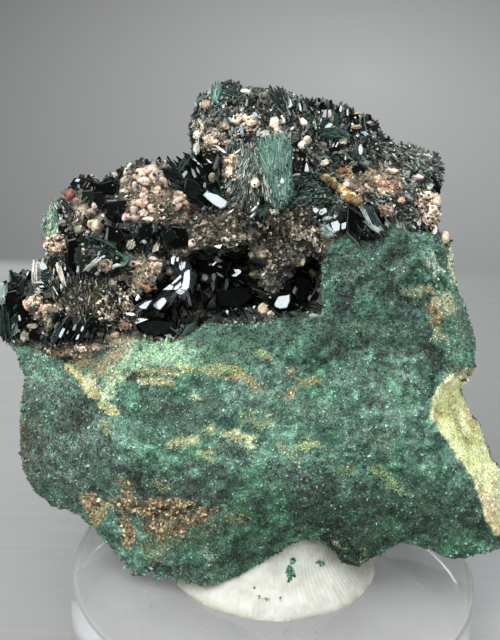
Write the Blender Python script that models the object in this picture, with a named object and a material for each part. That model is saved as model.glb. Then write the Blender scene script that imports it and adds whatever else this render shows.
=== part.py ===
"""Vandenbrandeite specimen standing in a mound of putty on a clear acrylic round.

Metres, +Z up. The origin is the centre of the round's underside. The stone's main
green face looks along -Y and leans back. Lengths below are in millimetres and are
turned into metres when a mesh is made.
"""

import math

import bmesh
import bpy
import numpy as np
from mathutils import Vector, geometry

MM = 0.001

# Stand
ROUND_DIAMETER = 38.1
ROUND_THICKNESS = 9.5
ROUND_EDGE = 0.45
PUTTY_BASE_RADIUS = 10.1
PUTTY_HEIGHT = 8.4
GAP = 0.32

# Stone
LEAN = math.radians(13.0)  # how far the main face leans back
FACE_Y = -8.0  # the main face, FACE_Z above the round
FACE_Z = 5.0
LOWEST = 1.7  # the stone's lowest point, above the round

# Drawing frame: the stone's outline and relief are drawn on a plane seen from the
# front and above. u runs to the right, v down, with FOCAL drawing units of distance.
FOCAL = 2000.0
U0, V0 = 250.0, 320.0
PITCH = math.radians(29.0)
ROLL = math.radians(3.5)
FORWARD = np.array([0.0, math.cos(PITCH), -math.sin(PITCH)])
_level = np.array([1.0, 0.0, 0.0])
_rise = np.array([0.0, math.sin(PITCH), math.cos(PITCH)])
RIGHT = math.cos(ROLL) * _level + math.sin(ROLL) * _rise
UP = -math.sin(ROLL) * _level + math.cos(ROLL) * _rise
EYE = np.array([0.0, 0.0, ROUND_THICKNESS]) - 189.4 * FORWARD - 2.25 * RIGHT + 23.70 * UP

FACE_POINT = np.array([0.0, FACE_Y, ROUND_THICKNESS + FACE_Z])
FACE_NORMAL = np.array([0.0, -math.cos(LEAN), math.sin(LEAN)])

# The stone's outline, clockwise from the left end of the crest.
OUTLINE = [
    (-2, 300), (1, 284), (6, 272), (12, 272), (22, 276), (29, 274), (35, 264), (49, 256), (41, 238),
    (40, 215), (52, 204), (63, 193), (71, 181), (80, 176), (102, 178), (114, 171), (133, 162),
    (145, 158), (159, 160), (170, 168), (182, 160), (194, 155), (190, 141), (194, 128), (190, 120),
    (200, 107), (201, 97), (211, 90), (216, 82), (229, 81), (243, 86), (262, 88), (282, 91),
    (302, 100), (331, 101), (347, 107), (358, 114), (376, 122), (384, 136), (400, 147), (421, 149),
    (434, 152), (442, 162), (440, 178), (440, 198), (437, 215), (437, 230), (448, 235), (452, 250),
    (454, 280), (461, 299), (469, 319), (476, 346), (475, 372), (463, 386), (463, 399), (471, 411),
    (481, 424), (484, 444), (495, 464), (506, 482), (514, 500), (516, 520), (511, 536), (500, 549),
    (476, 555), (455, 559), (440, 554), (425, 549), (409, 543), (400, 541), (386, 550), (368, 562),
    (354, 568), (342, 563), (331, 549), (314, 536), (300, 539), (282, 551), (262, 562), (244, 573),
    (231, 580), (207, 587), (180, 586), (150, 580), (129, 577), (119, 563), (108, 550), (95, 532),
    (81, 517), (67, 510), (52, 510), (38, 496), (29, 483), (22, 466), (20, 445), (21, 410),
    (24, 375), (17, 353), (6, 342), (-2, 330),
]

# How far the front lies behind the main face's plane: (u, v, depth in mm).
RELIEF = [
    # the slab below the lip, bowed a little, and turned under at the bottom
    (24, 372, 5.6), (22, 410, 6.4), (22, 445, 6.8), (30, 480, 7.0), (50, 505, 7.2), (45, 380, 4.0),
    (45, 430, 4.8), (60, 470, 4.8), (75, 505, 6.2), (75, 400, 2.4), (85, 440, 2.6), (98, 480, 3.2),
    (118, 385, 0.6), (120, 430, 0.5), (130, 475, 1.0), (100, 520, 5.2), (135, 515, 2.4),
    (160, 400, 0.1), (170, 450, 0.2), (180, 500, 0.8), (220, 400, 0.0), (230, 450, -0.3),
    (240, 500, 0.2), (290, 400, -0.2), (300, 450, -0.5), (310, 500, 0.2), (350, 400, 0.0),
    (360, 450, -0.2), (370, 500, 0.8), (410, 400, 0.6), (420, 450, 0.6), (430, 500, 1.2),
    (455, 480, 1.4), (475, 520, 2.4), (120, 550, 5.0), (130, 576, 5.0), (160, 545, 3.0),
    (155, 578, 4.6), (200, 545, 2.2), (205, 585, 3.3), (240, 545, 2.2), (232, 578, 3.4),
    (275, 535, 1.8), (265, 560, 3.2), (300, 537, 2.8), (330, 520, 1.2), (330, 546, 3.6),
    (355, 545, 3.0), (356, 566, 4.4), (385, 530, 2.0), (388, 548, 3.8), (420, 530, 2.0),
    (415, 545, 3.8), (450, 535, 2.6), (455, 557, 4.4), (495, 545, 4.6),
    # the lip and the pocket's surroundings
    (15, 350, 5.4), (50, 352, 3.2), (90, 352, 1.6), (135, 352, 0.8), (180, 352, 0.6), (240, 340, 0.6),
    (300, 335, 0.6), (350, 335, 0.6), (400, 345, 0.9), (130, 328, 2.0), (190, 325, 2.4), (250, 312, 2.8),
    (300, 308, 2.4), (4, 300, 4.6), (6, 330, 4.6), (30, 320, 3.6), (55, 335, 2.2), (85, 330, 1.4),
    (30, 285, 4.2), (55, 290, 2.8), (85, 295, 1.4), (110, 310, 1.8), (60, 262, 4.0), (46, 235, 6.0),
    (46, 212, 7.0), (95, 255, 2.6), (130, 250, 3.0), (170, 240, 3.2), (215, 232, 2.6), (255, 228, 2.8),
    (295, 225, 3.0), (330, 218, 3.0), (70, 215, 5.0), (66, 195, 7.2), (95, 205, 4.6), (82, 180, 7.6),
    (120, 200, 4.4), (115, 178, 7.4), (150, 205, 3.6), (150, 180, 4.6), (148, 162, 7.0), (180, 205, 3.4),
    (175, 175, 5.4), (184, 163, 7.0),
    # the upper mass
    (210, 205, 3.2), (212, 180, 4.2), (205, 160, 6.0), (240, 190, 3.2), (240, 160, 4.4), (275, 190, 2.4),
    (275, 155, 3.6), (305, 190, 3.2), (305, 160, 4.6), (340, 195, 3.4), (340, 165, 5.0), (370, 195, 3.8),
    (370, 165, 5.8), (405, 200, 4.4), (405, 170, 6.6), (432, 200, 6.4), (432, 165, 8.6), (200, 130, 7.4),
    (195, 145, 7.4), (215, 140, 5.8), (240, 130, 5.6), (270, 130, 5.2), (300, 130, 5.8), (330, 135, 6.2),
    (355, 135, 7.4), (378, 135, 9.2), (205, 103, 9.4), (222, 95, 8.8), (224, 83, 10.6), (250, 105, 7.4),
    (255, 90, 9.6), (285, 110, 6.8), (285, 94, 9.0), (315, 115, 7.4), (325, 103, 9.4), (350, 115, 9.4),
    (400, 152, 9.4), (425, 152, 10.0),
    # the right side, from the lip up
    (340, 305, 1.4), (340, 270, 2.2), (345, 240, 2.8), (380, 305, 1.4), (385, 270, 2.2), (385, 235, 3.2),
    (415, 315, 1.6), (420, 280, 2.6), (420, 245, 3.8), (436, 225, 6.0), (445, 245, 6.6), (448, 280, 6.2),
    (440, 330, 3.0), (432, 365, 1.4), (455, 320, 6.4), (462, 350, 7.2), (473, 345, 9.6), (470, 372, 9.4),
]

# The pale side face on the right: its front edge and its back edge.
SIDE_FRONT = [(452, 374), (440, 384), (432, 398), (430, 415), (441, 434), (458, 457), (474, 480), (480, 500), (486, 520), (496, 536)]
SIDE_BACK = [(466, 384), (464, 399), (472, 411), (482, 424), (486, 444), (497, 464), (508, 482), (516, 500), (518, 520), (513, 538)]
SIDE_DEPTH = 8.5

# The dark pocket between the slab and the upper mass.
POCKET = [
    (132, 330), (137, 312), (128, 298), (150, 288), (166, 262), (190, 250), (220, 244), (250, 243), (264, 262),
    (262, 284), (274, 296), (292, 268), (304, 256), (322, 264), (322, 308), (300, 316), (262, 318), (236, 318),
    (208, 320), (190, 334), (165, 340), (145, 338),
]
POCKET_DEPTH = 5.0

# Planes that bound the stone behind and below: (point with z above the round, outward normal).
BOUNDS = [
    ((0, 14.0, 22), (0.03, 1.0, -0.06)),
    ((-19, 8.5, 25), (-0.60, 0.80, 0.05)),
    ((19, 9.5, 25), (0.52, 0.85, -0.05)),
    ((0, 14.0, 42.5), (0.0, 0.70, 0.71)),
    ((-6, -5.0, LOWEST), (0.0, 0.16, -0.98)),
    ((-16, 0.0, 4.0), (-0.42, 0.10, -0.88)),
    ((14, -2.0, 2.8), (0.22, 0.10, -0.96)),
]


def hashed(i, j, k, seed):
    h = (i * 374761393 + j * 668265263 + k * 1103515245 + seed * 1274126177) & 0xFFFFFFFF
    h = ((h ^ (h >> 13)) * 1274126177) & 0xFFFFFFFF
    return ((h ^ (h >> 16)) & 0xFFFF) / 32767.5 - 1.0


def bumps(points, wavelength, seed):
    """Smooth noise between -1 and 1, one bump per wavelength."""
    p = np.asarray(points, float) / wavelength
    cell = np.floor(p).astype(np.int64)
    f = p - cell
    f = f * f * f * (f * (f * 6 - 15) + 10)
    total = np.zeros(len(p))
    for a in (0, 1):
        for b in (0, 1):
            for c in (0, 1):
                weight = (
                    (f[:, 0] if a else 1 - f[:, 0])
                    * (f[:, 1] if b else 1 - f[:, 1])
                    * (f[:, 2] if c else 1 - f[:, 2])
                )
                total += weight * hashed(cell[:, 0] + a, cell[:, 1] + b, cell[:, 2] + c, seed)
    return total


def thin_plate(samples, stiffness):
    """The smoothest surface through samples (u, v, value)."""
    s = np.array(samples, float)
    uv, value, n = s[:, :2] / 100.0, s[:, 2], len(s)

    def kernel(a, b):
        r2 = ((a[:, None, :] - b[None, :, :]) ** 2).sum(-1)
        return 0.5 * r2 * np.log(r2 + 1e-12)

    flat = np.c_[np.ones(n), uv]
    left = np.block([[kernel(uv, uv) + stiffness * np.eye(n), flat], [flat.T, np.zeros((3, 3))]])
    weight = np.linalg.solve(left, np.r_[value, 0, 0, 0])

    def at(q):
        q = np.asarray(q, float) / 100.0
        return kernel(q, uv) @ weight[:n] + np.c_[np.ones(len(q)), q] @ weight[n:]

    return at


def distance_to(q, line, closed=False):
    """Distance from each point to a polyline."""
    p = np.array(line, float)
    ends = np.roll(p, -1, axis=0) if closed else p[1:]
    starts = p if closed else p[:-1]
    best = np.full(len(q), 1e9)
    for a, b in zip(starts, ends):
        ab = b - a
        t = np.clip(((q - a) @ ab) / (ab @ ab), 0, 1)
        best = np.minimum(best, np.hypot(*(q - a - t[:, None] * ab).T))
    return best


def inside(q, loop):
    p = np.array(loop, float)
    result = np.zeros(len(q), bool)
    for a, b in zip(p, np.roll(p, -1, axis=0)):
        crosses = (a[1] > q[:, 1]) != (b[1] > q[:, 1])
        x = a[0] + (q[:, 1] - a[1]) * (b[0] - a[0]) / (b[1] - a[1] + 1e-12)
        result ^= crosses & (q[:, 0] < x)
    return result


def rays(q):
    q = np.asarray(q, float)
    return FORWARD + np.outer((q[:, 0] - U0) / FOCAL, RIGHT) + np.outer((V0 - q[:, 1]) / FOCAL, UP)


def face_distance(q):
    """How far along its ray each drawing point meets the main face's plane."""
    d = rays(q)
    return ((FACE_POINT - EYE) @ FACE_NORMAL) / (d @ FACE_NORMAL)


def place(q, depth):
    """Drawing points at depths behind the main face's plane, in the stone's frame."""
    q = np.asarray(q, float).reshape(-1, 2)
    return EYE + rays(q) * (face_distance(q) + depth)[:, None]


RELIEF_AT = thin_plate(RELIEF, 0.002)


def front_depth(q):
    q = np.asarray(q, float).reshape(-1, 2)
    depth = RELIEF_AT(q)
    # the pocket
    edge = distance_to(q, POCKET, closed=True) * np.where(inside(q, POCKET), 1, -1)
    depth = depth + POCKET_DEPTH * np.clip((edge + 3) / 18.0, 0, 1) ** 0.8
    # the pale side face
    side = SIDE_FRONT + SIDE_BACK[::-1]
    to_front, to_back = distance_to(q, SIDE_FRONT), distance_to(q, SIDE_BACK)
    across = to_front / (to_front + to_back + 1e-9)
    slope = 1.4 + SIDE_DEPTH * across
    return np.where(inside(q, side), slope, depth)


def back_depth(q, front):
    q = np.asarray(q, float).reshape(-1, 2)
    d, start = rays(q), face_distance(q)
    exits = []
    for point, normal in BOUNDS:
        n = np.array(normal, float)
        n /= np.linalg.norm(n)
        p = np.array(point, float) + (0, 0, ROUND_THICKNESS)
        along = d @ n
        exits.append(np.where(along > 0.02, ((p - EYE) @ n) / np.maximum(along, 0.02) - start, 60.0))
    stack = np.array(exits)
    soft = -1.2 * np.log(np.exp(-stack / 1.2).sum(0) + 1e-300)
    deep = soft + 0.9 * bumps(place(q, soft), 6.0, 11) + 0.4 * bumps(place(q, soft), 2.4, 12)
    edge = np.clip(distance_to(q, OUTLINE, closed=True) / 30.0, 0, 1)
    rounded = np.sqrt(np.clip(1 - (1 - edge) ** 2, 0, 1))
    return front + np.maximum(deep - front, 0.4) * rounded


def rough_front(q):
    """Front depth with the bumps of the massive rock, stronger in the upper mass."""
    base = front_depth(q)
    p = place(q, base)
    upper = np.clip((340 - np.asarray(q, float).reshape(-1, 2)[:, 1]) / 40.0, 0, 1)
    return base + (0.22 + 0.35 * upper) * bumps(p, 3.2, 1) + (0.10 + 0.16 * upper) * bumps(p, 1.5, 2)


# Mesh helpers


def new_object(name, verts, faces, colour, rough=0.5, smooth=False, metallic=0.0, alpha=1.0):
    mesh = bpy.data.meshes.new(name)
    mesh.from_pydata([tuple(float(c) * MM for c in v) for v in verts], [], [list(map(int, f)) for f in faces])
    mesh.validate()
    obj = bpy.data.objects.new(name, mesh)
    bpy.context.scene.collection.objects.link(obj)
    material = bpy.data.materials.new(name)
    material.use_nodes = True
    shader = material.node_tree.nodes["Principled BSDF"]
    shader.inputs["Base Color"].default_value = (*colour, 1.0)
    shader.inputs["Roughness"].default_value = rough
    shader.inputs["Metallic"].default_value = metallic
    if alpha < 1.0:
        shader.inputs["Transmission Weight"].default_value = 1.0
        shader.inputs["IOR"].default_value = 1.49
    mesh.materials.append(material)
    if smooth:
        mesh.shade_smooth()
        mesh.set_sharp_from_angle(angle=math.radians(40))
    return obj


def evaluated(obj):
    graph = bpy.context.evaluated_depsgraph_get()
    return bpy.data.meshes.new_from_object(obj.evaluated_get(graph))


def settle(obj):
    """Makes the modifiers' result the object's own mesh."""
    mesh = evaluated(obj)
    obj.modifiers.clear()
    obj.data = mesh


def keep_largest(obj):
    """Drops the crumbs that a cut leaves, and keeps the largest body."""
    bm = bmesh.new()
    bm.from_mesh(obj.data)
    bmesh.ops.remove_doubles(bm, verts=bm.verts, dist=0.0005 * MM)
    bmesh.ops.triangulate(bm, faces=bm.faces)
    left = set(bm.verts)
    groups = []
    while left:
        stack = [left.pop()]
        group = set(stack)
        while stack:
            for edge in stack.pop().link_edges:
                for vert in edge.verts:
                    if vert in left:
                        left.remove(vert)
                        group.add(vert)
                        stack.append(vert)
        groups.append(group)

    def size(group):
        total = 0.0
        for face in {f for v in group for f in v.link_faces}:
            a, b, c = (v.co for v in face.verts)
            total += a.dot(b.cross(c)) / 6
        return abs(total)

    groups.sort(key=size, reverse=True)
    for group in groups[1:]:
        bmesh.ops.delete(bm, geom=list(group), context="VERTS")
    bmesh.ops.recalc_face_normals(bm, faces=bm.faces)
    bm.to_mesh(obj.data)
    bm.free()


def grown(obj, by):
    """A hidden copy of a solid with its faces moved outward, used to cut its neighbours."""
    cutter = obj.copy()
    cutter.data = obj.data.copy()
    cutter.name = obj.name + "_clearance"
    bpy.context.scene.collection.objects.link(cutter)
    bm = bmesh.new()
    bm.from_mesh(cutter.data)
    bm.normal_update()
    moves = {v: v.normal * by * MM * min(1.6, v.calc_shell_factor()) for v in bm.verts}
    for vert, move in moves.items():
        vert.co += move
    bm.to_mesh(cutter.data)
    bm.free()
    cutter.hide_render = True
    cutter.display_type = "WIRE"
    return cutter


def combine(obj, others, operation):
    for other in others:
        step = obj.modifiers.new(operation.lower(), "BOOLEAN")
        step.operation = operation
        step.object = other
        step.solver = "EXACT"
        step.use_self = True
    settle(obj)


def thinned(obj, triangles):
    count = sum(len(p.vertices) - 2 for p in obj.data.polygons)
    step = obj.modifiers.new("fewer", "DECIMATE")
    step.ratio = min(1.0, triangles / max(count, 1))
    step.use_collapse_triangulate = True
    settle(obj)


def blade(u, v, proud, turn, tilt, spin, length, width, thick):
    """One tabular crystal: a flat six-sided plate with a pointed end.

    turn is its direction in the drawing plane in degrees from u towards -v, tilt lifts
    its point towards the viewer, and spin turns it about its own length.
    """
    q = np.array([[u, v]], float)
    centre = place(q, front_depth(q) - proud)[0]
    a, t, s = (math.radians(x) for x in (turn, tilt, spin))
    along = math.cos(a) * RIGHT + math.sin(a) * UP
    across = -math.sin(a) * RIGHT + math.cos(a) * UP
    toward = -FORWARD
    axis = math.cos(t) * along + math.sin(t) * toward
    normal = -math.sin(t) * along + math.cos(t) * toward
    wide = math.cos(s) * across + math.sin(s) * normal
    flat = -math.sin(s) * across + math.cos(s) * normal
    shape = [(-0.5, -0.5), (-0.5, 0.5), (0.30, 0.5), (0.47, 0.18), (0.5, -0.12), (0.38, -0.5)]
    points = []
    for side in (-0.5, 0.5):
        for x, y in shape:
            points.append(centre + axis * x * length + wide * y * width + flat * side * thick)
    n = len(shape)
    faces = [list(range(n))[::-1], list(range(n, 2 * n))]
    faces += [[i, (i + 1) % n, n + (i + 1) % n, n + i] for i in range(n)]
    return points, faces


def cluster(name, blades, colour, rough, cutters):
    """Overlapping blades joined into one solid and cut clear of their neighbours."""
    pieces = []
    for i, spec in enumerate(blades):
        points, faces = blade(*spec)
        pieces.append(new_object(f"{name}_{i}", points, faces, colour, rough))
    for piece in pieces:
        bm = bmesh.new()
        bm.from_mesh(piece.data)
        bmesh.ops.recalc_face_normals(bm, faces=bm.faces)
        bm.to_mesh(piece.data)
        bm.free()
    whole = pieces[0]
    combine(whole, pieces[1:], "UNION")
    for piece in pieces[1:]:
        bpy.data.objects.remove(piece)
    whole.name = name
    combine(whole, cutters, "DIFFERENCE")
    keep_largest(whole)
    return whole


def sheet(loop, spacing, front, back):
    """Vertices and faces of a closed body between two depths over a drawing outline."""
    ring = []
    for a, b in zip(loop, loop[1:] + loop[:1]):
        steps = max(1, round(math.dist(a, b) / spacing))
        ring += [(a[0] + (b[0] - a[0]) * i / steps, a[1] + (b[1] - a[1]) * i / steps) for i in range(steps)]
    ring = np.array(ring, float)
    low, high = ring.min(0), ring.max(0)
    rows = np.arange(low[1], high[1], spacing * 0.87)
    grid = np.array([(x + (spacing / 2 if j % 2 else 0), y) for j, y in enumerate(rows) for x in np.arange(low[0], high[0], spacing)])
    grid = grid[inside(grid, ring) & (distance_to(grid, ring, closed=True) > spacing * 0.45)]
    flat = np.vstack([ring, grid])
    n = len(ring)
    out = geometry.delaunay_2d_cdt([Vector(p) for p in flat], [(i, (i + 1) % n) for i in range(n)], [], 1, 1e-6)
    q = np.array([tuple(v) for v in out[0]])
    triangles = [list(f) for f in out[2]]
    rim = distance_to(q, ring, closed=True) < 1e-3
    top = front(q)
    under = back(q, top)
    m = len(q)
    verts = list(place(q, top)) + list(place(q, under))
    lower = np.where(rim, np.arange(m), np.arange(m) + m)
    faces = []
    for tri in triangles:
        if rim[tri].all():
            middle = len(verts)
            c = q[tri].mean(0)[None]
            d = front(c)
            verts.append(place(c, d - 0.05)[0])
            verts.append(place(c, d + 0.25)[0])
            for i in range(3):
                a, b = tri[i], tri[(i + 1) % 3]
                faces.append([a, b, middle])
                faces.append([b, a, middle + 1])
            continue
        faces.append(tri)
        faces.append([int(lower[i]) for i in tri][::-1])
    return verts, faces


def tidy(obj):
    bm = bmesh.new()
    bm.from_mesh(obj.data)
    loose = [v for v in bm.verts if not v.link_faces]
    bmesh.ops.delete(bm, geom=loose, context="VERTS")
    bmesh.ops.recalc_face_normals(bm, faces=bm.faces)
    if bm.calc_volume(signed=True) < 0:
        bmesh.ops.reverse_faces(bm, faces=bm.faces)
    bm.to_mesh(obj.data)
    bm.free()


def make_matrix():
    verts, faces = sheet(OUTLINE, 7.0, rough_front, back_depth)
    obj = new_object("green_matrix", verts, faces, (0.055, 0.115, 0.08), 0.55)
    tidy(obj)
    remesh = obj.modifiers.new("even", "REMESH")
    remesh.mode = "VOXEL"
    remesh.voxel_size = 0.62 * MM
    settle(obj)
    thinned(obj, 3300)
    keep_largest(obj)
    return obj


def make_round():
    r, t, e = ROUND_DIAMETER / 2, ROUND_THICKNESS, ROUND_EDGE
    profile = [(0.0, t), (r - e, t)]
    for k in range(1, 4):
        angle = math.radians(30 * k)
        profile.append((r - e + e * math.sin(angle), t - e + e * math.cos(angle)))
    for k in range(0, 3):
        angle = math.radians(30 * k)
        profile.append((r - e + e * math.cos(angle), e - e * math.sin(angle)))
    profile += [(r - e, 0.0), (0.0, 0.0)]
    sides = 72
    bm = bmesh.new()
    rings = []
    for x, z in profile:
        if x == 0:
            rings.append([bm.verts.new((0, 0, z * MM))])
        else:
            rings.append([bm.verts.new((x * MM * math.cos(2 * math.pi * i / sides), x * MM * math.sin(2 * math.pi * i / sides), z * MM)) for i in range(sides)])
    for upper, lower in zip(rings, rings[1:]):
        for i in range(sides):
            j = (i + 1) % sides
            if len(upper) == 1:
                bm.faces.new((upper[0], lower[i], lower[j]))
            elif len(lower) == 1:
                bm.faces.new((upper[j], upper[i], lower[0]))
            else:
                bm.faces.new((upper[i], lower[i], lower[j], upper[j]))
    obj = new_object("acrylic_round", [(0, 0, 0)], [], (0.92, 0.95, 0.95), 0.03, alpha=0.2)
    bmesh.ops.recalc_face_normals(bm, faces=bm.faces)
    bm.to_mesh(obj.data)
    bm.free()
    obj.data.shade_smooth()
    obj.data.set_sharp_from_angle(angle=math.radians(50))
    return obj


def make_putty(cutter):
    """A kneaded mound that slopes in from its foot to the stone's underside."""
    profile = [(0.0, 0.0), (10.1, 0.0), (9.9, 0.6), (9.1, 1.5), (8.2, 2.7), (7.5, 4.2), (7.0, 6.0), (6.3, 7.4), (4.6, PUTTY_HEIGHT), (0.0, PUTTY_HEIGHT)]
    base = ROUND_THICKNESS + GAP
    sides = 40
    verts, faces, rings = [], [], []
    for x, z in profile:
        ring = []
        for i in range(1 if x == 0 else sides):
            a = 2 * math.pi * i / sides
            swell = 1 + 0.020 * math.sin(3 * a + 0.8) + 0.010 * math.sin(7 * a + z)
            reach = x * (PUTTY_BASE_RADIUS / 10.1) * (swell if z > 0.5 else 1 + 0.3 * (swell - 1))
            ring.append(len(verts))
            verts.append((-0.4 + reach * math.cos(a), 2.3 + reach * math.sin(a), base + z))
        rings.append(ring)
    for lower, upper in zip(rings, rings[1:]):
        for i in range(sides):
            j = (i + 1) % sides
            if len(lower) == 1:
                faces.append([lower[0], upper[j], upper[i]])
            elif len(upper) == 1:
                faces.append([lower[i], lower[j], upper[0]])
            else:
                faces.append([lower[i], lower[j], upper[j], upper[i]])
    obj = new_object("putty_mound", verts, faces, (0.82, 0.80, 0.74), 0.8)
    tidy(obj)
    combine(obj, [cutter], "DIFFERENCE")
    keep_largest(obj)
    return obj


def make_crust(name, loop, height, colour, rough, cutters, seed, lump=1.1, spacing=6.0):
    """A granular crust that stands proud of the rock inside a drawing outline."""

    def front(q):
        base = front_depth(q)
        edge = np.clip(distance_to(q, loop, closed=True) / 14.0, 0, 1)
        p = place(q, base)
        return base - height * edge ** 0.6 - 0.28 * bumps(p, lump, seed) * edge

    def back(q, top):
        return np.maximum(front_depth(q) + 1.4, top + 0.3)

    verts, faces = sheet(loop, spacing, front, back)
    obj = new_object(name, verts, faces, colour, rough)
    tidy(obj)
    combine(obj, cutters, "DIFFERENCE")
    keep_largest(obj)
    return obj


def make_rod(cutters):
    """A short rough rod, ten-sided."""
    a = place(np.array([[316, 172]]), front_depth(np.array([[316, 172]])) - 1.1)[0]
    b = place(np.array([[359, 204]]), front_depth(np.array([[359, 204]])) - 1.0)[0]
    axis = (b - a) / np.linalg.norm(b - a)
    side = np.cross(axis, FORWARD)
    side /= np.linalg.norm(side)
    other = np.cross(axis, side)
    verts, faces, rings = [], [], []
    for k in range(7):
        c = a + (b - a) * k / 6
        r = 0.46 + 0.05 * math.sin(2.3 * k) + (-0.12 if k in (0, 6) else 0)
        rings.append(list(range(len(verts), len(verts) + 10)))
        for i in range(10):
            w = 2 * math.pi * i / 10
            verts.append(c + r * (math.cos(w) * side + math.sin(w) * other))
    for lower, upper in zip(rings, rings[1:]):
        faces += [[lower[i], lower[(i + 1) % 10], upper[(i + 1) % 10], upper[i]] for i in range(10)]
    faces += [rings[0][::-1], rings[-1]]
    obj = new_object("ochre_rod", verts, faces, (0.42, 0.27, 0.10), 0.7)
    tidy(obj)
    combine(obj, cutters, "DIFFERENCE")
    keep_largest(obj)
    return obj


def main():
    for obj in list(bpy.data.objects):
        bpy.data.objects.remove(obj)
    for mesh in list(bpy.data.meshes):
        bpy.data.meshes.remove(mesh)

    make_round()
    rock = make_matrix()
    clear = grown(rock, GAP)
    make_putty(grown(rock, GAP + 0.05))

    black, green = (0.02, 0.03, 0.028), (0.05, 0.16, 0.11)
    made = []

    def joined(name, blades, colour, rough):
        near = [clear] + [grown(m, GAP) for m in made]
        obj = cluster(name, blades, colour, rough, near)
        made.append(obj)
        return obj

    # u, v, proud, turn, tilt, spin, length, width, thick
    joined("left_edge_blades", [
        (7, 299, 0.7, 92, 5, 35, 6.0, 1.6, 0.7), (14, 304, 1.1, 88, 10, -20, 5.6, 1.5, 0.6),
        (22, 306, 1.0, 97, 5, 25, 5.4, 1.4, 0.6), (29, 300, 0.8, 84, 12, -30, 5.0, 1.4, 0.6), (18, 322, 1.0, 100, 0, 10, 3.6, 2.2, 0.8),
    ], black, 0.15)
    joined("wheat_sheaf", [
        (88, 298, 0.7, 70, 20, 10, 5.4, 1.2, 0.8), (80, 300, 0.7, 105, 22, -15, 5.2, 1.2, 0.8), (95, 304, 0.7, 45, 15, 20, 5.0, 1.2, 0.8),
        (74, 306, 0.6, 135, 15, -10, 4.6, 1.2, 0.8), (86, 302, 0.8, 15, 10, 5, 4.4, 1.3, 0.8),
    ], (0.16, 0.13, 0.08), 0.5)
    joined("tabular_crystals", [
        (92, 192, 0.9, 60, 12, 30, 4.0, 2.6, 0.9), (105, 198, 1.1, 110, 15, -25, 4.4, 2.4, 0.9), (82, 204, 0.8, 20, 10, 15, 3.4, 2.2, 0.8),
        (113, 190, 0.8, 75, 5, 40, 3.6, 2.0, 0.8), (98, 208, 1.2, 0, 20, -10, 4.0, 2.0, 0.8),
    ], black, 0.12)
    joined("blade_fan", [
        (192, 176, 0.9, -52, 15, 60, 4.6, 1.8, 0.5), (197, 171, 0.9, -56, 15, 62, 4.6, 1.8, 0.5), (203, 168, 0.9, -62, 15, 64, 4.4, 1.8, 0.5),
        (186, 180, 0.9, -46, 12, 58, 4.2, 1.8, 0.5), (208, 166, 0.8, -70, 12, 66, 4.0, 1.6, 0.5), (197, 175, 0.4, 30, 5, 0, 3.2, 1.6, 0.9),
    ], black, 0.15)
    joined("crest_comb", [
        (300, 110, 0.7, 88, 0, 50, 3.4, 1.1, 0.5), (307, 112, 0.8, 92, 0, 40, 3.2, 1.1, 0.5), (315, 112, 0.8, 86, 0, 55, 3.0, 1.1, 0.5),
        (323, 114, 0.8, 90, 0, 45, 3.0, 1.1, 0.5), (331, 115, 0.7, 80, 0, 35, 2.8, 1.1, 0.5), (338, 118, 0.7, 76, 0, 40, 2.6, 1.1, 0.5),
        (318, 117, 0.9, 178, 0, 0, 4.4, 1.2, 0.6),
    ], black, 0.2)
    joined("green_columns", [
        (267, 172, 0.8, 92, 8, 20, 6.0, 1.4, 0.9), (276, 172, 1.0, 88, 8, -10, 6.2, 1.4, 0.9), (284, 170, 0.9, 84, 6, -30, 5.6, 1.3, 0.9),
        (261, 168, 0.7, 97, 6, 30, 4.8, 1.2, 0.8),
    ], green, 0.35)
    joined("pocket_blades", [
        (183, 268, 1.5, 80, 22, 20, 5.6, 2.2, 0.9), (175, 282, 1.7, 60, 22, 10, 5.6, 2.4, 0.9), (163, 296, 1.8, 40, 18, 0, 5.4, 2.4, 0.9),
        (148, 305, 1.3, 26, 12, -10, 5.0, 2.2, 0.9), (150, 321, 1.1, 8, 8, -15, 5.4, 2.2, 0.9), (166, 309, 1.3, 120, 8, 5, 5.2, 2.8, 1.1),
    ], black, 0.1)
    joined("stacked_plates", [
        (325, 212, 0.8, -18, 12, 5, 3.6, 1.6, 0.6), (334, 220, 1.0, 14, 15, -5, 3.8, 1.7, 0.6), (322, 224, 0.7, 20, 8, 0, 3.4, 1.5, 0.6),
    ], (0.30, 0.36, 0.38), 0.2)
    made.append(make_crust("cream_crust", [
        (120, 198), (122, 180), (133, 166), (150, 162), (166, 172), (176, 186), (190, 200), (192, 216), (174, 225), (150, 224), (130, 224), (121, 212)],
        1.5, (0.62, 0.52, 0.40), 0.7, [clear] + [grown(m, GAP) for m in made], 21))
    made.append(make_crust("cream_knobs", [
        (194, 128), (202, 116), (220, 112), (240, 110), (262, 114), (278, 120), (274, 136), (252, 136), (234, 142), (222, 152), (203, 152), (194, 142)],
        1.4, (0.66, 0.58, 0.44), 0.7, [clear] + [grown(m, GAP) for m in made], 22))
    made.append(make_crust("rosy_crust", [
        (407, 208), (412, 194), (426, 184), (439, 188), (440, 202), (437, 216), (434, 230), (424, 234), (412, 228)],
        1.9, (0.66, 0.50, 0.42), 0.7, [clear] + [grown(m, GAP) for m in made], 23, spacing=5.0))
    make_rod([clear] + [grown(m, GAP) for m in made])

    # helpers are left out of the object
    for obj in list(bpy.data.objects):
        if "_clearance" in obj.name:
            bpy.data.objects.remove(obj)


main()
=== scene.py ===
"""Looks of the vandenbrandeite specimen: rock, micro-crystals, blades, crusts, putty, round, light and camera."""

import math

import bmesh
import bpy
import numpy as np
from mathutils import Matrix, Vector, geometry
from mathutils.bvhtree import BVHTree


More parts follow.
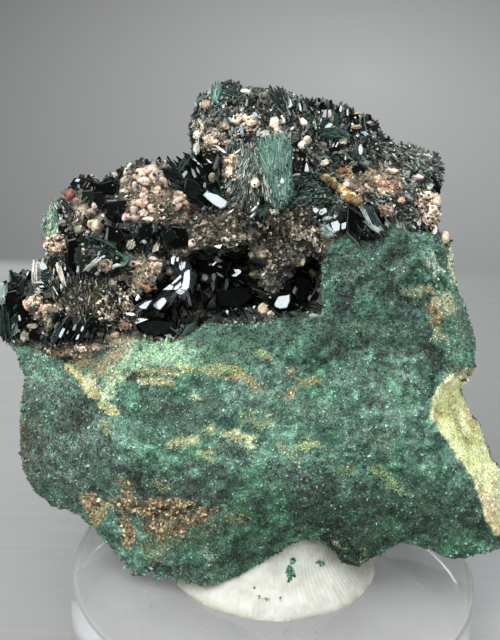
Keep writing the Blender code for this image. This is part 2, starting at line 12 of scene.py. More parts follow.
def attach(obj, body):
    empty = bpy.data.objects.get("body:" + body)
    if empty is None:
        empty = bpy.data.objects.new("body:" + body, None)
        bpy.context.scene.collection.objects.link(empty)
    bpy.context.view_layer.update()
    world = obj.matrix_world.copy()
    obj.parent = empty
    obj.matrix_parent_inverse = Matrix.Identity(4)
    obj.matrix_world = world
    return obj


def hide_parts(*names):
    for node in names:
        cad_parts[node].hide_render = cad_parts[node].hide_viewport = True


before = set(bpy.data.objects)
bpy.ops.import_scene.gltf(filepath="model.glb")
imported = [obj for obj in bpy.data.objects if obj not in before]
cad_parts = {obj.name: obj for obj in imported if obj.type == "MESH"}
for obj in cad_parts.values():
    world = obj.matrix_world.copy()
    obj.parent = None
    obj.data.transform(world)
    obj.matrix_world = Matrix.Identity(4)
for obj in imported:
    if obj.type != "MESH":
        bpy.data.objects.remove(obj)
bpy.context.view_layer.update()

MM = 0.001

# ---------------------------------------------------------------- drawing frame, as in the CAD
ROUND_DIAMETER = 38.1
ROUND_THICKNESS = 9.5
LEAN = math.radians(13.0)
FACE_Y, FACE_Z, LOWEST = -8.0, 5.0, 1.7
FOCAL, U0, V0 = 2000.0, 250.0, 320.0
PITCH, ROLL = math.radians(29.0), math.radians(3.5)
FORWARD = np.array([0.0, math.cos(PITCH), -math.sin(PITCH)])
_level = np.array([1.0, 0.0, 0.0])
_rise = np.array([0.0, math.sin(PITCH), math.cos(PITCH)])
RIGHT = math.cos(ROLL) * _level + math.sin(ROLL) * _rise
UP = -math.sin(ROLL) * _level + math.cos(ROLL) * _rise
EYE = np.array([0.0, 0.0, ROUND_THICKNESS]) - 189.4 * FORWARD - 2.25 * RIGHT + 23.70 * UP
FACE_POINT = np.array([0.0, FACE_Y, ROUND_THICKNESS + FACE_Z])
FACE_NORMAL = np.array([0.0, -math.cos(LEAN), math.sin(LEAN)])

OUTLINE = [
    (-2, 300), (1, 284), (6, 272), (12, 272), (22, 276), (29, 274), (35, 264), (49, 256), (41, 238),
    (40, 215), (52, 204), (63, 193), (71, 181), (80, 176), (102, 178), (114, 171), (133, 162),
    (145, 158), (159, 160), (170, 168), (182, 160), (194, 155), (190, 141), (194, 128), (190, 120),
    (200, 107), (201, 97), (211, 90), (216, 82), (229, 81), (243, 86), (262, 88), (282, 91),
    (302, 100), (331, 101), (347, 107), (358, 114), (376, 122), (384, 136), (400, 147), (421, 149),
    (434, 152), (442, 162), (440, 178), (440, 198), (437, 215), (437, 230), (448, 235), (452, 250),
    (454, 280), (461, 299), (469, 319), (476, 346), (475, 372), (463, 386), (463, 399), (471, 411),
    (481, 424), (484, 444), (495, 464), (506, 482), (514, 500), (516, 520), (511, 536), (500, 549),
    (476, 555), (455, 559), (440, 554), (425, 549), (409, 543), (400, 541), (386, 550), (368, 562),
    (354, 568), (342, 563), (331, 549), (314, 536), (300, 539), (282, 551), (262, 562), (244, 573),
    (231, 580), (207, 587), (180, 586), (150, 580), (129, 577), (119, 563), (108, 550), (95, 532),
    (81, 517), (67, 510), (52, 510), (38, 496), (29, 483), (22, 466), (20, 445), (21, 410),
    (24, 375), (17, 353), (6, 342), (-2, 330),
]

RELIEF = [
    (24, 372, 5.6), (22, 410, 6.4), (22, 445, 6.8), (30, 480, 7.0), (50, 505, 7.2), (45, 380, 4.0),
    (45, 430, 4.8), (60, 470, 4.8), (75, 505, 6.2), (75, 400, 2.4), (85, 440, 2.6), (98, 480, 3.2),
    (118, 385, 0.6), (120, 430, 0.5), (130, 475, 1.0), (100, 520, 5.2), (135, 515, 2.4),
    (160, 400, 0.1), (170, 450, 0.2), (180, 500, 0.8), (220, 400, 0.0), (230, 450, -0.3),
    (240, 500, 0.2), (290, 400, -0.2), (300, 450, -0.5), (310, 500, 0.2), (350, 400, 0.0),
    (360, 450, -0.2), (370, 500, 0.8), (410, 400, 0.6), (420, 450, 0.6), (430, 500, 1.2),
    (455, 480, 1.4), (475, 520, 2.4), (120, 550, 5.0), (130, 576, 5.0), (160, 545, 3.0),
    (155, 578, 4.6), (200, 545, 2.2), (205, 585, 3.3), (240, 545, 2.2), (232, 578, 3.4),
    (275, 535, 1.8), (265, 560, 3.2), (300, 537, 2.8), (330, 520, 1.2), (330, 546, 3.6),
    (355, 545, 3.0), (356, 566, 4.4), (385, 530, 2.0), (388, 548, 3.8), (420, 530, 2.0),
    (415, 545, 3.8), (450, 535, 2.6), (455, 557, 4.4), (495, 545, 4.6),
    (15, 350, 5.4), (50, 352, 3.2), (90, 352, 1.6), (135, 352, 0.8), (180, 352, 0.6), (240, 340, 0.6),
    (300, 335, 0.6), (350, 335, 0.6), (400, 345, 0.9), (130, 328, 2.0), (190, 325, 2.4), (250, 312, 2.8),
    (300, 308, 2.4), (4, 300, 4.6), (6, 330, 4.6), (30, 320, 3.6), (55, 335, 2.2), (85, 330, 1.4),
    (30, 285, 4.2), (55, 290, 2.8), (85, 295, 1.4), (110, 310, 1.8), (60, 262, 4.0), (46, 235, 6.0),
    (46, 212, 7.0), (95, 255, 2.6), (130, 250, 3.0), (170, 240, 3.2), (215, 232, 2.6), (255, 228, 2.8),
    (295, 225, 3.0), (330, 218, 3.0), (70, 215, 5.0), (66, 195, 7.2), (95, 205, 4.6), (82, 180, 7.6),
    (120, 200, 4.4), (115, 178, 7.4), (150, 205, 3.6), (150, 180, 4.6), (148, 162, 7.0), (180, 205, 3.4),
    (175, 175, 5.4), (184, 163, 7.0),
    (210, 205, 3.2), (212, 180, 4.2), (205, 160, 6.0), (240, 190, 3.2), (240, 160, 4.4), (275, 190, 2.4),
    (275, 155, 3.6), (305, 190, 3.2), (305, 160, 4.6), (340, 195, 3.4), (340, 165, 5.0), (370, 195, 3.8),
    (370, 165, 5.8), (405, 200, 4.4), (405, 170, 6.6), (432, 200, 6.4), (432, 165, 8.6), (200, 130, 7.4),
    (195, 145, 7.4), (215, 140, 5.8), (240, 130, 5.6), (270, 130, 5.2), (300, 130, 5.8), (330, 135, 6.2),
    (355, 135, 7.4), (378, 135, 9.2), (205, 103, 9.4), (222, 95, 8.8), (224, 83, 10.6), (250, 105, 7.4),
    (255, 90, 9.6), (285, 110, 6.8), (285, 94, 9.0), (315, 115, 7.4), (325, 103, 9.4), (350, 115, 9.4),
    (400, 152, 9.4), (425, 152, 10.0),
    (340, 305, 1.4), (340, 270, 2.2), (345, 240, 2.8), (380, 305, 1.4), (385, 270, 2.2), (385, 235, 3.2),
    (415, 315, 1.6), (420, 280, 2.6), (420, 245, 3.8), (436, 225, 6.0), (445, 245, 6.6), (448, 280, 6.2),
    (440, 330, 3.0), (432, 365, 1.4), (455, 320, 6.4), (462, 350, 7.2), (473, 345, 9.6), (470, 372, 9.4),
]

SIDE_FRONT = [(452, 374), (440, 384), (432, 398), (430, 415), (441, 434), (458, 457), (474, 480), (480, 500), (486, 520), (496, 536)]
SIDE_BACK = [(466, 384), (464, 399), (472, 411), (482, 424), (486, 444), (497, 464), (508, 482), (516, 500), (518, 520), (513, 538)]
SIDE_DEPTH = 8.5
SIDE = SIDE_FRONT + SIDE_BACK[::-1]

POCKET = [
    (132, 330), (137, 312), (128, 298), (150, 288), (166, 262), (190, 250), (220, 244), (250, 243), (264, 262),
    (262, 284), (274, 296), (292, 268), (304, 256), (322, 264), (322, 308), (300, 316), (262, 318), (236, 318),
    (208, 320), (190, 334), (165, 340), (145, 338),
]
POCKET_DEPTH = 5.0

BOUNDS = [
    ((0, 14.0, 22), (0.03, 1.0, -0.06)),
    ((-19, 8.5, 25), (-0.60, 0.80, 0.05)),
    ((19, 9.5, 25), (0.52, 0.85, -0.05)),
    ((0, 14.0, 42.5), (0.0, 0.70, 0.71)),
    ((-6, -5.0, LOWEST), (0.0, 0.16, -0.98)),
    ((-16, 0.0, 4.0), (-0.42, 0.10, -0.88)),
    ((14, -2.0, 2.8), (0.22, 0.10, -0.96)),
]

# The velvety green: the slab and the green wall on the right.
VELVET = [
    (-6, 342), (20, 345), (50, 356), (72, 366), (96, 352), (118, 345), (135, 340), (173, 343), (189, 335), (202, 323),
    (242, 325), (265, 324), (286, 317), (316, 318), (322, 312), (322, 262), (332, 240), (350, 236), (372, 232), (388, 222),
    (412, 232), (437, 233), (448, 238), (480, 340), (480, 376), (455, 376), (440, 384), (432, 398), (430, 415), (441, 434),
    (458, 457), (474, 480), (480, 500), (486, 520), (496, 536), (520, 560), (350, 590), (200, 600), (60, 560), (-6, 480),
]


def hashed(i, j, k, seed):
    h = (i * 374761393 + j * 668265263 + k * 1103515245 + seed * 1274126177) & 0xFFFFFFFF
    h = ((h ^ (h >> 13)) * 1274126177) & 0xFFFFFFFF
    return ((h ^ (h >> 16)) & 0xFFFF) / 32767.5 - 1.0


def bumps(points, wavelength, seed):
    p = np.asarray(points, float) / wavelength
    cell = np.floor(p).astype(np.int64)
    f = p - cell
    f = f * f * f * (f * (f * 6 - 15) + 10)
    total = np.zeros(len(p))
    for a in (0, 1):
        for b in (0, 1):
            for c in (0, 1):
                weight = (
                    (f[:, 0] if a else 1 - f[:, 0])
                    * (f[:, 1] if b else 1 - f[:, 1])
                    * (f[:, 2] if c else 1 - f[:, 2])
                )
                total += weight * hashed(cell[:, 0] + a, cell[:, 1] + b, cell[:, 2] + c, seed)
    return total


def thin_plate(samples, stiffness):
    s = np.array(samples, float)
    uv, value, n = s[:, :2] / 100.0, s[:, 2], len(s)

    def kernel(a, b):
        r2 = ((a[:, None, :] - b[None, :, :]) ** 2).sum(-1)
        return 0.5 * r2 * np.log(r2 + 1e-12)

    flat = np.c_[np.ones(n), uv]
    left = np.block([[kernel(uv, uv) + stiffness * np.eye(n), flat], [flat.T, np.zeros((3, 3))]])
    weight = np.linalg.solve(left, np.r_[value, 0, 0, 0])

    def at(q):
        q = np.asarray(q, float) / 100.0
        out = np.empty(len(q))
        for i in range(0, len(q), 20000):
            part = q[i : i + 20000]
            out[i : i + 20000] = kernel(part, uv) @ weight[:n] + np.c_[np.ones(len(part)), part] @ weight[n:]
        return out

    return at


def distance_to(q, line, closed=False):
    p = np.array(line, float)
    ends = np.roll(p, -1, axis=0) if closed else p[1:]
    starts = p if closed else p[:-1]
    best = np.full(len(q), 1e9)
    for a, b in zip(starts, ends):
        ab = b - a
        t = np.clip(((q - a) @ ab) / (ab @ ab + 1e-12), 0, 1)
        best = np.minimum(best, np.hypot(*(q - a - t[:, None] * ab).T))
    return best


def inside(q, loop):
    p = np.array(loop, float)
    result = np.zeros(len(q), bool)
    for a, b in zip(p, np.roll(p, -1, axis=0)):
        crosses = (a[1] > q[:, 1]) != (b[1] > q[:, 1])
        x = a[0] + (q[:, 1] - a[1]) * (b[0] - a[0]) / (b[1] - a[1] + 1e-12)
        result ^= crosses & (q[:, 0] < x)
    return result


def rays(q):
    q = np.asarray(q, float)
    return FORWARD + np.outer((q[:, 0] - U0) / FOCAL, RIGHT) + np.outer((V0 - q[:, 1]) / FOCAL, UP)


def face_distance(q):
    d = rays(q)
    return ((FACE_POINT - EYE) @ FACE_NORMAL) / (d @ FACE_NORMAL)


def place(q, depth):
    q = np.asarray(q, float).reshape(-1, 2)
    return EYE + rays(q) * (face_distance(q) + depth)[:, None]


def drawn(p):
    """Drawing coordinates of points in the stone's frame."""
    r = np.asarray(p, float) - EYE
    z = r @ FORWARD
    return np.c_[U0 + FOCAL * (r @ RIGHT) / z, V0 - FOCAL * (r @ UP) / z]


RELIEF_AT = thin_plate(RELIEF, 0.002)


def front_depth(q):
    q = np.asarray(q, float).reshape(-1, 2)
    depth = RELIEF_AT(q)
    edge = distance_to(q, POCKET, closed=True) * np.where(inside(q, POCKET), 1, -1)
    depth = depth + POCKET_DEPTH * np.clip((edge + 3) / 18.0, 0, 1) ** 0.8
    to_front, to_back = distance_to(q, SIDE_FRONT), distance_to(q, SIDE_BACK)
    across = to_front / (to_front + to_back + 1e-9)
    slope = 1.4 + SIDE_DEPTH * across
    return np.where(inside(q, SIDE), slope, depth)


def back_depth(q, front):
    q = np.asarray(q, float).reshape(-1, 2)
    d, start = rays(q), face_distance(q)
    exits = []
    for point, normal in BOUNDS:
        n = np.array(normal, float)
        n /= np.linalg.norm(n)
        p = np.array(point, float) + (0, 0, ROUND_THICKNESS)
        along = d @ n
        exits.append(np.where(along > 0.02, ((p - EYE) @ n) / np.maximum(along, 0.02) - start, 60.0))
    stack = np.array(exits)
    soft = -1.2 * np.log(np.exp(-stack / 1.2).sum(0) + 1e-300)
    deep = soft + 0.9 * bumps(place(q, soft), 6.0, 11) + 0.4 * bumps(place(q, soft), 2.4, 12)
    edge = np.clip(distance_to(q, OUTLINE, closed=True) / 30.0, 0, 1)
    rounded = np.sqrt(np.clip(1 - (1 - edge) ** 2, 0, 1))
    return front + np.maximum(deep - front, 0.4) * rounded


def rough_front(q):
    base = front_depth(q)
    p = place(q, base)
    upper = np.clip((340 - np.asarray(q, float).reshape(-1, 2)[:, 1]) / 40.0, 0, 1)
    return base + (0.22 + 0.35 * upper) * bumps(p, 3.2, 1) + (0.10 + 0.16 * upper) * bumps(p, 1.5, 2)


def unit(v):
    v = np.asarray(v, float)
    return v / (np.linalg.norm(v, axis=-1, keepdims=True) + 1e-12)


def rgb(r, g, b):
    """A colour as seen, 0 to 255, in linear light."""
    c = np.array([r, g, b], float) / 255.0
    return np.where(c <= 0.04045, c / 12.92, ((c + 0.055) / 1.055) ** 2.4)


# ---------------------------------------------------------------- meshes and materials


def fast_mesh(name, verts, tris, colour=None, uv=None, smooth=False):
    me = bpy.data.meshes.new(name)
    me.vertices.add(len(verts))
    me.vertices.foreach_set("co", (np.asarray(verts) * MM).astype(np.float32).ravel())
    me.loops.add(len(tris) * 3)
    me.loops.foreach_set("vertex_index", np.asarray(tris, np.int32).ravel())
    me.polygons.add(len(tris))
    me.polygons.foreach_set("loop_start", np.arange(0, len(tris) * 3, 3, dtype=np.int32))
    me.update(calc_edges=True)
    if colour is not None:
        layer = me.color_attributes.new("Col", "FLOAT_COLOR", "POINT")
        layer.data.foreach_set("color", np.c_[colour, np.ones(len(colour))].astype(np.float32).ravel())
    if uv is not None:
        layer = me.uv_layers.new(name="OFBake")
        layer.data.foreach_set("uv", np.asarray(uv, np.float32)[np.asarray(tris).ravel()].ravel())
    me.polygons.foreach_set("use_smooth", np.full(len(tris), smooth))
    me.update()
    return me


def add(name, mesh, material, stands_for=()):
    obj = bpy.data.objects.new(name, mesh)
    bpy.context.scene.collection.objects.link(obj)
    mesh.materials.clear()
    mesh.materials.append(material)
    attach(obj, "root")
    if stands_for:
        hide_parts(*stands_for)
    return obj


def arrays(mesh):
    mesh.calc_loop_triangles()
    v = np.empty(len(mesh.vertices) * 3, np.float32)
    mesh.vertices.foreach_get("co", v)
    t = np.empty(len(mesh.loop_triangles) * 3, np.int32)
    mesh.loop_triangles.foreach_get("vertices", t)
    return v.reshape(-1, 3).astype(float) / MM, t.reshape(-1, 3)


def vertex_normals(v, t):
    n = np.cross(v[t[:, 1]] - v[t[:, 0]], v[t[:, 2]] - v[t[:, 0]])
    out = np.zeros_like(v)
    for k in range(3):
        np.add.at(out, t[:, k], n)
    return unit(out)


class Nodes:
    """A short way to build a material's nodes."""

    def __init__(self, name):
        self.material = bpy.data.materials.new(name)
        self.material.use_nodes = True
        self.tree = self.material.node_tree
        self.shader = self.tree.nodes["Principled BSDF"]

    def node(self, kind, **values):
        made = self.tree.nodes.new(kind)
        for key, value in values.items():
            if key in made.inputs:
                made.inputs[key].default_value = value
            else:
                setattr(made, key, value)
        return made

    def link(self, a, b):
        self.tree.links.new(a, b)

    def coords(self):
        return self.node("ShaderNodeTexCoord").outputs["Object"]

    def noise(self, scale, detail=4.0, rough=0.55, vector=None):
        n = self.node("ShaderNodeTexNoise")
        n.inputs["Scale"].default_value = scale
        n.inputs["Detail"].default_value = detail
        n.inputs["Roughness"].default_value = rough
        self.link(vector or self.coords(), n.inputs["Vector"])
        return n.outputs["Fac"]

    def spread(self, value, low, high, to_low, to_high):
        n = self.node("ShaderNodeMapRange")
        for key, number in zip(("From Min", "From Max", "To Min", "To Max"), (low, high, to_low, to_high)):
            n.inputs[key].default_value = number
        self.link(value, n.inputs["Value"])
        return n.outputs["Result"]

    def attribute(self, name="Col"):
        return self.node("ShaderNodeAttribute", attribute_name=name).outputs["Color"]

    def times(self, colour, factor):
        n = self.node("ShaderNodeVectorMath", operation="SCALE")
        self.link(colour, n.inputs[0])
        self.link(factor, n.inputs["Scale"])
        return n.outputs["Vector"]

    def bump(self, height, strength, distance):
        n = self.node("ShaderNodeBump")
        n.inputs["Strength"].default_value = strength
        n.inputs["Distance"].default_value = distance
        self.link(height, n.inputs["Height"])
        self.link(n.outputs["Normal"], self.shader.inputs["Normal"])

    def set(self, **values):
        names = {"rough": "Roughness", "ior": "IOR", "spec": "Specular IOR Level", "coat": "Coat Weight", "coat_rough": "Coat Roughness",
                 "glass": "Transmission Weight", "sheen": "Sheen Weight", "sss": "Subsurface Weight", "metal": "Metallic"}
        for key, value in values.items():
            self.shader.inputs[names[key]].default_value = value
        return self


def grainy(name, rough, ior=1.55, variation=(0.75, 1.25), scale=1800.0, bump=None, coat=0.0, spec=0.5):
    """Vertex colour, broken up by fine noise."""
    m = Nodes(name)
    colour = m.times(m.attribute(), m.spread(m.noise(scale), 0.3, 0.7, *variation))
    m.link(colour, m.shader.inputs["Base Color"])
    m.set(rough=rough, ior=ior, coat=coat, coat_rough=0.08, spec=spec)
    if bump:
        m.bump(m.noise(bump[0], 5.0), bump[1], bump[2])
    return m.material


# ---------------------------------------------------------------- the rock


def sheet(loop, spacing, front, back):
    ring = []
    for a, b in zip(loop, loop[1:] + loop[:1]):
        steps = max(1, round(math.dist(a, b) / spacing))
        ring += [(a[0] + (b[0] - a[0]) * i / steps, a[1] + (b[1] - a[1]) * i / steps) for i in range(steps)]
    ring = np.array(ring, float)
    low, high = ring.min(0), ring.max(0)
    rows = np.arange(low[1], high[1], spacing * 0.87)
    cols = np.arange(low[0], high[0], spacing)
    grid = np.array([(x + (spacing / 2 if j % 2 else 0), y) for j, y in enumerate(rows) for x in cols])
    grid = grid[inside(grid, ring)]
    grid = grid[distance_to(grid, ring, closed=True) > spacing * 0.45]
    flat = np.vstack([ring, grid])
    n = len(ring)
    out = geometry.delaunay_2d_cdt([Vector(p) for p in flat], [(i, (i + 1) % n) for i in range(n)], [], 1, 1e-6)
    q = np.array([tuple(v) for v in out[0]])
    triangles = np.array([list(f) for f in out[2]])
    rim = distance_to(q, ring, closed=True) < 1e-3
    top = front(q)
    under = back(q, top)
    m = len(q)
    verts = np.vstack([place(q, top), place(q, under)])
    lower = np.where(rim, np.arange(m), np.arange(m) + m)
    keep = ~rim[triangles].all(1)
    return verts, np.vstack([triangles[keep], lower[triangles[keep]][:, ::-1]])


def remeshed(verts, tris, voxel):
    me = fast_mesh("work", verts, tris)
    bm = bmesh.new()
    bm.from_mesh(me)
    bmesh.ops.delete(bm, geom=[v for v in bm.verts if not v.link_faces], context="VERTS")
    bmesh.ops.recalc_face_normals(bm, faces=bm.faces)
    bm.to_mesh(me)
    bm.free()
    obj = bpy.data.objects.new("work", me)
    bpy.context.scene.collection.objects.link(obj)
    step = obj.modifiers.new("even", "REMESH")
    step.mode = "VOXEL"
    step.voxel_size = voxel * MM
    out = bpy.data.meshes.new_from_object(obj.evaluated_get(bpy.context.evaluated_depsgraph_get()))
    bpy.data.objects.remove(obj)
    v, t = arrays(out)
    if np.einsum("ij,ij->i", v[t[:, 0]], np.cross(v[t[:, 1]], v[t[:, 2]])).sum() < 0:
        t = t[:, ::-1]
    return v, t


rng = np.random.default_rng(7)

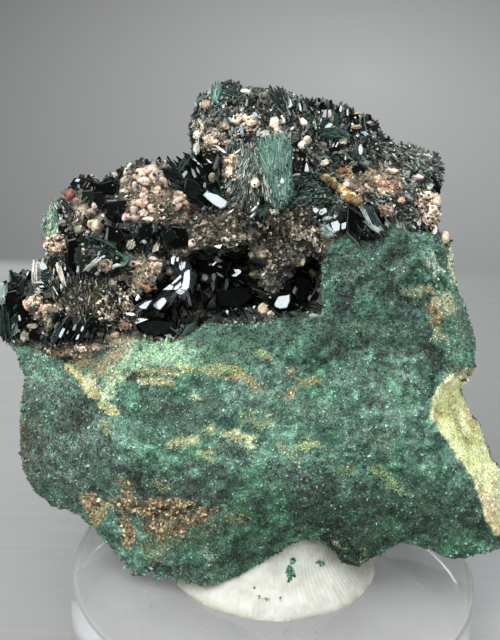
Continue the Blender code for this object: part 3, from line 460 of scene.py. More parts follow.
# Marks painted on the stone: (colour, strength, half width, softness, break-up, points). One point is a spot; a closed area starts with "area".
MARKS = [
    # large tones of the slab
    ("area", rgb(58, 84, 76), 0.7, 12, 0.3, [(20, 350), (66, 372), (104, 398), (114, 440), (120, 480), (80, 520), (20, 500)]),
    ("area", rgb(78, 76, 68), 0.55, 10, 0.5, [(18, 400), (40, 410), (46, 450), (40, 490), (20, 480)]),
    (rgb(88, 68, 60), 0.8, 7, 5, 0.3, [(22, 425), (24, 445), (27, 462)]),
    (rgb(104, 150, 128), 0.7, 14, 10, 0.3, [(130, 356), (170, 356), (215, 350), (250, 348)]),
    (rgb(116, 168, 134), 0.8, 9, 8, 0.3, [(112, 378), (122, 362), (150, 352), (178, 350)]),
    (rgb(88, 126, 110), 0.6, 20, 14, 0.2, [(210, 338), (260, 340), (310, 332), (400, 330)]),
    (rgb(122, 162, 148), 0.5, 5, 5, 0.4, [(345, 330), (380, 328), (412, 333)]),
    # painted shade: the dark wedge, a hollow in the slab
    (rgb(46, 62, 58), 0.75, 15, 12, 0.2, [(128, 474), (146, 488), (168, 492), (190, 490)]),
    ("area", rgb(48, 66, 58), 0.6, 16, 0.2, [(300, 478), (360, 486), (420, 484), (470, 492), (486, 530), (420, 532), (360, 512), (300, 520), (280, 500)]),
    (rgb(52, 78, 70), 0.5, 12, 10, 0.2, [(30, 470), (48, 490), (66, 498)]),
    # painted shade: darker along the bottom edge, where the lower bulge curves under
    (rgb(44, 62, 54), 0.6, 10, 9, 0.2, [(130, 566), (160, 572), (200, 574), (240, 562)]),
    (rgb(40, 40, 40), 0.75, 7, 5, 0.35, [(428, 344), (436, 356), (440, 364)]),
    (rgb(52, 46, 46), 0.75, 7, 7, 0.45, [(78, 404), (84, 414), (80, 424)]),
    (rgb(60, 50, 48), 0.7, 6, 7, 0.55, [(312, 334), (326, 338)]),
    (rgb(66, 54, 52), 0.7, 8, 8, 0.6, [(338, 348), (352, 356), (364, 340)]),
    (rgb(62, 52, 50), 0.7, 8, 8, 0.6, [(382, 352), (394, 346), (404, 354)]),
    (rgb(76, 66, 66), 0.5, 9, 9, 0.6, [(362, 420), (380, 436), (396, 432)]),
    (rgb(66, 56, 54), 0.6, 7, 7, 0.5, [(408, 388), (420, 392)]),
    (rgb(70, 60, 60), 0.5, 12, 12, 0.6, [(150, 400), (170, 405), (184, 416)]),
    (rgb(64, 62, 62), 0.5, 12, 10, 0.6, [(210, 452), (236, 446), (250, 446)]),
    (rgb(66, 66, 64), 0.5, 14, 12, 0.6, [(270, 470), (300, 486), (330, 478)]),
    (rgb(60, 64, 62), 0.5, 12, 10, 0.6, [(170, 470), (205, 474), (225, 480)]),
    (rgb(60, 60, 58), 0.5, 8, 8, 0.5, [(60, 420), (52, 440), (70, 450)]),
    (rgb(92, 142, 124), 0.5, 14, 10, 0.5, [(130, 425), (165, 432), (200, 400)]),
    (rgb(92, 138, 118), 0.5, 16, 12, 0.5, [(250, 400), (290, 405), (330, 410)]),
    (rgb(96, 142, 124), 0.5, 14, 12, 0.5, [(340, 380), (370, 372), (400, 410)]),
    (rgb(60, 112, 98), 0.6, 6, 6, 0.3, [(316, 512), (330, 516), (344, 518)]),
    (rgb(58, 92, 78), 0.5, 10, 10, 0.3, [(90, 470), (104, 456)]),
    (rgb(62, 90, 70), 0.6, 8, 8, 0.5, [(346, 538), (366, 530), (388, 540)]),
    # yellow and cream streaks
    (rgb(196, 190, 104), 0.85, 3.4, 3, 0.35, [(68, 366), (78, 376), (88, 386), (98, 397)]),
    (rgb(208, 204, 158), 0.85, 4, 3, 0.35, [(82, 378), (94, 384), (102, 392)]),
    (rgb(176, 208, 168), 0.85, 5, 4, 0.3, [(104, 396), (112, 388), (116, 374)]),
    (rgb(196, 176, 134), 0.8, 9, 5, 0.35, [(104, 372), (112, 358), (124, 346)]),
    (rgb(170, 148, 108), 0.75, 6, 4, 0.5, [(78, 362), (92, 366), (100, 376)]),
    (rgb(156, 150, 88), 0.8, 3.6, 3, 0.4, [(126, 376), (146, 372), (166, 370), (180, 373)]),
    (rgb(196, 186, 128), 0.85, 3.4, 3, 0.3, [(140, 382), (158, 381), (172, 382)]),
    (rgb(166, 178, 102), 0.75, 4.5, 3.5, 0.5, [(180, 368), (200, 371), (222, 367), (242, 371)]),
    (rgb(196, 170, 104), 0.8, 3.2, 2.5, 0.55, [(212, 375), (226, 374), (238, 377), (252, 379)]),
    (rgb(198, 176, 116), 0.8, 3.2, 2.5, 0.55, [(246, 380), (258, 386)]),
    (rgb(172, 172, 96), 0.75, 4, 3.5, 0.6, [(260, 352), (272, 358)]),
    (rgb(186, 160, 92), 0.8, 3.4, 3, 0.5, [(290, 370), (298, 378), (306, 384), (318, 378)]),
    (rgb(192, 152, 98), 0.8, 3.4, 3, 0.4, [(288, 398), (296, 390)]),
    (rgb(190, 190, 110), 0.85, 4, 3, 0.35, [(102, 406), (110, 411), (118, 412)]),
    (rgb(150, 170, 96), 0.7, 4, 4, 0.5, [(104, 424), (108, 434)]),
    (rgb(196, 196, 132), 0.8, 4.5, 3.5, 0.4, [(170, 444), (184, 442), (196, 438)]),
    (rgb(178, 188, 108), 0.8, 4.5, 3.5, 0.5, [(206, 428), (213, 432)]),
    (rgb(202, 196, 124), 0.85, 4.5, 3.5, 0.4, [(226, 434), (238, 438), (250, 442)]),
    (rgb(170, 186, 128), 0.7, 4, 3.5, 0.5, [(203, 452), (212, 457)]),
    (rgb(146, 178, 118), 0.6, 7, 6, 0.65, [(246, 416), (258, 424), (270, 420)]),
    (rgb(186, 200, 124), 0.75, 5, 4, 0.5, [(244, 440), (252, 444)]),
    (rgb(146, 180, 136), 0.7, 3.5, 3, 0.5, [(282, 444), (290, 454), (296, 460)]),
    (rgb(158, 182, 100), 0.65, 5, 5, 0.65, [(300, 444), (316, 444)]),
    (rgb(112, 150, 88), 0.6, 7, 6, 0.65, [(340, 470), (352, 466)]),
    (rgb(128, 166, 92), 0.65, 5.5, 5, 0.7, [(376, 470), (386, 478), (398, 486)]),
    (rgb(138, 148, 86), 0.65, 6, 5, 0.6, [(158, 482), (164, 488)]),
    (rgb(168, 190, 128), 0.6, 4, 3.5, 0.5, [(196, 398), (200, 402)]),
    (rgb(140, 150, 90), 0.6, 5, 5, 0.6, [(228, 516), (244, 520)]),
    (rgb(156, 138, 78), 0.6, 4, 4, 0.6, [(240, 516), (246, 520)]),
    (rgb(140, 180, 158), 0.6, 6, 5, 0.4, [(206, 552), (210, 558)]),
    # the ochre pitted patch
    (rgb(204, 164, 108), 0.85, 7, 4, 0.45, [(88, 498), (96, 508), (98, 520)]),
    (rgb(198, 150, 96), 0.85, 5, 3, 0.4, [(122, 480), (128, 490), (122, 494)]),
    (rgb(206, 180, 132), 0.8, 5, 3, 0.4, [(106, 506), (114, 502), (132, 500)]),
    ("area", rgb(192, 142, 86), 0.85, 5, 0.45, [(118, 500), (140, 496), (160, 500), (186, 498), (204, 506), (218, 510), (206, 520), (196, 526), (160, 524), (140, 518), (120, 512)]),
    (rgb(180, 132, 80), 0.85, 6, 4, 0.55, [(124, 520), (132, 534), (126, 544)]),
    (rgb(176, 126, 66), 0.8, 6, 4, 0.5, [(150, 528), (164, 534), (182, 528)]),
    (rgb(70, 48, 30), 0.85, 4, 3, 0.5, [(152, 514), (166, 510), (180, 512), (198, 506)]),
    ("area", rgb(136, 142, 84), 0.7, 6, 0.5, [(144, 536), (168, 534), (172, 552), (152, 564), (140, 552)]),
    (rgb(112, 128, 76), 0.6, 8, 6, 0.5, [(176, 540), (196, 534), (216, 526)]),
    # the dark hollow under the lower edge: painted shade
    ("area", rgb(20, 32, 27), 0.9, 6, 0.2, [(320, 534), (332, 530), (350, 538), (362, 550), (376, 562), (356, 574), (338, 566), (328, 550)]),
    (rgb(30, 48, 44), 0.75, 7, 6, 0.3, [(314, 522), (334, 525), (352, 534)]),
    (rgb(10, 16, 12), 0.95, 3.5, 2.5, 0.0, [(324, 537), (331, 543), (337, 551), (344, 561), (352, 567)]),
    (rgb(96, 120, 88), 0.55, 4, 4, 0.6, [(360, 533), (372, 531), (382, 540)]),
    # painted highlights: thin pale rims along the hollow's lips
    (rgb(132, 152, 112), 0.7, 2.2, 2.2, 0.55, [(360, 548), (368, 552), (358, 562)]),
    (rgb(150, 156, 120), 0.75, 1.2, 1.0, 0.2, [(334, 539), (341, 546), (348, 548)]),
    (rgb(40, 48, 52), 0.7, 3, 3, 0.4, [(364, 541), (372, 546)]),
    # the dark crack above the upper streak, painted as a line of shade
    (rgb(12, 16, 13), 1.0, 2.0, 1.0, 0.0, [(127, 379.5), (136, 376), (149, 374.5)]),
    # right wall and its ledge
    (rgb(150, 182, 168), 0.6, 8, 7, 0.55, [(345, 276), (356, 270), (364, 266)]),
    (rgb(152, 182, 172), 0.6, 6, 5, 0.5, [(396, 272), (408, 266)]),
    (rgb(184, 206, 198), 0.75, 6, 5, 0.4, [(426, 256), (432, 264), (437, 272)]),
    (rgb(84, 96, 90), 0.5, 14, 12, 0.5, [(340, 258), (370, 250), (400, 252)]),
    (rgb(70, 54, 48), 0.7, 6, 5, 0.5, [(386, 292), (396, 298)]),
    (rgb(50, 58, 54), 0.7, 7, 6, 0.3, [(404, 300), (420, 302), (428, 294)]),
    (rgb(196, 182, 148), 0.85, 4, 2.5, 0.5, [(406, 290), (416, 292), (434, 288)]),
    (rgb(206, 190, 142), 0.85, 7, 4, 0.3, [(438, 302), (448, 300), (450, 308)]),
    (rgb(198, 142, 92), 0.9, 6, 4, 0.3, [(428, 308), (438, 314), (434, 320)]),
    (rgb(178, 182, 126), 0.8, 5, 4, 0.4, [(436, 334), (442, 340)]),
    (rgb(90, 134, 112), 0.6, 9, 7, 0.3, [(456, 300), (462, 320), (468, 344)]),
    (rgb(190, 164, 104), 0.85, 5, 3.5, 0.4, [(450, 378), (462, 374), (472, 372)]),
    (rgb(120, 122, 84), 0.6, 5, 4, 0.4, [(448, 368), (458, 366)]),
    (rgb(190, 176, 140), 0.7, 4, 3, 0.5, [(448, 246), (452, 262), (454, 280)]),
]

SIDE_MARKS = [
    (rgb(190, 176, 104), 0.8, 6, 4, 0.4, [(450, 388), (456, 400), (448, 408)]),
    (rgb(170, 120, 70), 0.85, 3.2, 2.5, 0.5, [(434, 410), (438, 418), (444, 414)]),
    (rgb(132, 118, 66), 0.85, 4, 3, 0.5, [(450, 404), (454, 416), (458, 424)]),
    (rgb(140, 124, 68), 0.8, 3.5, 3, 0.5, [(460, 430), (466, 440), (470, 446)]),
    (rgb(190, 130, 82), 0.85, 4, 3, 0.4, [(466, 414), (472, 422), (478, 432)]),
    (rgb(150, 136, 80), 0.8, 2.6, 2, 0.4, [(490, 482), (494, 490)]),
    (rgb(226, 210, 176), 0.85, 5, 4, 0.3, [(462, 470), (470, 480), (476, 490)]),
    (rgb(214, 176, 142), 0.9, 8, 5, 0.3, [(478, 494), (486, 502), (494, 508)]),
    (rgb(206, 160, 128), 0.9, 8, 5, 0.35, [(486, 516), (492, 526), (500, 530)]),
    (rgb(120, 140, 90), 0.6, 3, 3, 0.4, [(474, 478), (478, 484)]),
]

UPPER_MARKS = [
    ("area", rgb(58, 76, 66), 0.6, 10, 0.4, [(0, 270), (30, 270), (40, 300), (30, 345), (0, 345)]),
    ("area", rgb(142, 196, 166), 0.95, 4, 0.25, [(38, 212), (50, 202), (58, 206), (58, 234), (48, 240), (38, 236)]),
    ("area", rgb(150, 124, 92), 0.8, 5, 0.5, [(42, 238), (58, 234), (70, 240), (66, 252), (52, 256)]),
    ("area", rgb(190, 200, 186), 0.8, 4, 0.5, [(32, 262), (46, 258), (54, 270), (52, 296), (34, 296)]),
    ("area", rgb(206, 160, 96), 0.95, 5, 0.2, [(24, 296), (36, 292), (48, 298), (48, 310), (34, 312), (24, 306)]),
    (rgb(190, 118, 40), 0.95, 3.4, 2.5, 0.1, [(38, 300), (40, 306)]),
    ("area", rgb(104, 92, 66), 0.8, 8, 0.6, [(58, 276), (110, 276), (122, 300), (124, 330), (84, 330), (62, 316)]),
    ("area", rgb(36, 58, 50), 0.8, 6, 0.3, [(62, 240), (90, 234), (118, 248), (112, 272), (70, 280)]),
    ("area", rgb(150, 146, 122), 0.65, 8, 0.6, [(94, 256), (180, 250), (182, 284), (150, 296), (104, 286)]),
    (rgb(176, 120, 66), 0.8, 5, 4, 0.4, [(140, 286), (150, 292)]),
    (rgb(164, 104, 72), 0.9, 5, 3, 0.3, [(124, 320), (128, 326)]),
    (rgb(150, 96, 60), 0.85, 4, 3, 0.4, [(150, 314), (164, 316)]),
    ("area", rgb(150, 138, 108), 0.7, 6, 0.5, [(40, 340), (70, 336), (130, 334), (134, 346), (100, 356), (60, 356)]),
    (rgb(196, 180, 132), 0.85, 6, 4, 0.35, [(54, 348), (68, 350)]),
    ("area", rgb(22, 26, 25), 0.85, 8, 0.25, [(72, 180), (118, 178), (128, 196), (122, 228), (90, 214), (78, 200)]),
    (rgb(170, 92, 62), 0.95, 5, 3, 0.2, [(68, 194), (74, 200)]),
    ("area", rgb(112, 94, 76), 0.92, 5, 0.3, [(120, 180), (134, 164), (158, 166), (170, 182), (190, 200), (192, 222), (166, 226), (126, 222), (122, 200)]),
    ("area", rgb(34, 52, 46), 0.85, 5, 0.35, [(128, 222), (156, 220), (176, 234), (170, 248), (130, 242)]),
    ("area", rgb(112, 92, 76), 0.75, 8, 0.6, [(188, 204), (240, 206), (266, 226), (262, 246), (220, 248), (186, 240)]),
    ("area", rgb(98, 80, 62), 0.7, 8, 0.6, [(262, 210), (318, 206), (322, 250), (296, 262), (264, 256)]),
    ("area", rgb(24, 28, 27), 0.8, 7, 0.3, [(178, 164), (222, 158), (224, 190), (200, 204), (180, 196)]),
    ("area", rgb(200, 184, 152), 0.85, 6, 0.45, [(194, 120), (220, 116), (228, 140), (214, 154), (196, 148)]),
    ("area", rgb(76, 108, 94), 0.75, 7, 0.35, [(208, 84), (236, 82), (238, 100), (206, 102)]),
    ("area", rgb(120, 138, 128), 0.6, 8, 0.45, [(232, 150), (262, 142), (262, 196), (234, 206)]),
    ("area", rgb(76, 124, 104), 0.9, 4, 0.2, [(262, 138), (290, 138), (290, 190), (280, 206), (266, 204)]),
    ("area", rgb(66, 92, 80), 0.7, 8, 0.35, [(288, 178), (330, 176), (330, 204), (290, 208)]),
    ("area", rgb(70, 112, 92), 0.8, 5, 0.4, [(318, 122), (346, 122), (348, 138), (322, 140)]),
    ("area", rgb(186, 146, 112), 0.75, 6, 0.55, [(338, 168), (362, 166), (402, 164), (404, 196), (360, 200)]),
    (rgb(190, 136, 72), 0.9, 4.5, 3, 0.3, [(342, 168), (350, 172)]),
    (rgb(186, 112, 96), 0.9, 5, 3, 0.3, [(384, 208), (388, 214)]),
    (rgb(196, 134, 112), 0.8, 5, 4, 0.4, [(378, 182), (396, 186)]),
    ("area", rgb(214, 184, 146), 0.92, 4, 0.3, [(412, 196), (426, 190), (442, 196), (440, 220), (428, 226), (414, 214)]),
    (rgb(12, 12, 12), 0.95, 5, 2.5, 0.1, [(420, 226), (430, 230)]),
    (rgb(206, 148, 118), 0.95, 4, 3, 0.2, [(444, 236), (446, 242)]),
    ("area", rgb(34, 36, 34), 0.8, 6, 0.3, [(344, 206), (378, 208), (384, 234), (350, 238)]),
    # the pocket near black: the black crystals' own colour, with painted shade in the hollow
    ("area", rgb(14, 15, 15), 0.9, 8, 0.1, [(150, 290), (190, 256), (250, 246), (262, 260), (262, 286), (320, 262), (322, 312), (240, 318), (190, 336), (136, 334)]),
    (rgb(96, 74, 48), 0.7, 8, 5, 0.5, [(262, 262), (276, 268), (286, 262)]),
    (rgb(88, 70, 48), 0.7, 6, 4, 0.5, [(240, 262), (246, 266)]),
]


def softened(tone):
    tone = tone * (np.array([1.0, 1.18, 0.95]) if tone[0] > tone[1] * 1.25 else np.array([1.7, 1.75, 1.45]) if tone[1] > 0.3 else 1.0)
    return tone * 0.62 + 0.38 * (0.25 * tone[0] + 0.6 * tone[1] + 0.15 * tone[2]) * np.array([1.12, 1.04, 0.80])


def painted(colour, q, p, marks, seed, grain=0.0):
    """Lays the marks over a colour, with ragged, broken edges."""
    warp = np.c_[bumps(p, 0.9, seed), bumps(p, 0.9, seed + 1)] * 3.0 + np.c_[bumps(p, 0.35, seed + 2), bumps(p, 0.35, seed + 3)] * 2.8
    w = q + warp
    chance = np.random.default_rng(seed + len(q)).random(len(q))
    speckle = 0.5 + 0.5 * (0.5 * bumps(p, 0.6, seed + 4) + 0.5 * bumps(np.c_[p[:, 0] * 0.6, p[:, 1:]], 0.24, seed + 5))
    for mark in marks:
        if isinstance(mark[0], str):
            _, tone, strength, soft, broken, points = mark
            tone = softened(tone)
            loop = np.array(points, float)
            near = ((w > loop.min(0) - soft) & (w < loop.max(0) + soft)).all(1)
            if not near.any():
                continue
            s = distance_to(w[near], points, closed=True) * np.where(inside(w[near], points), 1, -1)
            cover = np.clip(0.5 + s / soft, 0, 1)
        else:
            tone, strength, width, soft, broken, points = mark
            tone, strength = softened(tone), strength
            line = np.array(points, float)
            reach = width + soft
            near = ((w > line.min(0) - reach) & (w < line.max(0) + reach)).all(1)
            if not near.any():
                continue
            d = distance_to(w[near], points) if len(points) > 1 else np.hypot(*(w[near] - line[0]).T)
            cover = np.clip((width + soft * 0.5 - d) / soft, 0, 1)
        cover = cover * np.clip((speckle[near] - (0.22 + 0.42 * broken) * (1.2 - 0.4 * cover)) * 5 + 0.5, 0, 1) * strength
        cover = (0.62 - 0.44 * grain) * cover + 0.8 * grain * (chance[near] < cover * 0.95)
        colour[near] = colour[near] * (1 - cover[:, None]) + tone * cover[:, None]
    return colour


def mix(a, b, t):
    t = np.clip(t, 0, 1)[:, None]
    return a * (1 - t) + b * t


# broad lighter and darker reaches of the green: factor, strength, softness, outline
TONES = [
    (np.array([0.343, 0.40, 0.397]), 1.0, 22, [(322, 244), (350, 236), (400, 236), (430, 250), (438, 300), (420, 330), (330, 322)]),
    (np.array([0.49, 0.58, 0.50]), 1.0, 60, [(230, 470), (330, 486), (470, 500), (520, 560), (250, 590), (190, 560)]),
    (np.array([1.34, 1.22, 1.24]), 1.0, 30, [(20, 350), (70, 366), (96, 400), (110, 440), (96, 490), (60, 500), (26, 480), (20, 420)]),
    (0.5, 0.8, 12, [(64, 404), (86, 404), (92, 424), (80, 432), (66, 424)]),
    # painted shade: the dark wedge, a hollow in the slab
    (0.6, 0.8, 14, [(110, 456), (140, 458), (170, 470), (166, 492), (130, 496), (108, 484)]),
    (0.95, 1.0, 30, [(120, 345), (200, 340), (250, 350), (250, 366), (130, 372)]),
    (np.array([0.378, 0.524, 0.478]), 1.0, 26, [(190, 324), (320, 314), (430, 322), (440, 346), (330, 362), (200, 366)]),
    (0.95, 1.0, 40, [(320, 350), (440, 350), (430, 390), (440, 440), (330, 440)]),
    (0.6, 0.9, 16, [(420, 340), (440, 345), (446, 372), (432, 392), (422, 372)]),
]


WALL = [(318, 244), (350, 234), (400, 232), (436, 244), (446, 300), (430, 324), (320, 322)]
UPPER_BAND = [(190, 322), (320, 314), (432, 320), (440, 350), (330, 366), (200, 362)]


def stone_colour(q, p, front, grain=0.0):
    """Colour of the stone where it is drawn at q and lies at p. front is 1 where the viewer of the main face sees it."""
    big, mid, small = bumps(p, 5.0, 31), bumps(p, 1.6, 32), bumps(p, 0.6, 33)
    velvet = inside(q, VELVET)
    drift = bumps(np.c_[p[:, 0] * 0.42, p[:, 1], p[:, 2]], 0.8, 44) + 0.7 * bumps(np.c_[p[:, 0] * 0.5, p[:, 1], p[:, 2]], 2.2, 45)
    fine = bumps(p, 0.3, 39)
    green = mix(rgb(60, 92, 78), rgb(134, 180, 156), 0.36 + 0.22 * big + 0.26 * mid + 0.36 * small + 0.46 * fine + 0.26 * drift)
    green = green * (1 + np.outer(0.6 * bumps(p, 0.7, 49) + 0.5 * bumps(p, 2.0, 50), (0.26, -0.05, 0.16)))
    rough = np.where(inside(q, WALL), 1.35, np.where(inside(q, UPPER_BAND), 1.3, 0.42))
    streak = bumps(np.c_[p[:, 0] * 0.45, p[:, 1], p[:, 2]], 0.42, 46)
    green = green * np.exp(np.clip(rough * (1.0 * bumps(p, 0.24, 48) + 0.62 * streak + 0.5 * bumps(p, 1.0, 47)), -1.1, 0.5))[:, None]
    upper = mix(rgb(22, 27, 25), rgb(112, 114, 102), 0.36 + 0.25 * big + 0.35 * mid + 0.45 * small)
    brown = mix(rgb(96, 78, 60), rgb(170, 154, 126), 0.5 + 0.5 * small)
    upper = mix(upper, brown, (bumps(p, 2.6, 34) - 0.25) * 1.8)
    # painted light and shade: the upper mass lighter on its lumps and darker in its crevices
    upper = upper * np.exp(1.3 * np.clip(hollows(p), -1, 0.4))[:, None]
    colour = np.where(velvet[:, None], green, upper)
    lime = mix(rgb(206, 216, 140), rgb(240, 243, 196), 0.6 + 0.5 * small + 0.3 * mid)
    side = inside(q, SIDE)
    colour = np.where(side[:, None], lime, colour)
    colour = painted(colour, q, p, MARKS, 40, grain)
    colour = np.where(side[:, None], painted(lime, q, p, SIDE_MARKS, 60, 0.5), colour)
    # painted shade: dark brown in the pits of the ochre patch
    painted_pit_shade = np.clip(-bumps(p, 0.5, 71) * 2.8 - 0.2, 0, 1) * np.clip(1.25 - distance_to(q, [(92, 502), (124, 508), (150, 512), (180, 512), (208, 512)]) / 20.0, 0, 1)
    colour = mix(colour, rgb(40, 30, 18) * np.ones((len(p), 1)), np.where(side, 0, painted_pit_shade * 0.85))
    for tone, strength, soft, points in TONES:
        d = distance_to(q, points, closed=True) * np.where(inside(q, points), 1, -1)
        colour = mix(colour, colour * tone, np.where(side, 0, np.clip(0.5 + d / soft, 0, 1) * strength))
    outside_velvet = ~velvet & ~side
    colour[outside_velvet] = painted(colour[outside_velvet], q[outside_velvet], p[outside_velvet], UPPER_MARKS, 80, 0.5)
    # the hidden sides: green crust that thins out over brown rock, with a few pale seams
    ragged = 0.45 * bumps(p, 1.8, 36) + 0.35 * small + 0.45 * fine
    crust = mix(rgb(52, 76, 64), rgb(104, 138, 118), 0.45 + 0.3 * big + 0.3 * mid + 0.3 * small + 0.3 * fine)
    bare = mix(rgb(70, 64, 54), rgb(128, 116, 92), 0.5 + 0.4 * mid + 0.4 * small)
    hidden = mix(crust, bare, 0.42 + (bumps(p, 7.0, 35) + ragged - 0.30) * 1.1)
    seam = 1 - np.abs(bumps(np.c_[p[:, 0] * 0.4, p[:, 1] * 0.4, p[:, 2]], 3.2, 37) + 0.25 * small) * 5.0
    hidden = mix(hidden, rgb(168, 170, 112) * np.ones((len(p), 1)), np.clip(seam, 0, 1) * np.clip(0.2 + bumps(p, 5.0, 38) + 0.8 * fine, 0, 0.8))
    return mix(hidden, colour, front)


def painted_crevice_shade(colour, p, amount=1.0):
    """The colour with painted shade: darker in the crevices that run across the crystals of the upper mass, a little
    lighter on the lumps.
    """
    depth = bumps(p, 1.2, 61) + 0.5 * bumps(p, 0.55, 62)
    return colour * np.exp(amount * 1.7 * np.clip(depth, -1.1, 0.12))[:, None]


def hollows(p):
    """Lumps, above zero, and crevices, below zero, of the upper mass."""
    return 0.55 * bumps(p, 1.9, 5) + 0.45 * bumps(p, 0.9, 6)


print("rock")
sheet_v, sheet_t = sheet(OUTLINE, 3.4, rough_front, back_depth)
rock_v, rock_t = remeshed(sheet_v, sheet_t, 0.31)
rock_n = vertex_normals(rock_v, rock_t)
rock_q = drawn(rock_v)
sight = unit(EYE - rock_v)
facing = np.clip((np.einsum("ij,ij->i", rock_n, sight) + 0.05) / 0.2, 0, 1)
facing[(rock_v[:, 1] > 12.0)] = 0.0
velvet_v = inside(rock_q, VELVET).astype(float)
lift = 0.15 * bumps(rock_v, 1.1, 3) + 0.09 * bumps(rock_v, 0.6, 4)
lift += (1 - velvet_v) * 0.55 * hollows(rock_v)
# pits of the ochre patch
pits = np.clip(1 - distance_to(rock_q, [(90, 504), (124, 508), (150, 512), (180, 510), (205, 510)]) / 16.0, 0, 1) * facing
lift -= pits * (0.25 * np.clip(bumps(rock_v, 0.8, 8) * 1.6, 0, 1) + 0.12)
rock_v = rock_v + rock_n * lift[:, None]
rock_n = vertex_normals(rock_v, rock_t)
rock_colour = stone_colour(rock_q, rock_v, facing)
print("rock", len(rock_v), len(rock_t))

rock_material = grainy("green_velvet_rock", 0.6, 1.5, (0.5, 1.5), 4600.0, bump=(5200.0, 0.8, 0.00010))
add("matrix_rock", fast_mesh("matrix_rock", rock_v, rock_t, rock_colour, smooth=True), rock_material, ("green_matrix",))

rock_tree = BVHTree.FromPolygons([Vector(p) for p in rock_v], [tuple(t) for t in rock_t.tolist()])


def seen(u, v):
    """Where the viewer's ray through (u, v) meets the stone, and the surface's normal there."""
    d = unit(rays(np.array([[u, v]], float))[0])
    hit, normal, _, _ = rock_tree.ray_cast(Vector(EYE), Vector(d))
    if hit is None:
        q = np.array([[u, v]], float)
        return place(q, front_depth(q))[0], -FORWARD
    return np.array(hit), np.array(normal)


# ---------------------------------------------------------------- crystals in quantity


def sampled(area_weight, count, seed):
    """Random points on the rock, more where area_weight is higher: points, normals, and the triangles they lie on."""
    r = np.random.default_rng(seed)
    a, b, c = (rock_v[rock_t[:, k]] for k in range(3))
    cross = np.cross(b - a, c - a)
    area = np.linalg.norm(cross, axis=1) / 2
    weight = area * area_weight
    chosen = r.choice(len(rock_t), count, p=weight / weight.sum())
    x, y = r.random(count), r.random(count)
    flip = x + y > 1
    x[flip], y[flip] = 1 - x[flip], 1 - y[flip]
    p = a[chosen] + x[:, None] * (b - a)[chosen] + y[:, None] * (c - a)[chosen]
    smooth = rock_n[rock_t[chosen]].sum(1)
    return p, unit(smooth), chosen


def tangent(n, r):
    t = r.normal(size=n.shape)
    return unit(t - np.einsum("ij,ij->i", t, n)[:, None] * n)


def cells(count, local):
    """Bake coordinates: each crystal has its own cell."""
    side = math.ceil(math.sqrt(count))
    i = np.arange(count)
    corner = np.c_[i % side, i // side].astype(float)
    return ((corner[:, None, :] + 0.08 + 0.84 * np.asarray(local)[None]) / side).reshape(-1, 2)


CHISEL = np.array([[0, 1, 5], [0, 5, 4], [2, 3, 4], [2, 4, 5], [1, 2, 5], [3, 0, 4]])


def chisels(p, n, height, width, thick, lean, colours, seed, sink=0.3):
    """Tiny blades, each with a rectangular foot and a chisel edge."""
    r = np.random.default_rng(seed)
    count = len(p)
    axis = unit(n + tangent(n, r) * (lean * np.abs(r.normal(size=count)))[:, None])
    b = tangent(axis, r)
    c = np.cross(axis, b)
    h, w, t = (np.broadcast_to(x, (count,))[:, None] for x in (height, width, thick))
    foot = p - axis * h * sink
    skew = r.uniform(-0.25, 0.25, (count, 1))
    tip = foot + axis * h * (1 + sink)
    v = np.stack([
        foot - b * w / 2 - c * t / 2, foot + b * w / 2 - c * t / 2, foot + b * w / 2 + c * t / 2, foot - b * w / 2 + c * t / 2,
        tip + b * w * (-0.36 + skew), tip + b * w * (0.36 + skew) - axis * h * r.uniform(0, 0.3, (count, 1)),
    ], axis=1)
    # CHISEL's winding: foot corners 0..3 run round the axis
    tris = (CHISEL[None] + np.arange(count)[:, None, None] * 6).reshape(-1, 3)
    local = [(0, 0), (1, 0), (1, 1), (0, 1), (0.25, 0.5), (0.75, 0.5)]
    return v.reshape(-1, 3), tris, np.repeat(colours, 6, axis=0), cells(count, local)


_ico = bmesh.new()
bmesh.ops.create_icosphere(_ico, subdivisions=1, radius=1.0)
BALL_V = np.array([tuple(v.co) for v in _ico.verts])
BALL_T = np.array([[v.index for v in f.verts] for f in _ico.faces])
_ico.free()
_ico = bmesh.new()
bmesh.ops.create_icosphere(_ico, subdivisions=2, radius=1.0)
BALL2_V = np.array([tuple(v.co) for v in _ico.verts])
BALL2_T = np.array([[v.index for v in f.verts] for f in _ico.faces])
_ico.free()


def grains(p, radius, colours, seed, fine=False, lumpy=0.25, stretch=0.25):
    """Rounded, angular grains."""
    r = np.random.default_rng(seed)
    base, faces = (BALL2_V, BALL2_T) if fine else (BALL_V, BALL_T)
    count, k = len(p), len(base)
    a = unit(r.normal(size=(count, 3)))
    b = tangent(a, r)
    c = np.cross(a, b)
    scale = 1 + stretch * r.uniform(-1, 1, (count, 3))
    shape = base[None] * (1 + lumpy * r.uniform(-1, 1, (count, k, 1)))
    v = p[:, None, :] + np.broadcast_to(radius, (count,))[:, None, None] * (
        shape[..., :1] * scale[:, None, :1] * a[:, None] + shape[..., 1:2] * scale[:, None, 1:2] * b[:, None] + shape[..., 2:] * scale[:, None, 2:] * c[:, None]
    )
    tris = (faces[None] + np.arange(count)[:, None, None] * k).reshape(-1, 3)
    local = 0.5 + 0.5 * np.c_[base[:, 0], base[:, 1]] * (0.6 + 0.4 * (base[:, 2:] > 0))
    return v.reshape(-1, 3), tris, np.repeat(colours, k, axis=0), cells(count, local)


BLADE_RING = np.array([(-0.5, -0.36), (-0.5, 0.36), (-0.44, 0.5), (0.26, 0.5), (0.46, 0.22), (0.5, -0.05), (0.40, -0.5), (-0.44, -0.5)])


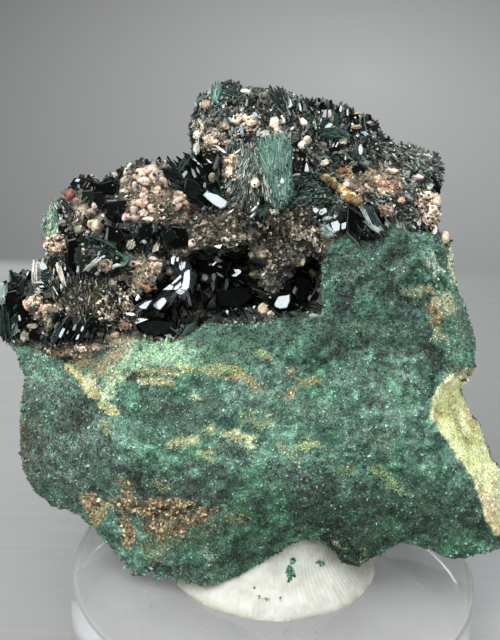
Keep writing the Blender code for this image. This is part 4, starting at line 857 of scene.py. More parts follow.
def blades(centre, axis, flat, length, width, thick, colours, seed, bevel=0.12):
    """Tabular crystals with bevelled rims. axis and flat are unit vectors; flat is the broad face's normal."""
    r = np.random.default_rng(seed)
    count = len(centre)
    axis = unit(axis)
    flat = unit(flat - np.einsum("ij,ij->i", flat, axis)[:, None] * axis)
    wide = np.cross(flat, axis)
    l, w, t = (np.broadcast_to(x, (count,))[:, None, None] for x in (length, width, thick))
    mirrored = np.where(r.random(count) < 0.5, 1.0, -1.0)[:, None, None]
    ring = np.broadcast_to(BLADE_RING, (count, 8, 2)).copy()
    ring += r.uniform(-0.035, 0.035, ring.shape)
    inner = ring * 1.0
    cut = bevel * np.minimum(w, l)
    inner[..., :1] -= np.sign(ring[..., :1]) * cut / l
    inner[..., 1:] -= np.sign(ring[..., 1:]) * cut / w
    levels = []
    for shape, z in ((inner, -0.5), (ring, -0.5 + 0.28), (ring, 0.5 - 0.28), (inner, 0.5)):
        levels.append(centre[:, None] + axis[:, None] * shape[..., :1] * l + wide[:, None] * shape[..., 1:] * w * mirrored + flat[:, None] * z * t)
    v = np.concatenate(levels, axis=1)
    tris = []
    for k in range(3):
        for i in range(8):
            j = (i + 1) % 8
            a, b, c, d = k * 8 + i, k * 8 + j, (k + 1) * 8 + j, (k + 1) * 8 + i
            tris += [(a, b, c), (a, c, d)]
    for i in range(1, 7):
        tris.append((0, i + 1, i))
        tris.append((24, 24 + i, 24 + i + 1))
    tris = np.array(tris)
    t_all = (tris[None] + np.arange(count)[:, None, None] * 32)
    # the ring runs the other way round in a mirrored blade
    turned = mirrored[:, 0, 0] < 0
    t_all[~turned] = t_all[~turned][..., ::-1]
    local = np.vstack([0.5 + BLADE_RING * 0.8, 0.5 + BLADE_RING, 0.5 + BLADE_RING, 0.5 + BLADE_RING * 0.8])
    return v.reshape(-1, 3), t_all.reshape(-1, 3), np.repeat(colours, 32, axis=0), cells(count, local)


def joined(parts):
    """Several (verts, tris, colours, uv) in one, each with its share of the bake's square."""
    side = math.ceil(math.sqrt(len(parts)))
    v, t, c, uv, start = [], [], [], [], 0
    for i, (pv, pt, pc, puv) in enumerate(parts):
        v.append(pv)
        t.append(pt + start)
        c.append(pc)
        uv.append((puv + (i % side, i // side)) / side)
        start += len(pv)
    return np.vstack(v), np.vstack(t), np.vstack(c), np.vstack(uv)


def varied(colours, seed, spread=0.45, cool=0.25, low=0.3, high=2.4):
    """Each crystal a little lighter or darker, and the light ones cooler."""
    r = np.random.default_rng(seed)
    f = np.clip(np.exp(spread * r.normal(size=len(colours))), low, high)[:, None]
    out = colours * f
    pale = np.clip(f - 1.2, 0, 1) * cool
    return np.clip(out + pale * (out.mean(1, keepdims=True) * np.array([0.85, 1.15, 1.1]) + 0.03), 0, 0.9)


def shards(p, n, height, width, lean, colours, seed, sink=0.25):
    """Tiny three-sided points."""
    r = np.random.default_rng(seed)
    count = len(p)
    axis = unit(n + tangent(n, r) * (lean * np.abs(r.normal(size=count)))[:, None])
    b = tangent(axis, r)
    c = np.cross(axis, b)
    h, w = (np.broadcast_to(x, (count,))[:, None] for x in (height, width))
    foot = p - axis * h * sink
    v = np.stack([foot + b * w * 0.6, foot - b * w * 0.3 + c * w * 0.35, foot - b * w * 0.3 - c * w * 0.35, foot + axis * h * (1 + sink)], axis=1)
    tris = (np.array([[0, 1, 3], [1, 2, 3], [2, 0, 3]])[None] + np.arange(count)[:, None, None] * 4).reshape(-1, 3)
    return v.reshape(-1, 3), tris, np.repeat(colours, 4, axis=0), cells(count, [(0, 0), (1, 0), (0.5, 1), (0.5, 0.4)])


LIGHT_DIR = unit(np.array([-0.30, -0.42, 0.86]))
FRONT_DIR = unit(np.array([-0.30, -0.72, 0.70]))
HALF = unit(LIGHT_DIR + unit(EYE - np.array([0.0, 0.0, 32.0])))
VIEW = -FORWARD
LAMPS = {"h": np.array([0.0, 0.0, 32.0]) + LIGHT_DIR * 420, "p": np.array([0.0, 0.0, 32.0]) + FRONT_DIR * 420}
LOOKS = {
    "h": HALF,
    "v": unit(VIEW + 0.16 * RIGHT - 0.06 * UP),
    "p": unit(FRONT_DIR + unit(EYE - np.array([0.0, 0.0, 32.0]))),
    "u": unit(np.array([0.0, -0.45, 0.9])),
    "l": unit(VIEW * 0.8 - RIGHT * 0.6),
    "r": unit(VIEW * 0.8 + RIGHT * 0.6),
    "d": unit(VIEW * 0.95 - UP * 0.10),
}


LAID = [rock_tree]
SOLID = [(rock_v, rock_t)]


def settle():
    """From here on, crystals are laid on everything made so far."""
    v, t, start = [], [], 0
    for pv, pt in SOLID:
        v.append(pv)
        t.append(pt + start)
        start += len(pv)
    LAID.append(BVHTree.FromPolygons([Vector(p) for p in np.vstack(v)], np.vstack(t).tolist()))


def rock_reach(q):
    """Distance from the eye, through each drawing point, to the stone and all that has been laid on it."""
    out = []
    for d in unit(rays(q)):
        hit = LAID[-1].ray_cast(Vector(EYE), Vector(d))[0]
        out.append(np.nan if hit is None else float(np.linalg.norm(np.array(hit) - EYE)))
    out = np.array(out)
    if np.isnan(out).any():
        plain = np.linalg.norm(place(q, front_depth(q)) - EYE, axis=1)
        out = np.where(np.isnan(out), plain, out)
    return out


def facet(points, colour, look, seed, thick=0.7, proud=0.12, at=None, jitter=4.0, bevel=0.10, front=True):
    """A crystal whose top face fills a drawn outline and looks one way: verts, tris, colours, local bake coordinates."""
    r = np.random.default_rng(seed)
    q = np.array(points, float)
    if (np.roll(q, -1, 0)[:, 0] * q[:, 1] - q[:, 0] * np.roll(q, -1, 0)[:, 1]).sum() < 0:
        q = q[::-1]
    n = LOOKS[look]
    if look in LAMPS:
        about = place(q.mean(0)[None], RELIEF_AT(q.mean(0)[None]))[0]
        n = unit(unit(EYE - about) + unit(LAMPS[look] - about))
    n = unit(n + math.radians(jitter) * r.normal(size=3))
    d = unit(rays(q))
    slope = np.minimum(d @ n, -0.18)
    if at is None:
        more = np.vstack([q, (q + np.roll(q, -1, 0)) / 2, q.mean(0)[None], (q + q.mean(0)) / 2]) if front else q
        tilt = np.minimum(unit(rays(more)) @ n, -0.18)
        reach = np.sort((rock_reach(more) - proud) * tilt)
        k = reach[-1] if front else 0.3 * reach[-1] + 0.7 * reach.mean()
        k = min(k, reach.mean() + 1.1)
    else:
        middle = q.mean(0)[None]
        k = float(np.linalg.norm(place(middle, RELIEF_AT(middle) + at) - EYE) * (unit(rays(middle))[0] @ n))
    top = EYE + d * (k / slope)[:, None]
    middle = top.mean(0)
    size = np.sqrt(((top - middle) ** 2).sum(1).mean())
    m = len(q)
    inner = middle + (top - middle) * (1 - min(bevel, 0.08 / size + 0.04))
    lip = middle + (top - middle) * 1.0 - n * 0.05
    foot = middle + (top - middle) * 0.92 - n * thick
    v = np.vstack([inner, lip, foot, [middle - n * thick]])
    t = []
    for i in range(1, m - 1):
        t.append((0, i, i + 1))
    for i in range(m):
        j = (i + 1) % m
        t += [(i, m + i, m + j), (i, m + j, j), (m + i, 2 * m + i, 2 * m + j), (m + i, 2 * m + j, m + j), (2 * m + i, 3 * m, 2 * m + j)]
    t = np.array(t)
    a = top - middle
    if np.einsum("ij,j->i", np.cross(v[t[:, 1]] - v[t[:, 0]], v[t[:, 2]] - v[t[:, 0]])[:1], n)[0] < 0:
        t = t[:, ::-1]
    low, high = q.min(0), q.max(0)
    flat = (q - low) / (high - low + 1e-9)
    local = np.vstack([0.5 + (flat - 0.5) * 0.8, flat, flat, [[0.5, 0.5]]])
    return v, t, np.tile(colour, (len(v), 1)), local


def packed(items):
    """Single crystals in one mesh, each in its own cell of the bake's square."""
    side = math.ceil(math.sqrt(len(items)))
    v, t, c, uv, start = [], [], [], [], 0
    for i, (pv, pt, pc, local) in enumerate(items):
        v.append(pv)
        t.append(pt + start)
        c.append(pc)
        uv.append((local * 0.88 + 0.06 + (i % side, i // side)) / side)
        start += len(pv)
    return np.vstack(v), np.vstack(t), np.vstack(c), np.vstack(uv)


_ico = bmesh.new()
bmesh.ops.create_icosphere(_ico, subdivisions=4, radius=1.0)
BALL3_V = np.array([tuple(v.co) for v in _ico.verts])
BALL3_T = np.array([[v.index for v in f.verts] for f in _ico.faces])
_ico.free()


_ico = bmesh.new()
bmesh.ops.create_icosphere(_ico, subdivisions=3, radius=1.0)
BALL4_V = np.array([tuple(v.co) for v in _ico.verts])
BALL4_T = np.array([[v.index for v in f.verts] for f in _ico.faces])
_ico.free()


def knob(u, v, ru, rv, colour, seed, proud=0.45, rough=0.22, at=None):
    """A lumpy rounded mass, ru by rv drawing units across its radii."""
    r = np.random.default_rng(seed)
    q = np.array([[u, v]], float)
    reach = float(rock_reach(q)[0]) if at is None else float(np.linalg.norm(place(q, RELIEF_AT(q) + at) - EYE))
    radius = 0.5 * (ru + rv) / 10.5
    d = unit(rays(q))[0]
    centre = EYE + d * (reach - radius * proud)
    ball_v, ball_t = (BALL3_V, BALL3_T) if ru + rv > 10.6 else (BALL4_V, BALL4_T)
    shape = ball_v.copy()
    offset = r.uniform(0, 50, 3)
    at_size = shape * radius + offset
    big = bumps(at_size, 0.85 * radius + 0.05, 3)
    clump = 1 - 1.6 * np.abs(bumps(at_size, 0.30, 4))
    crumb = 1 - 1.6 * np.abs(bumps(at_size, 0.15, 5))
    swell = 1 + 1.7 * rough * big + (0.11 * clump + 0.055 * crumb) / max(radius, 0.3) * 0.6
    swell += 0.03 * bumps(at_size, 0.08, 6)
    p = shape * swell[:, None]
    p = np.outer(p[:, 0] * ru / 10.5, RIGHT) + np.outer(p[:, 1] * rv / 10.5, UP) + np.outer(p[:, 2] * radius, VIEW) + centre
    tone = np.exp(0.30 * bumps(p, 0.35, 6) + 0.20 * bumps(p, 0.16, 7))
    # painted shade: darker in the dents between clumps and crumbs, and in the crevices that run across the upper mass
    painted_pit_shade = np.clip(0.30 - 0.42 * (clump + 0.6 * crumb) - 0.7 * big, 0, 0.85)[:, None]
    c = np.clip(painted_crevice_shade(colour[None] * tone[:, None] * (1 - painted_pit_shade * np.array([0.76, 0.84, 0.90])), p, 1.2), 0, 0.95)
    local = 0.5 + 0.5 * np.c_[ball_v[:, 0], ball_v[:, 1]] * (0.62 + 0.38 * (ball_v[:, 2:] > 0))
    return p, ball_t.copy(), c, local


def bundle(a, b, width, count, colours, seed, fan=0.1, thick=0.22, proud=0.3, bow=0.0, wide=0.16, uneven=0.3):
    """Parallel narrow blades between two drawing points, spread across the given width: arrays for joined()."""
    r = np.random.default_rng(seed)
    a, b = np.array(a, float), np.array(b, float)
    along = b - a
    length = np.linalg.norm(along)
    side = np.array([-along[1], along[0]]) / length
    s = (np.arange(count) + 0.5) / count - 0.5 + r.uniform(-0.5, 0.5, count) / count
    start = a + np.outer(s * width * (1 - fan), side) + np.outer(r.uniform(-uneven, uneven, count) * length * 0.5, along / length)
    end = b + np.outer(s * width * (1 + fan), side) + np.outer(r.uniform(-uneven, uneven, count) * length * 0.35, along / length)
    middle = (start + end) / 2
    reach = rock_reach(middle)
    lift = proud * r.uniform(0.6, 1.3, count) + bow * (1 - (2 * s) ** 2)
    p0 = EYE + unit(rays(start)) * (reach - lift)[:, None]
    p1 = EYE + unit(rays(end)) * (reach - lift)[:, None]
    axis = p1 - p0
    l = np.linalg.norm(axis, axis=1)
    flat = unit(VIEW[None] + np.outer(r.normal(0, 0.35, count), RIGHT) + np.outer(r.normal(0.1, 0.25, count), UP))
    return blades((p0 + p1) / 2, axis / l[:, None], flat, l, wide * r.uniform(0.7, 1.5, count), thick * r.uniform(0.7, 1.3, count), colours, seed + 1)


NEEDLE = np.array([[0, 1, 5], [0, 5, 4], [1, 2, 6], [1, 6, 5], [2, 3, 7], [2, 7, 6], [3, 0, 4], [3, 4, 7], [4, 5, 6], [4, 6, 7], [0, 3, 2], [0, 2, 1]])


def fibres(loop, count, heading, length, wide, thick, palette, seed, proud=0.1, spread=10.0, into=0.25, spread_tone=0.25, contrast=1.0):
    """Narrow crystals that fill a drawn outline. heading gives the way they run, in degrees, 90 straight up."""
    r = np.random.default_rng(seed)
    p = np.array(loop, float)
    low, high = p.min(0), p.max(0)
    q = low + (high - low) * r.random((count * 4, 2))
    q = q[inside(q, loop)][:count]
    q = q[[LAID[0].ray_cast(Vector(EYE), Vector(d))[0] is not None for d in unit(rays(q))]]
    m = len(q)
    flow = np.c_[q / 10.5, np.full(m, seed % 97)]
    angle = np.radians((heading(q) if callable(heading) else heading) + spread * r.normal(size=m) * 0.6 + spread * 1.7 * bumps(flow, 1.1, 55))
    d = np.c_[np.cos(angle), -np.sin(angle)]
    half = (length[0] + (length[1] - length[0]) * r.random(m) ** 1.5)[:, None] / 2
    a, b = q - d * half, q + d * half
    reach = rock_reach(q) - proud * r.uniform(0.0, 1.6, m)
    p0 = EYE + unit(rays(a)) * (reach + into * r.normal(size=m))[:, None]
    p1 = EYE + unit(rays(b)) * (reach + into * r.normal(size=m))[:, None]
    axis = unit(p1 - p0)
    flat = unit(VIEW[None] + r.normal(0, 0.45, (m, 3)))
    side = unit(np.cross(flat, axis))
    flat = np.cross(axis, side)
    w = (wide * np.exp(0.35 * r.normal(size=m)))[:, None] / 2
    t = (thick * np.exp(0.3 * r.normal(size=m)))[:, None] / 2
    skew = (p1 - p0) * r.uniform(-0.22, 0.22, (m, 1))
    near, tip = r.uniform(0.6, 1.0, (m, 1)), r.uniform(0.55, 0.95, (m, 1))
    v = np.stack([
        p0 + side * w * near + skew, p0 + flat * t * near, p0 - side * w * near - skew, p0 - flat * t * near,
        p1 + side * w * tip - skew, p1 + flat * t * tip, p1 - side * w * tip + skew, p1 - flat * t * tip,
    ], axis=1)
    tris = (NEEDLE[None] + np.arange(m)[:, None, None] * 8).reshape(-1, 3)
    # colours vary at random, with painted light and shade: lighter on the lumps of the upper mass and darker in its
    # crevices
    return v.reshape(-1, 3), tris, np.repeat(np.clip(picked(palette, m, seed + 7, spread_tone) * np.exp(contrast * (0.35 * bumps(flow, 0.8, 56) + 0.25 * bumps(flow, 0.35, 57) + 1.3 * np.clip(hollows((p0 + p1) / 2), -1, 0.3)))[:, None], 0, 0.9), 8, axis=0), cells(m, [(1, 0), (0.5, 0.1), (0, 0), (0.5, 0), (1, 1), (0.5, 0.9), (0, 1), (0.5, 1)])


# ---------------------------------------------------------------- crystals drawn one by one
# group, colour, which way the face looks, outline in the drawing

# W and WC: pale blue-grey and pale grey for black crystal faces turned to a lamp, painted highlight on top of the
# lamp's reflection; most other faces that look at a lamp ('h' to the key, 'p' to the front light) are given pale
# colours too
W, WC = rgb(98, 118, 124), rgb(140, 141, 136)
FACETS = [
    ("pocket", rgb(92, 108, 112), "p", [(171, 258), (178, 255), (187, 262), (192, 270), (190, 288), (184, 294), (176, 292), (180, 278), (181, 270), (172, 266)]),
    ("pocket", rgb(84, 98, 102), "p", [(171, 284), (182, 276), (184, 288), (178, 295), (170, 300), (158, 311), (150, 309), (154, 302), (164, 290)]),
    ("pocket", rgb(70, 82, 84), "p", [(137, 306), (142, 302), (153, 298), (160, 296), (156, 303), (146, 311), (139, 311)]),
    # the large bright blades that curve through the pocket: pale faces turned to the front lamp, painted highlight on
    # top of its reflection
    ("pocket", W, "p", [(171, 264), (171, 258), (174, 254), (176, 256), (173, 262), (174, 265)]),
    ("pocket", W, "p", [(176, 261), (177, 256), (179, 257), (178, 262)]),
    ("pocket", rgb(96, 116, 114), "p", [(165, 262), (168, 258), (170, 261), (168, 265)]),
    ("pocket", W, "p", [(179, 263), (182, 261), (186, 262), (185, 268), (181, 271), (179, 268)]),
    ("pocket", W, "p", [(184, 272), (187, 269), (190, 269), (190, 280), (189, 288), (186, 291), (181, 290), (183, 280)]),
    ("pocket", W, "p", [(175, 292), (181, 287), (184, 289), (186, 292), (181, 295), (178, 294)]),
    ("pocket", W, "p", [(162, 290), (170, 284), (174, 286), (172, 290)]),
    ("pocket", W, "p", [(171, 284), (178, 277), (181, 274), (182, 277), (176, 282), (172, 285)]),
    ("pocket", W, "p", [(176, 283), (181, 280), (182, 285), (177, 290), (173, 290)]),
    ("pocket", rgb(120, 135, 138), "p", [(170, 292), (175, 290), (176, 294), (172, 295)]),
    ("pocket", W, "p", [(152, 306), (154, 303), (161, 298), (164, 297), (167, 300), (166, 303), (160, 310), (156, 309)]),
    ("pocket", W, "p", [(138, 307), (142, 304), (147, 301), (152, 300), (150, 303), (146, 309), (141, 309)]),
    ("pocket", W, "p", [(135, 299), (137, 295), (139, 294), (140, 297), (138, 300), (136, 301)]),
    ("pocket", W, "p", [(124, 313), (128, 312), (134, 313), (136, 315), (132, 316), (127, 315)]),
    ("pocket", W, "p", [(130, 321), (134, 319), (141, 318), (149, 319), (142, 322), (136, 324), (133, 323)]),
    ("pocket", W, "p", [(274, 304), (278, 296), (286, 295), (290, 294), (290, 301), (287, 308), (280, 309), (275, 307)]),
    ("pocket", W, "p", [(233, 269), (240, 269), (242, 272), (236, 277), (231, 276), (236, 273)]),
    ("pocket", W, "p", [(208, 264), (212, 262), (213, 264), (210, 266)]),
    ("pocket", W, "p", [(211, 265), (216, 261), (217, 262), (213, 266)]),
    ("pocket", W, "p", [(213, 246), (217, 245), (223, 244), (220, 249), (217, 248)]),
    ("pocket", rgb(150, 160, 160), "p", [(217, 265), (221, 266), (222, 268), (218, 267)]),
    ("pocket", rgb(120, 130, 130), "p", [(216, 272), (221, 274), (224, 277), (222, 277), (218, 275)]),
    ("pocket", rgb(120, 150, 138), "v", [(212, 274), (215, 273), (216, 276), (215, 281), (213, 281)]),
    ("pocket", rgb(92, 118, 108), "v", [(212, 281), (215, 281), (215, 288), (213, 292), (211, 286)]),
    ("pocket", rgb(84, 112, 104), "v", [(226, 279), (228, 279), (229, 284), (226, 291), (225, 287)]),
    ("pocket", rgb(64, 112, 98), "v", [(191, 274), (194, 271), (197, 275), (196, 281), (192, 282)]),
    ("pocket", rgb(54, 96, 84), "v", [(192, 282), (196, 281), (195, 285), (192, 288), (190, 286)]),
    ("pocket", rgb(150, 150, 164), "p", [(153, 276), (157, 276), (156, 280), (154, 283), (152, 281)]),
    ("pocket", rgb(110, 116, 112), "v", [(308, 299), (311, 295), (312, 296), (309, 301)]),
    ("pocket", rgb(150, 160, 148), "u", [(309, 314), (313, 313), (318, 314), (319, 316), (311, 317)]),
    ("pocket", rgb(120, 140, 140), "p", [(292, 292), (295, 286), (297, 288), (294, 294)]),
    ("pocket", rgb(140, 156, 160), "p", [(167, 299), (172, 296), (176, 296), (173, 301), (169, 301)]),
    ("pocket", rgb(60, 70, 70), "v", [(162, 302), (167, 301), (171, 302), (166, 306)]),
    ("pocket", rgb(44, 50, 50), "v", [(160, 292), (166, 291), (169, 294), (165, 297), (160, 296)]),
    ("pocket", rgb(112, 140, 116), "u", [(164, 335), (170, 334), (173, 338), (168, 338)]),
    ("pocket", rgb(112, 128, 118), "u", [(160, 341), (165, 339), (168, 341), (164, 343)]),
    ("pocket", rgb(62, 100, 88), "v", [(184, 331), (187, 326), (194, 323), (196, 325), (192, 334), (188, 335), (184, 336)]),
    ("pocket", rgb(6, 22, 16), "v", [(234, 283), (239, 280), (241, 287), (237, 291)]),
    ("pocket", rgb(8, 14, 13), "v", [(282, 284), (291, 280), (292, 290), (284, 292)]),
    # dark bodies behind them
    ("pocket", rgb(7, 8, 9), "d", [(150, 296), (168, 290), (176, 298), (166, 312), (150, 312), (144, 304)]),
    ("pocket", rgb(8, 10, 11), "d", [(172, 268), (186, 262), (196, 270), (192, 294), (178, 300), (166, 292)]),
    ("pocket", rgb(6, 7, 8), "l", [(134, 322), (152, 320), (176, 322), (172, 334), (144, 336)]),
    ("pocket", rgb(9, 11, 11), "d", [(120, 290), (140, 288), (152, 296), (140, 312), (122, 306)]),
    ("pocket", rgb(8, 9, 9), "r", [(266, 296), (292, 292), (296, 308), (276, 314)]),
    ("pocket", rgb(7, 8, 9), "d", [(196, 262), (214, 256), (232, 262), (226, 276), (204, 274)]),
    ("pocket", rgb(8, 10, 10), "l", [(216, 292), (240, 286), (254, 296), (240, 308), (220, 306)]),
    ("pocket", rgb(10, 11, 12), "d", [(296, 274), (312, 280), (316, 300), (300, 306), (294, 292)]),
    # upright blades at the left edge
    ("left", rgb(170, 204, 192), "v", [(-1, 284), (3, 283), (7, 288), (8, 292), (5, 296), (-1, 298)]),
    ("left", rgb(120, 150, 140), "l", [(-2, 298), (4, 297), (3, 304), (-2, 305)]),
    ("left", rgb(34, 38, 40), "v", [(8, 272), (10, 270), (12, 271), (13, 277), (15, 290), (8, 291), (8, 280)]),
    ("left", rgb(128, 146, 140), "l", [(6, 274), (8, 271), (9, 272), (9, 282), (7, 283)]),
    ("left", rgb(8, 9, 9), "r", [(14, 275), (18, 275), (21, 280), (20, 292), (16, 300), (13, 292)]),
    ("left", rgb(9, 10, 10), "v", [(27, 275), (31, 271), (33, 274), (31, 282), (27, 287), (25, 283)]),
    ("left", rgb(36, 46, 42), "l", [(20, 281), (24, 279), (25, 290), (22, 298), (19, 291)]),
    ("left", rgb(200, 196, 190), "h", [(26, 274), (28, 271), (29, 272), (27, 276)]),
    ("left", rgb(7, 8, 8), "v", [(6, 292), (16, 290), (20, 300), (18, 318), (8, 316), (4, 304)]),
    ("left", rgb(9, 12, 11), "r", [(18, 298), (24, 294), (24, 310), (30, 318), (22, 326), (17, 314)]),
    ("left", rgb(22, 58, 48), "v", [(-2, 306), (6, 308), (10, 320), (6, 336), (-2, 330)]),
    ("left", rgb(26, 62, 50), "l", [(9, 320), (16, 318), (18, 328), (12, 334), (8, 330)]),
    ("left", rgb(180, 188, 170), "h", [(18, 315), (20, 315), (21, 320), (19, 321)]),
    ("left", rgb(120, 150, 132), "v", [(12, 327), (17, 325), (19, 331), (14, 336), (11, 334)]),
    ("left", rgb(170, 160, 132), "u", [(21, 332), (25, 330), (28, 337), (24, 341), (20, 338)]),
    ("left", rgb(8, 9, 10), "v", [(30, 326), (40, 328), (46, 336), (38, 342), (29, 338)]),
    ("left", rgb(232, 224, 208), "v", [(32, 270), (34, 264), (37, 266), (38, 280), (36, 284), (32, 283)]),
    ("left", W, "h", [(38, 265), (42, 259), (44, 262), (47, 265), (48, 269), (43, 271), (40, 270)]),
    ("left", rgb(170, 184, 180), "h", [(33, 264), (37, 262), (38, 265), (33, 268)]),
    ("left", rgb(36, 84, 70), "v", [(41, 272), (47, 270), (53, 271), (54, 277), (48, 281), (41, 279)]),
    ("left", rgb(20, 46, 38), "l", [(50, 258), (55, 256), (57, 266), (53, 270), (50, 266)]),
    ("left", W, "h", [(33, 284), (37, 281), (42, 281), (46, 284), (42, 283), (37, 283)]),
    ("left", W, "h", [(38, 286), (43, 285), (45, 287), (41, 288)]),
    ("left", rgb(160, 168, 160), "h", [(34, 292), (38, 290), (42, 292), (38, 294)]),
    ("left", rgb(26, 29, 28), "v", [(42, 293), (48, 289), (56, 283), (60, 283), (59, 290), (52, 297), (45, 299)]),
    ("left", rgb(34, 38, 34), "r", [(46, 284), (54, 281), (57, 283), (50, 288), (46, 289)]),
    ("left", rgb(226, 212, 184), "v", [(57, 267), (61, 266), (64, 276), (65, 283), (62, 283), (59, 276)]),
    ("left", rgb(20, 14, 10), "v", [(53, 268), (57, 268), (59, 276), (57, 277), (53, 272)]),
    ("left", W, "h", [(64, 270), (64, 266), (66, 267), (66, 271)]),
    ("left", rgb(150, 164, 170), "h", [(67, 276), (67, 272), (69, 273), (69, 277)]),
    ("left", W, "h", [(60, 289), (60, 283), (62, 284), (63, 289)]),
    # black with white streaks, below the sheaf: the streaks are pale faces turned to the key, painted highlight on top
    # of its reflection
    ("sheaf", W, "h", [(58, 337), (60, 332), (63, 327), (66, 328), (63, 334), (60, 339)]),
    ("sheaf", W, "h", [(66, 334), (67, 331), (69, 330), (68, 334)]),
    ("sheaf", W, "h", [(75, 340), (77, 335), (80, 333), (79, 338), (77, 340)]),
    ("sheaf", W, "h", [(80, 331), (82, 326), (84, 325), (84, 329), (81, 332)]),
    ("sheaf", rgb(120, 126, 124), "h", [(72, 330), (74, 325), (77, 323), (75, 330)]),
    ("sheaf", rgb(48, 60, 70), "v", [(52, 340), (54, 332), (60, 326), (62, 327), (58, 334), (56, 341)]),
    ("sheaf", rgb(14, 15, 17), "v", [(63, 320), (72, 314), (78, 318), (72, 334), (66, 342), (62, 334)]),
    ("sheaf", rgb(10, 11, 12), "r", [(76, 324), (84, 318), (88, 326), (84, 340), (76, 342)]),
    ("sheaf", rgb(9, 10, 10), "d", [(86, 316), (106, 318), (108, 332), (90, 340)]),
    ("sheaf", rgb(60, 38, 30), "v", [(60, 341), (70, 339), (74, 343), (66, 346)]),
    # the dome's neighbours
    ("tab", rgb(8, 10, 10), "l", [(68, 240), (76, 238), (77, 252), (73, 272), (67, 266)]),
    ("tab", rgb(12, 30, 25), "l", [(64, 252), (70, 250), (73, 262), (72, 274), (66, 270)]),
    ("tab", rgb(140, 160, 160), "h", [(76, 272), (77, 266), (79, 265), (79, 271), (77, 273)]),
    ("tab", W, "h", [(101, 257), (103, 255), (106, 255), (104, 258), (102, 258)]),
    ("tab", rgb(130, 134, 130), "h", [(97, 256), (98, 251), (100, 251), (100, 255)]),
    ("tab", rgb(176, 170, 160), "u", [(86, 268), (90, 263), (95, 259), (99, 258), (98, 262), (92, 264), (88, 269)]),
    ("tab", rgb(160, 165, 160), "h", [(94, 274), (97, 271), (99, 272), (96, 275)]),
    ("tab", rgb(176, 212, 196), "h", [(112, 269), (112, 265), (117, 263), (122, 265), (119, 266), (114, 267)]),
    ("tab", rgb(92, 132, 118), "v", [(120, 264), (124, 258), (130, 256), (131, 259), (127, 264), (122, 266)]),
    ("tab", rgb(28, 60, 50), "v", [(125, 270), (130, 266), (135, 268), (133, 274), (128, 275)]),
    ("tab", rgb(20, 44, 38), "v", [(111, 274), (117, 271), (122, 274), (118, 280), (112, 279)]),
    # black tabular crystals of the upper left crest
    ("tab", W, "h", [(74, 181), (77, 178), (81, 179), (79, 182), (76, 182)]),
    ("tab", rgb(120, 140, 148), "h", [(77, 187), (78, 184), (80, 185), (80, 189)]),
    ("tab", rgb(84, 98, 94), "h", [(83, 186), (86, 181), (87, 182), (84, 187)]),
    ("tab", rgb(84, 98, 94), "h", [(86, 187), (89, 182), (90, 183), (87, 188)]),
    ("tab", rgb(16, 20, 18), "v", [(70, 184), (74, 178), (84, 177), (92, 180), (90, 190), (80, 192), (72, 190)]),
    ("tab", rgb(34, 52, 46), "v", [(82, 191), (92, 190), (94, 198), (91, 207), (84, 208), (81, 200)]),
    ("tab", rgb(12, 14, 13), "v", [(92, 182), (100, 184), (112, 180), (121, 186), (124, 196), (119, 198), (108, 193), (97, 191)]),
    ("tab", rgb(20, 26, 23), "u", [(97, 184), (106, 180), (113, 179), (110, 184), (100, 187)]),
    ("tab", rgb(112, 118, 108), "h", [(107, 200), (117, 199.6), (117, 201), (107, 201.2)]),
    ("tab", rgb(6, 6, 6), "d", [(103, 202), (126, 200), (127, 210), (119, 216), (108, 212)]),
    ("tab", rgb(18, 21, 20), "v", [(92, 192), (103, 192), (103, 202), (100, 210), (93, 206)]),
    ("tab", rgb(10, 11, 11), "d", [(106, 212), (122, 216), (124, 224), (112, 222), (104, 218)]),
    ("tab", rgb(52, 60, 56), "l", [(62, 204), (70, 202), (76, 210), (75, 218), (66, 216), (62, 210)]),
    ("tab", rgb(176, 182, 178), "h", [(61, 206), (63, 206), (66, 212), (64, 213)]),
    ("tab", W, "h", [(75, 221), (78, 218), (79, 219), (77, 222)]),
    ("tab", W, "h", [(82, 215), (84, 211), (85, 212), (83, 216)]),
    ("tab", rgb(28, 26, 22), "v", [(58, 224), (66, 222), (74, 224), (73, 232), (64, 236), (58, 232)]),
    ("tab", rgb(30, 20, 18), "l", [(57, 209), (61, 208), (62, 218), (58, 220)]),
    ("tab", WC, "h", [(100, 215), (103, 213), (105, 216), (103, 218)]),
    ("tab", rgb(12, 14, 13), "v", [(84, 214), (90, 222), (88, 230), (83, 226)]),
    # black and dark green under the sugary crust
    ("tab", rgb(9, 26, 20), "v", [(139, 222), (152, 222), (152, 234), (148, 243), (139, 240)]),
    ("tab", rgb(34, 58, 58), "l", [(131, 226), (139, 223), (139, 239), (131, 236)]),
    ("tab", rgb(96, 122, 128), "h", [(134, 232), (136, 225), (138, 226), (138, 233)]),
    ("tab", rgb(128, 144, 138), "h", [(141, 241), (144, 239), (147, 242), (144, 244)]),
    ("tab", rgb(190, 184, 150), "v", [(128, 247), (130, 241), (133, 243), (136, 245), (133, 249), (129, 250)]),
    ("tab", rgb(214, 194, 168), "v", [(153, 248), (157, 242), (159, 247), (158, 251), (154, 252)]),
    ("tab", rgb(6, 7, 7), "d", [(154, 222), (162, 222), (160, 240), (153, 242)]),
    ("tab", rgb(8, 9, 10), "d", [(172, 226), (190, 228), (190, 246), (174, 250), (164, 240)]),
    ("tab", rgb(12, 34, 27), "v", [(163, 232), (174, 230), (178, 238), (168, 243), (162, 240)]),
    ("tab", rgb(13, 46, 36), "v", [(160, 203), (166, 201), (170, 210), (168, 219), (160, 221), (157, 212)]),
    ("tab", rgb(7, 8, 8), "l", [(104, 224), (120, 228), (126, 238), (112, 246), (102, 238)]),
    ("tab", rgb(9, 10, 11), "d", [(112, 284), (124, 280), (130, 288), (122, 300), (112, 296)]),
    ("tab", rgb(8, 9, 10), "r", [(124, 288), (138, 286), (136, 300), (126, 300)]),
    # the fan of black blades
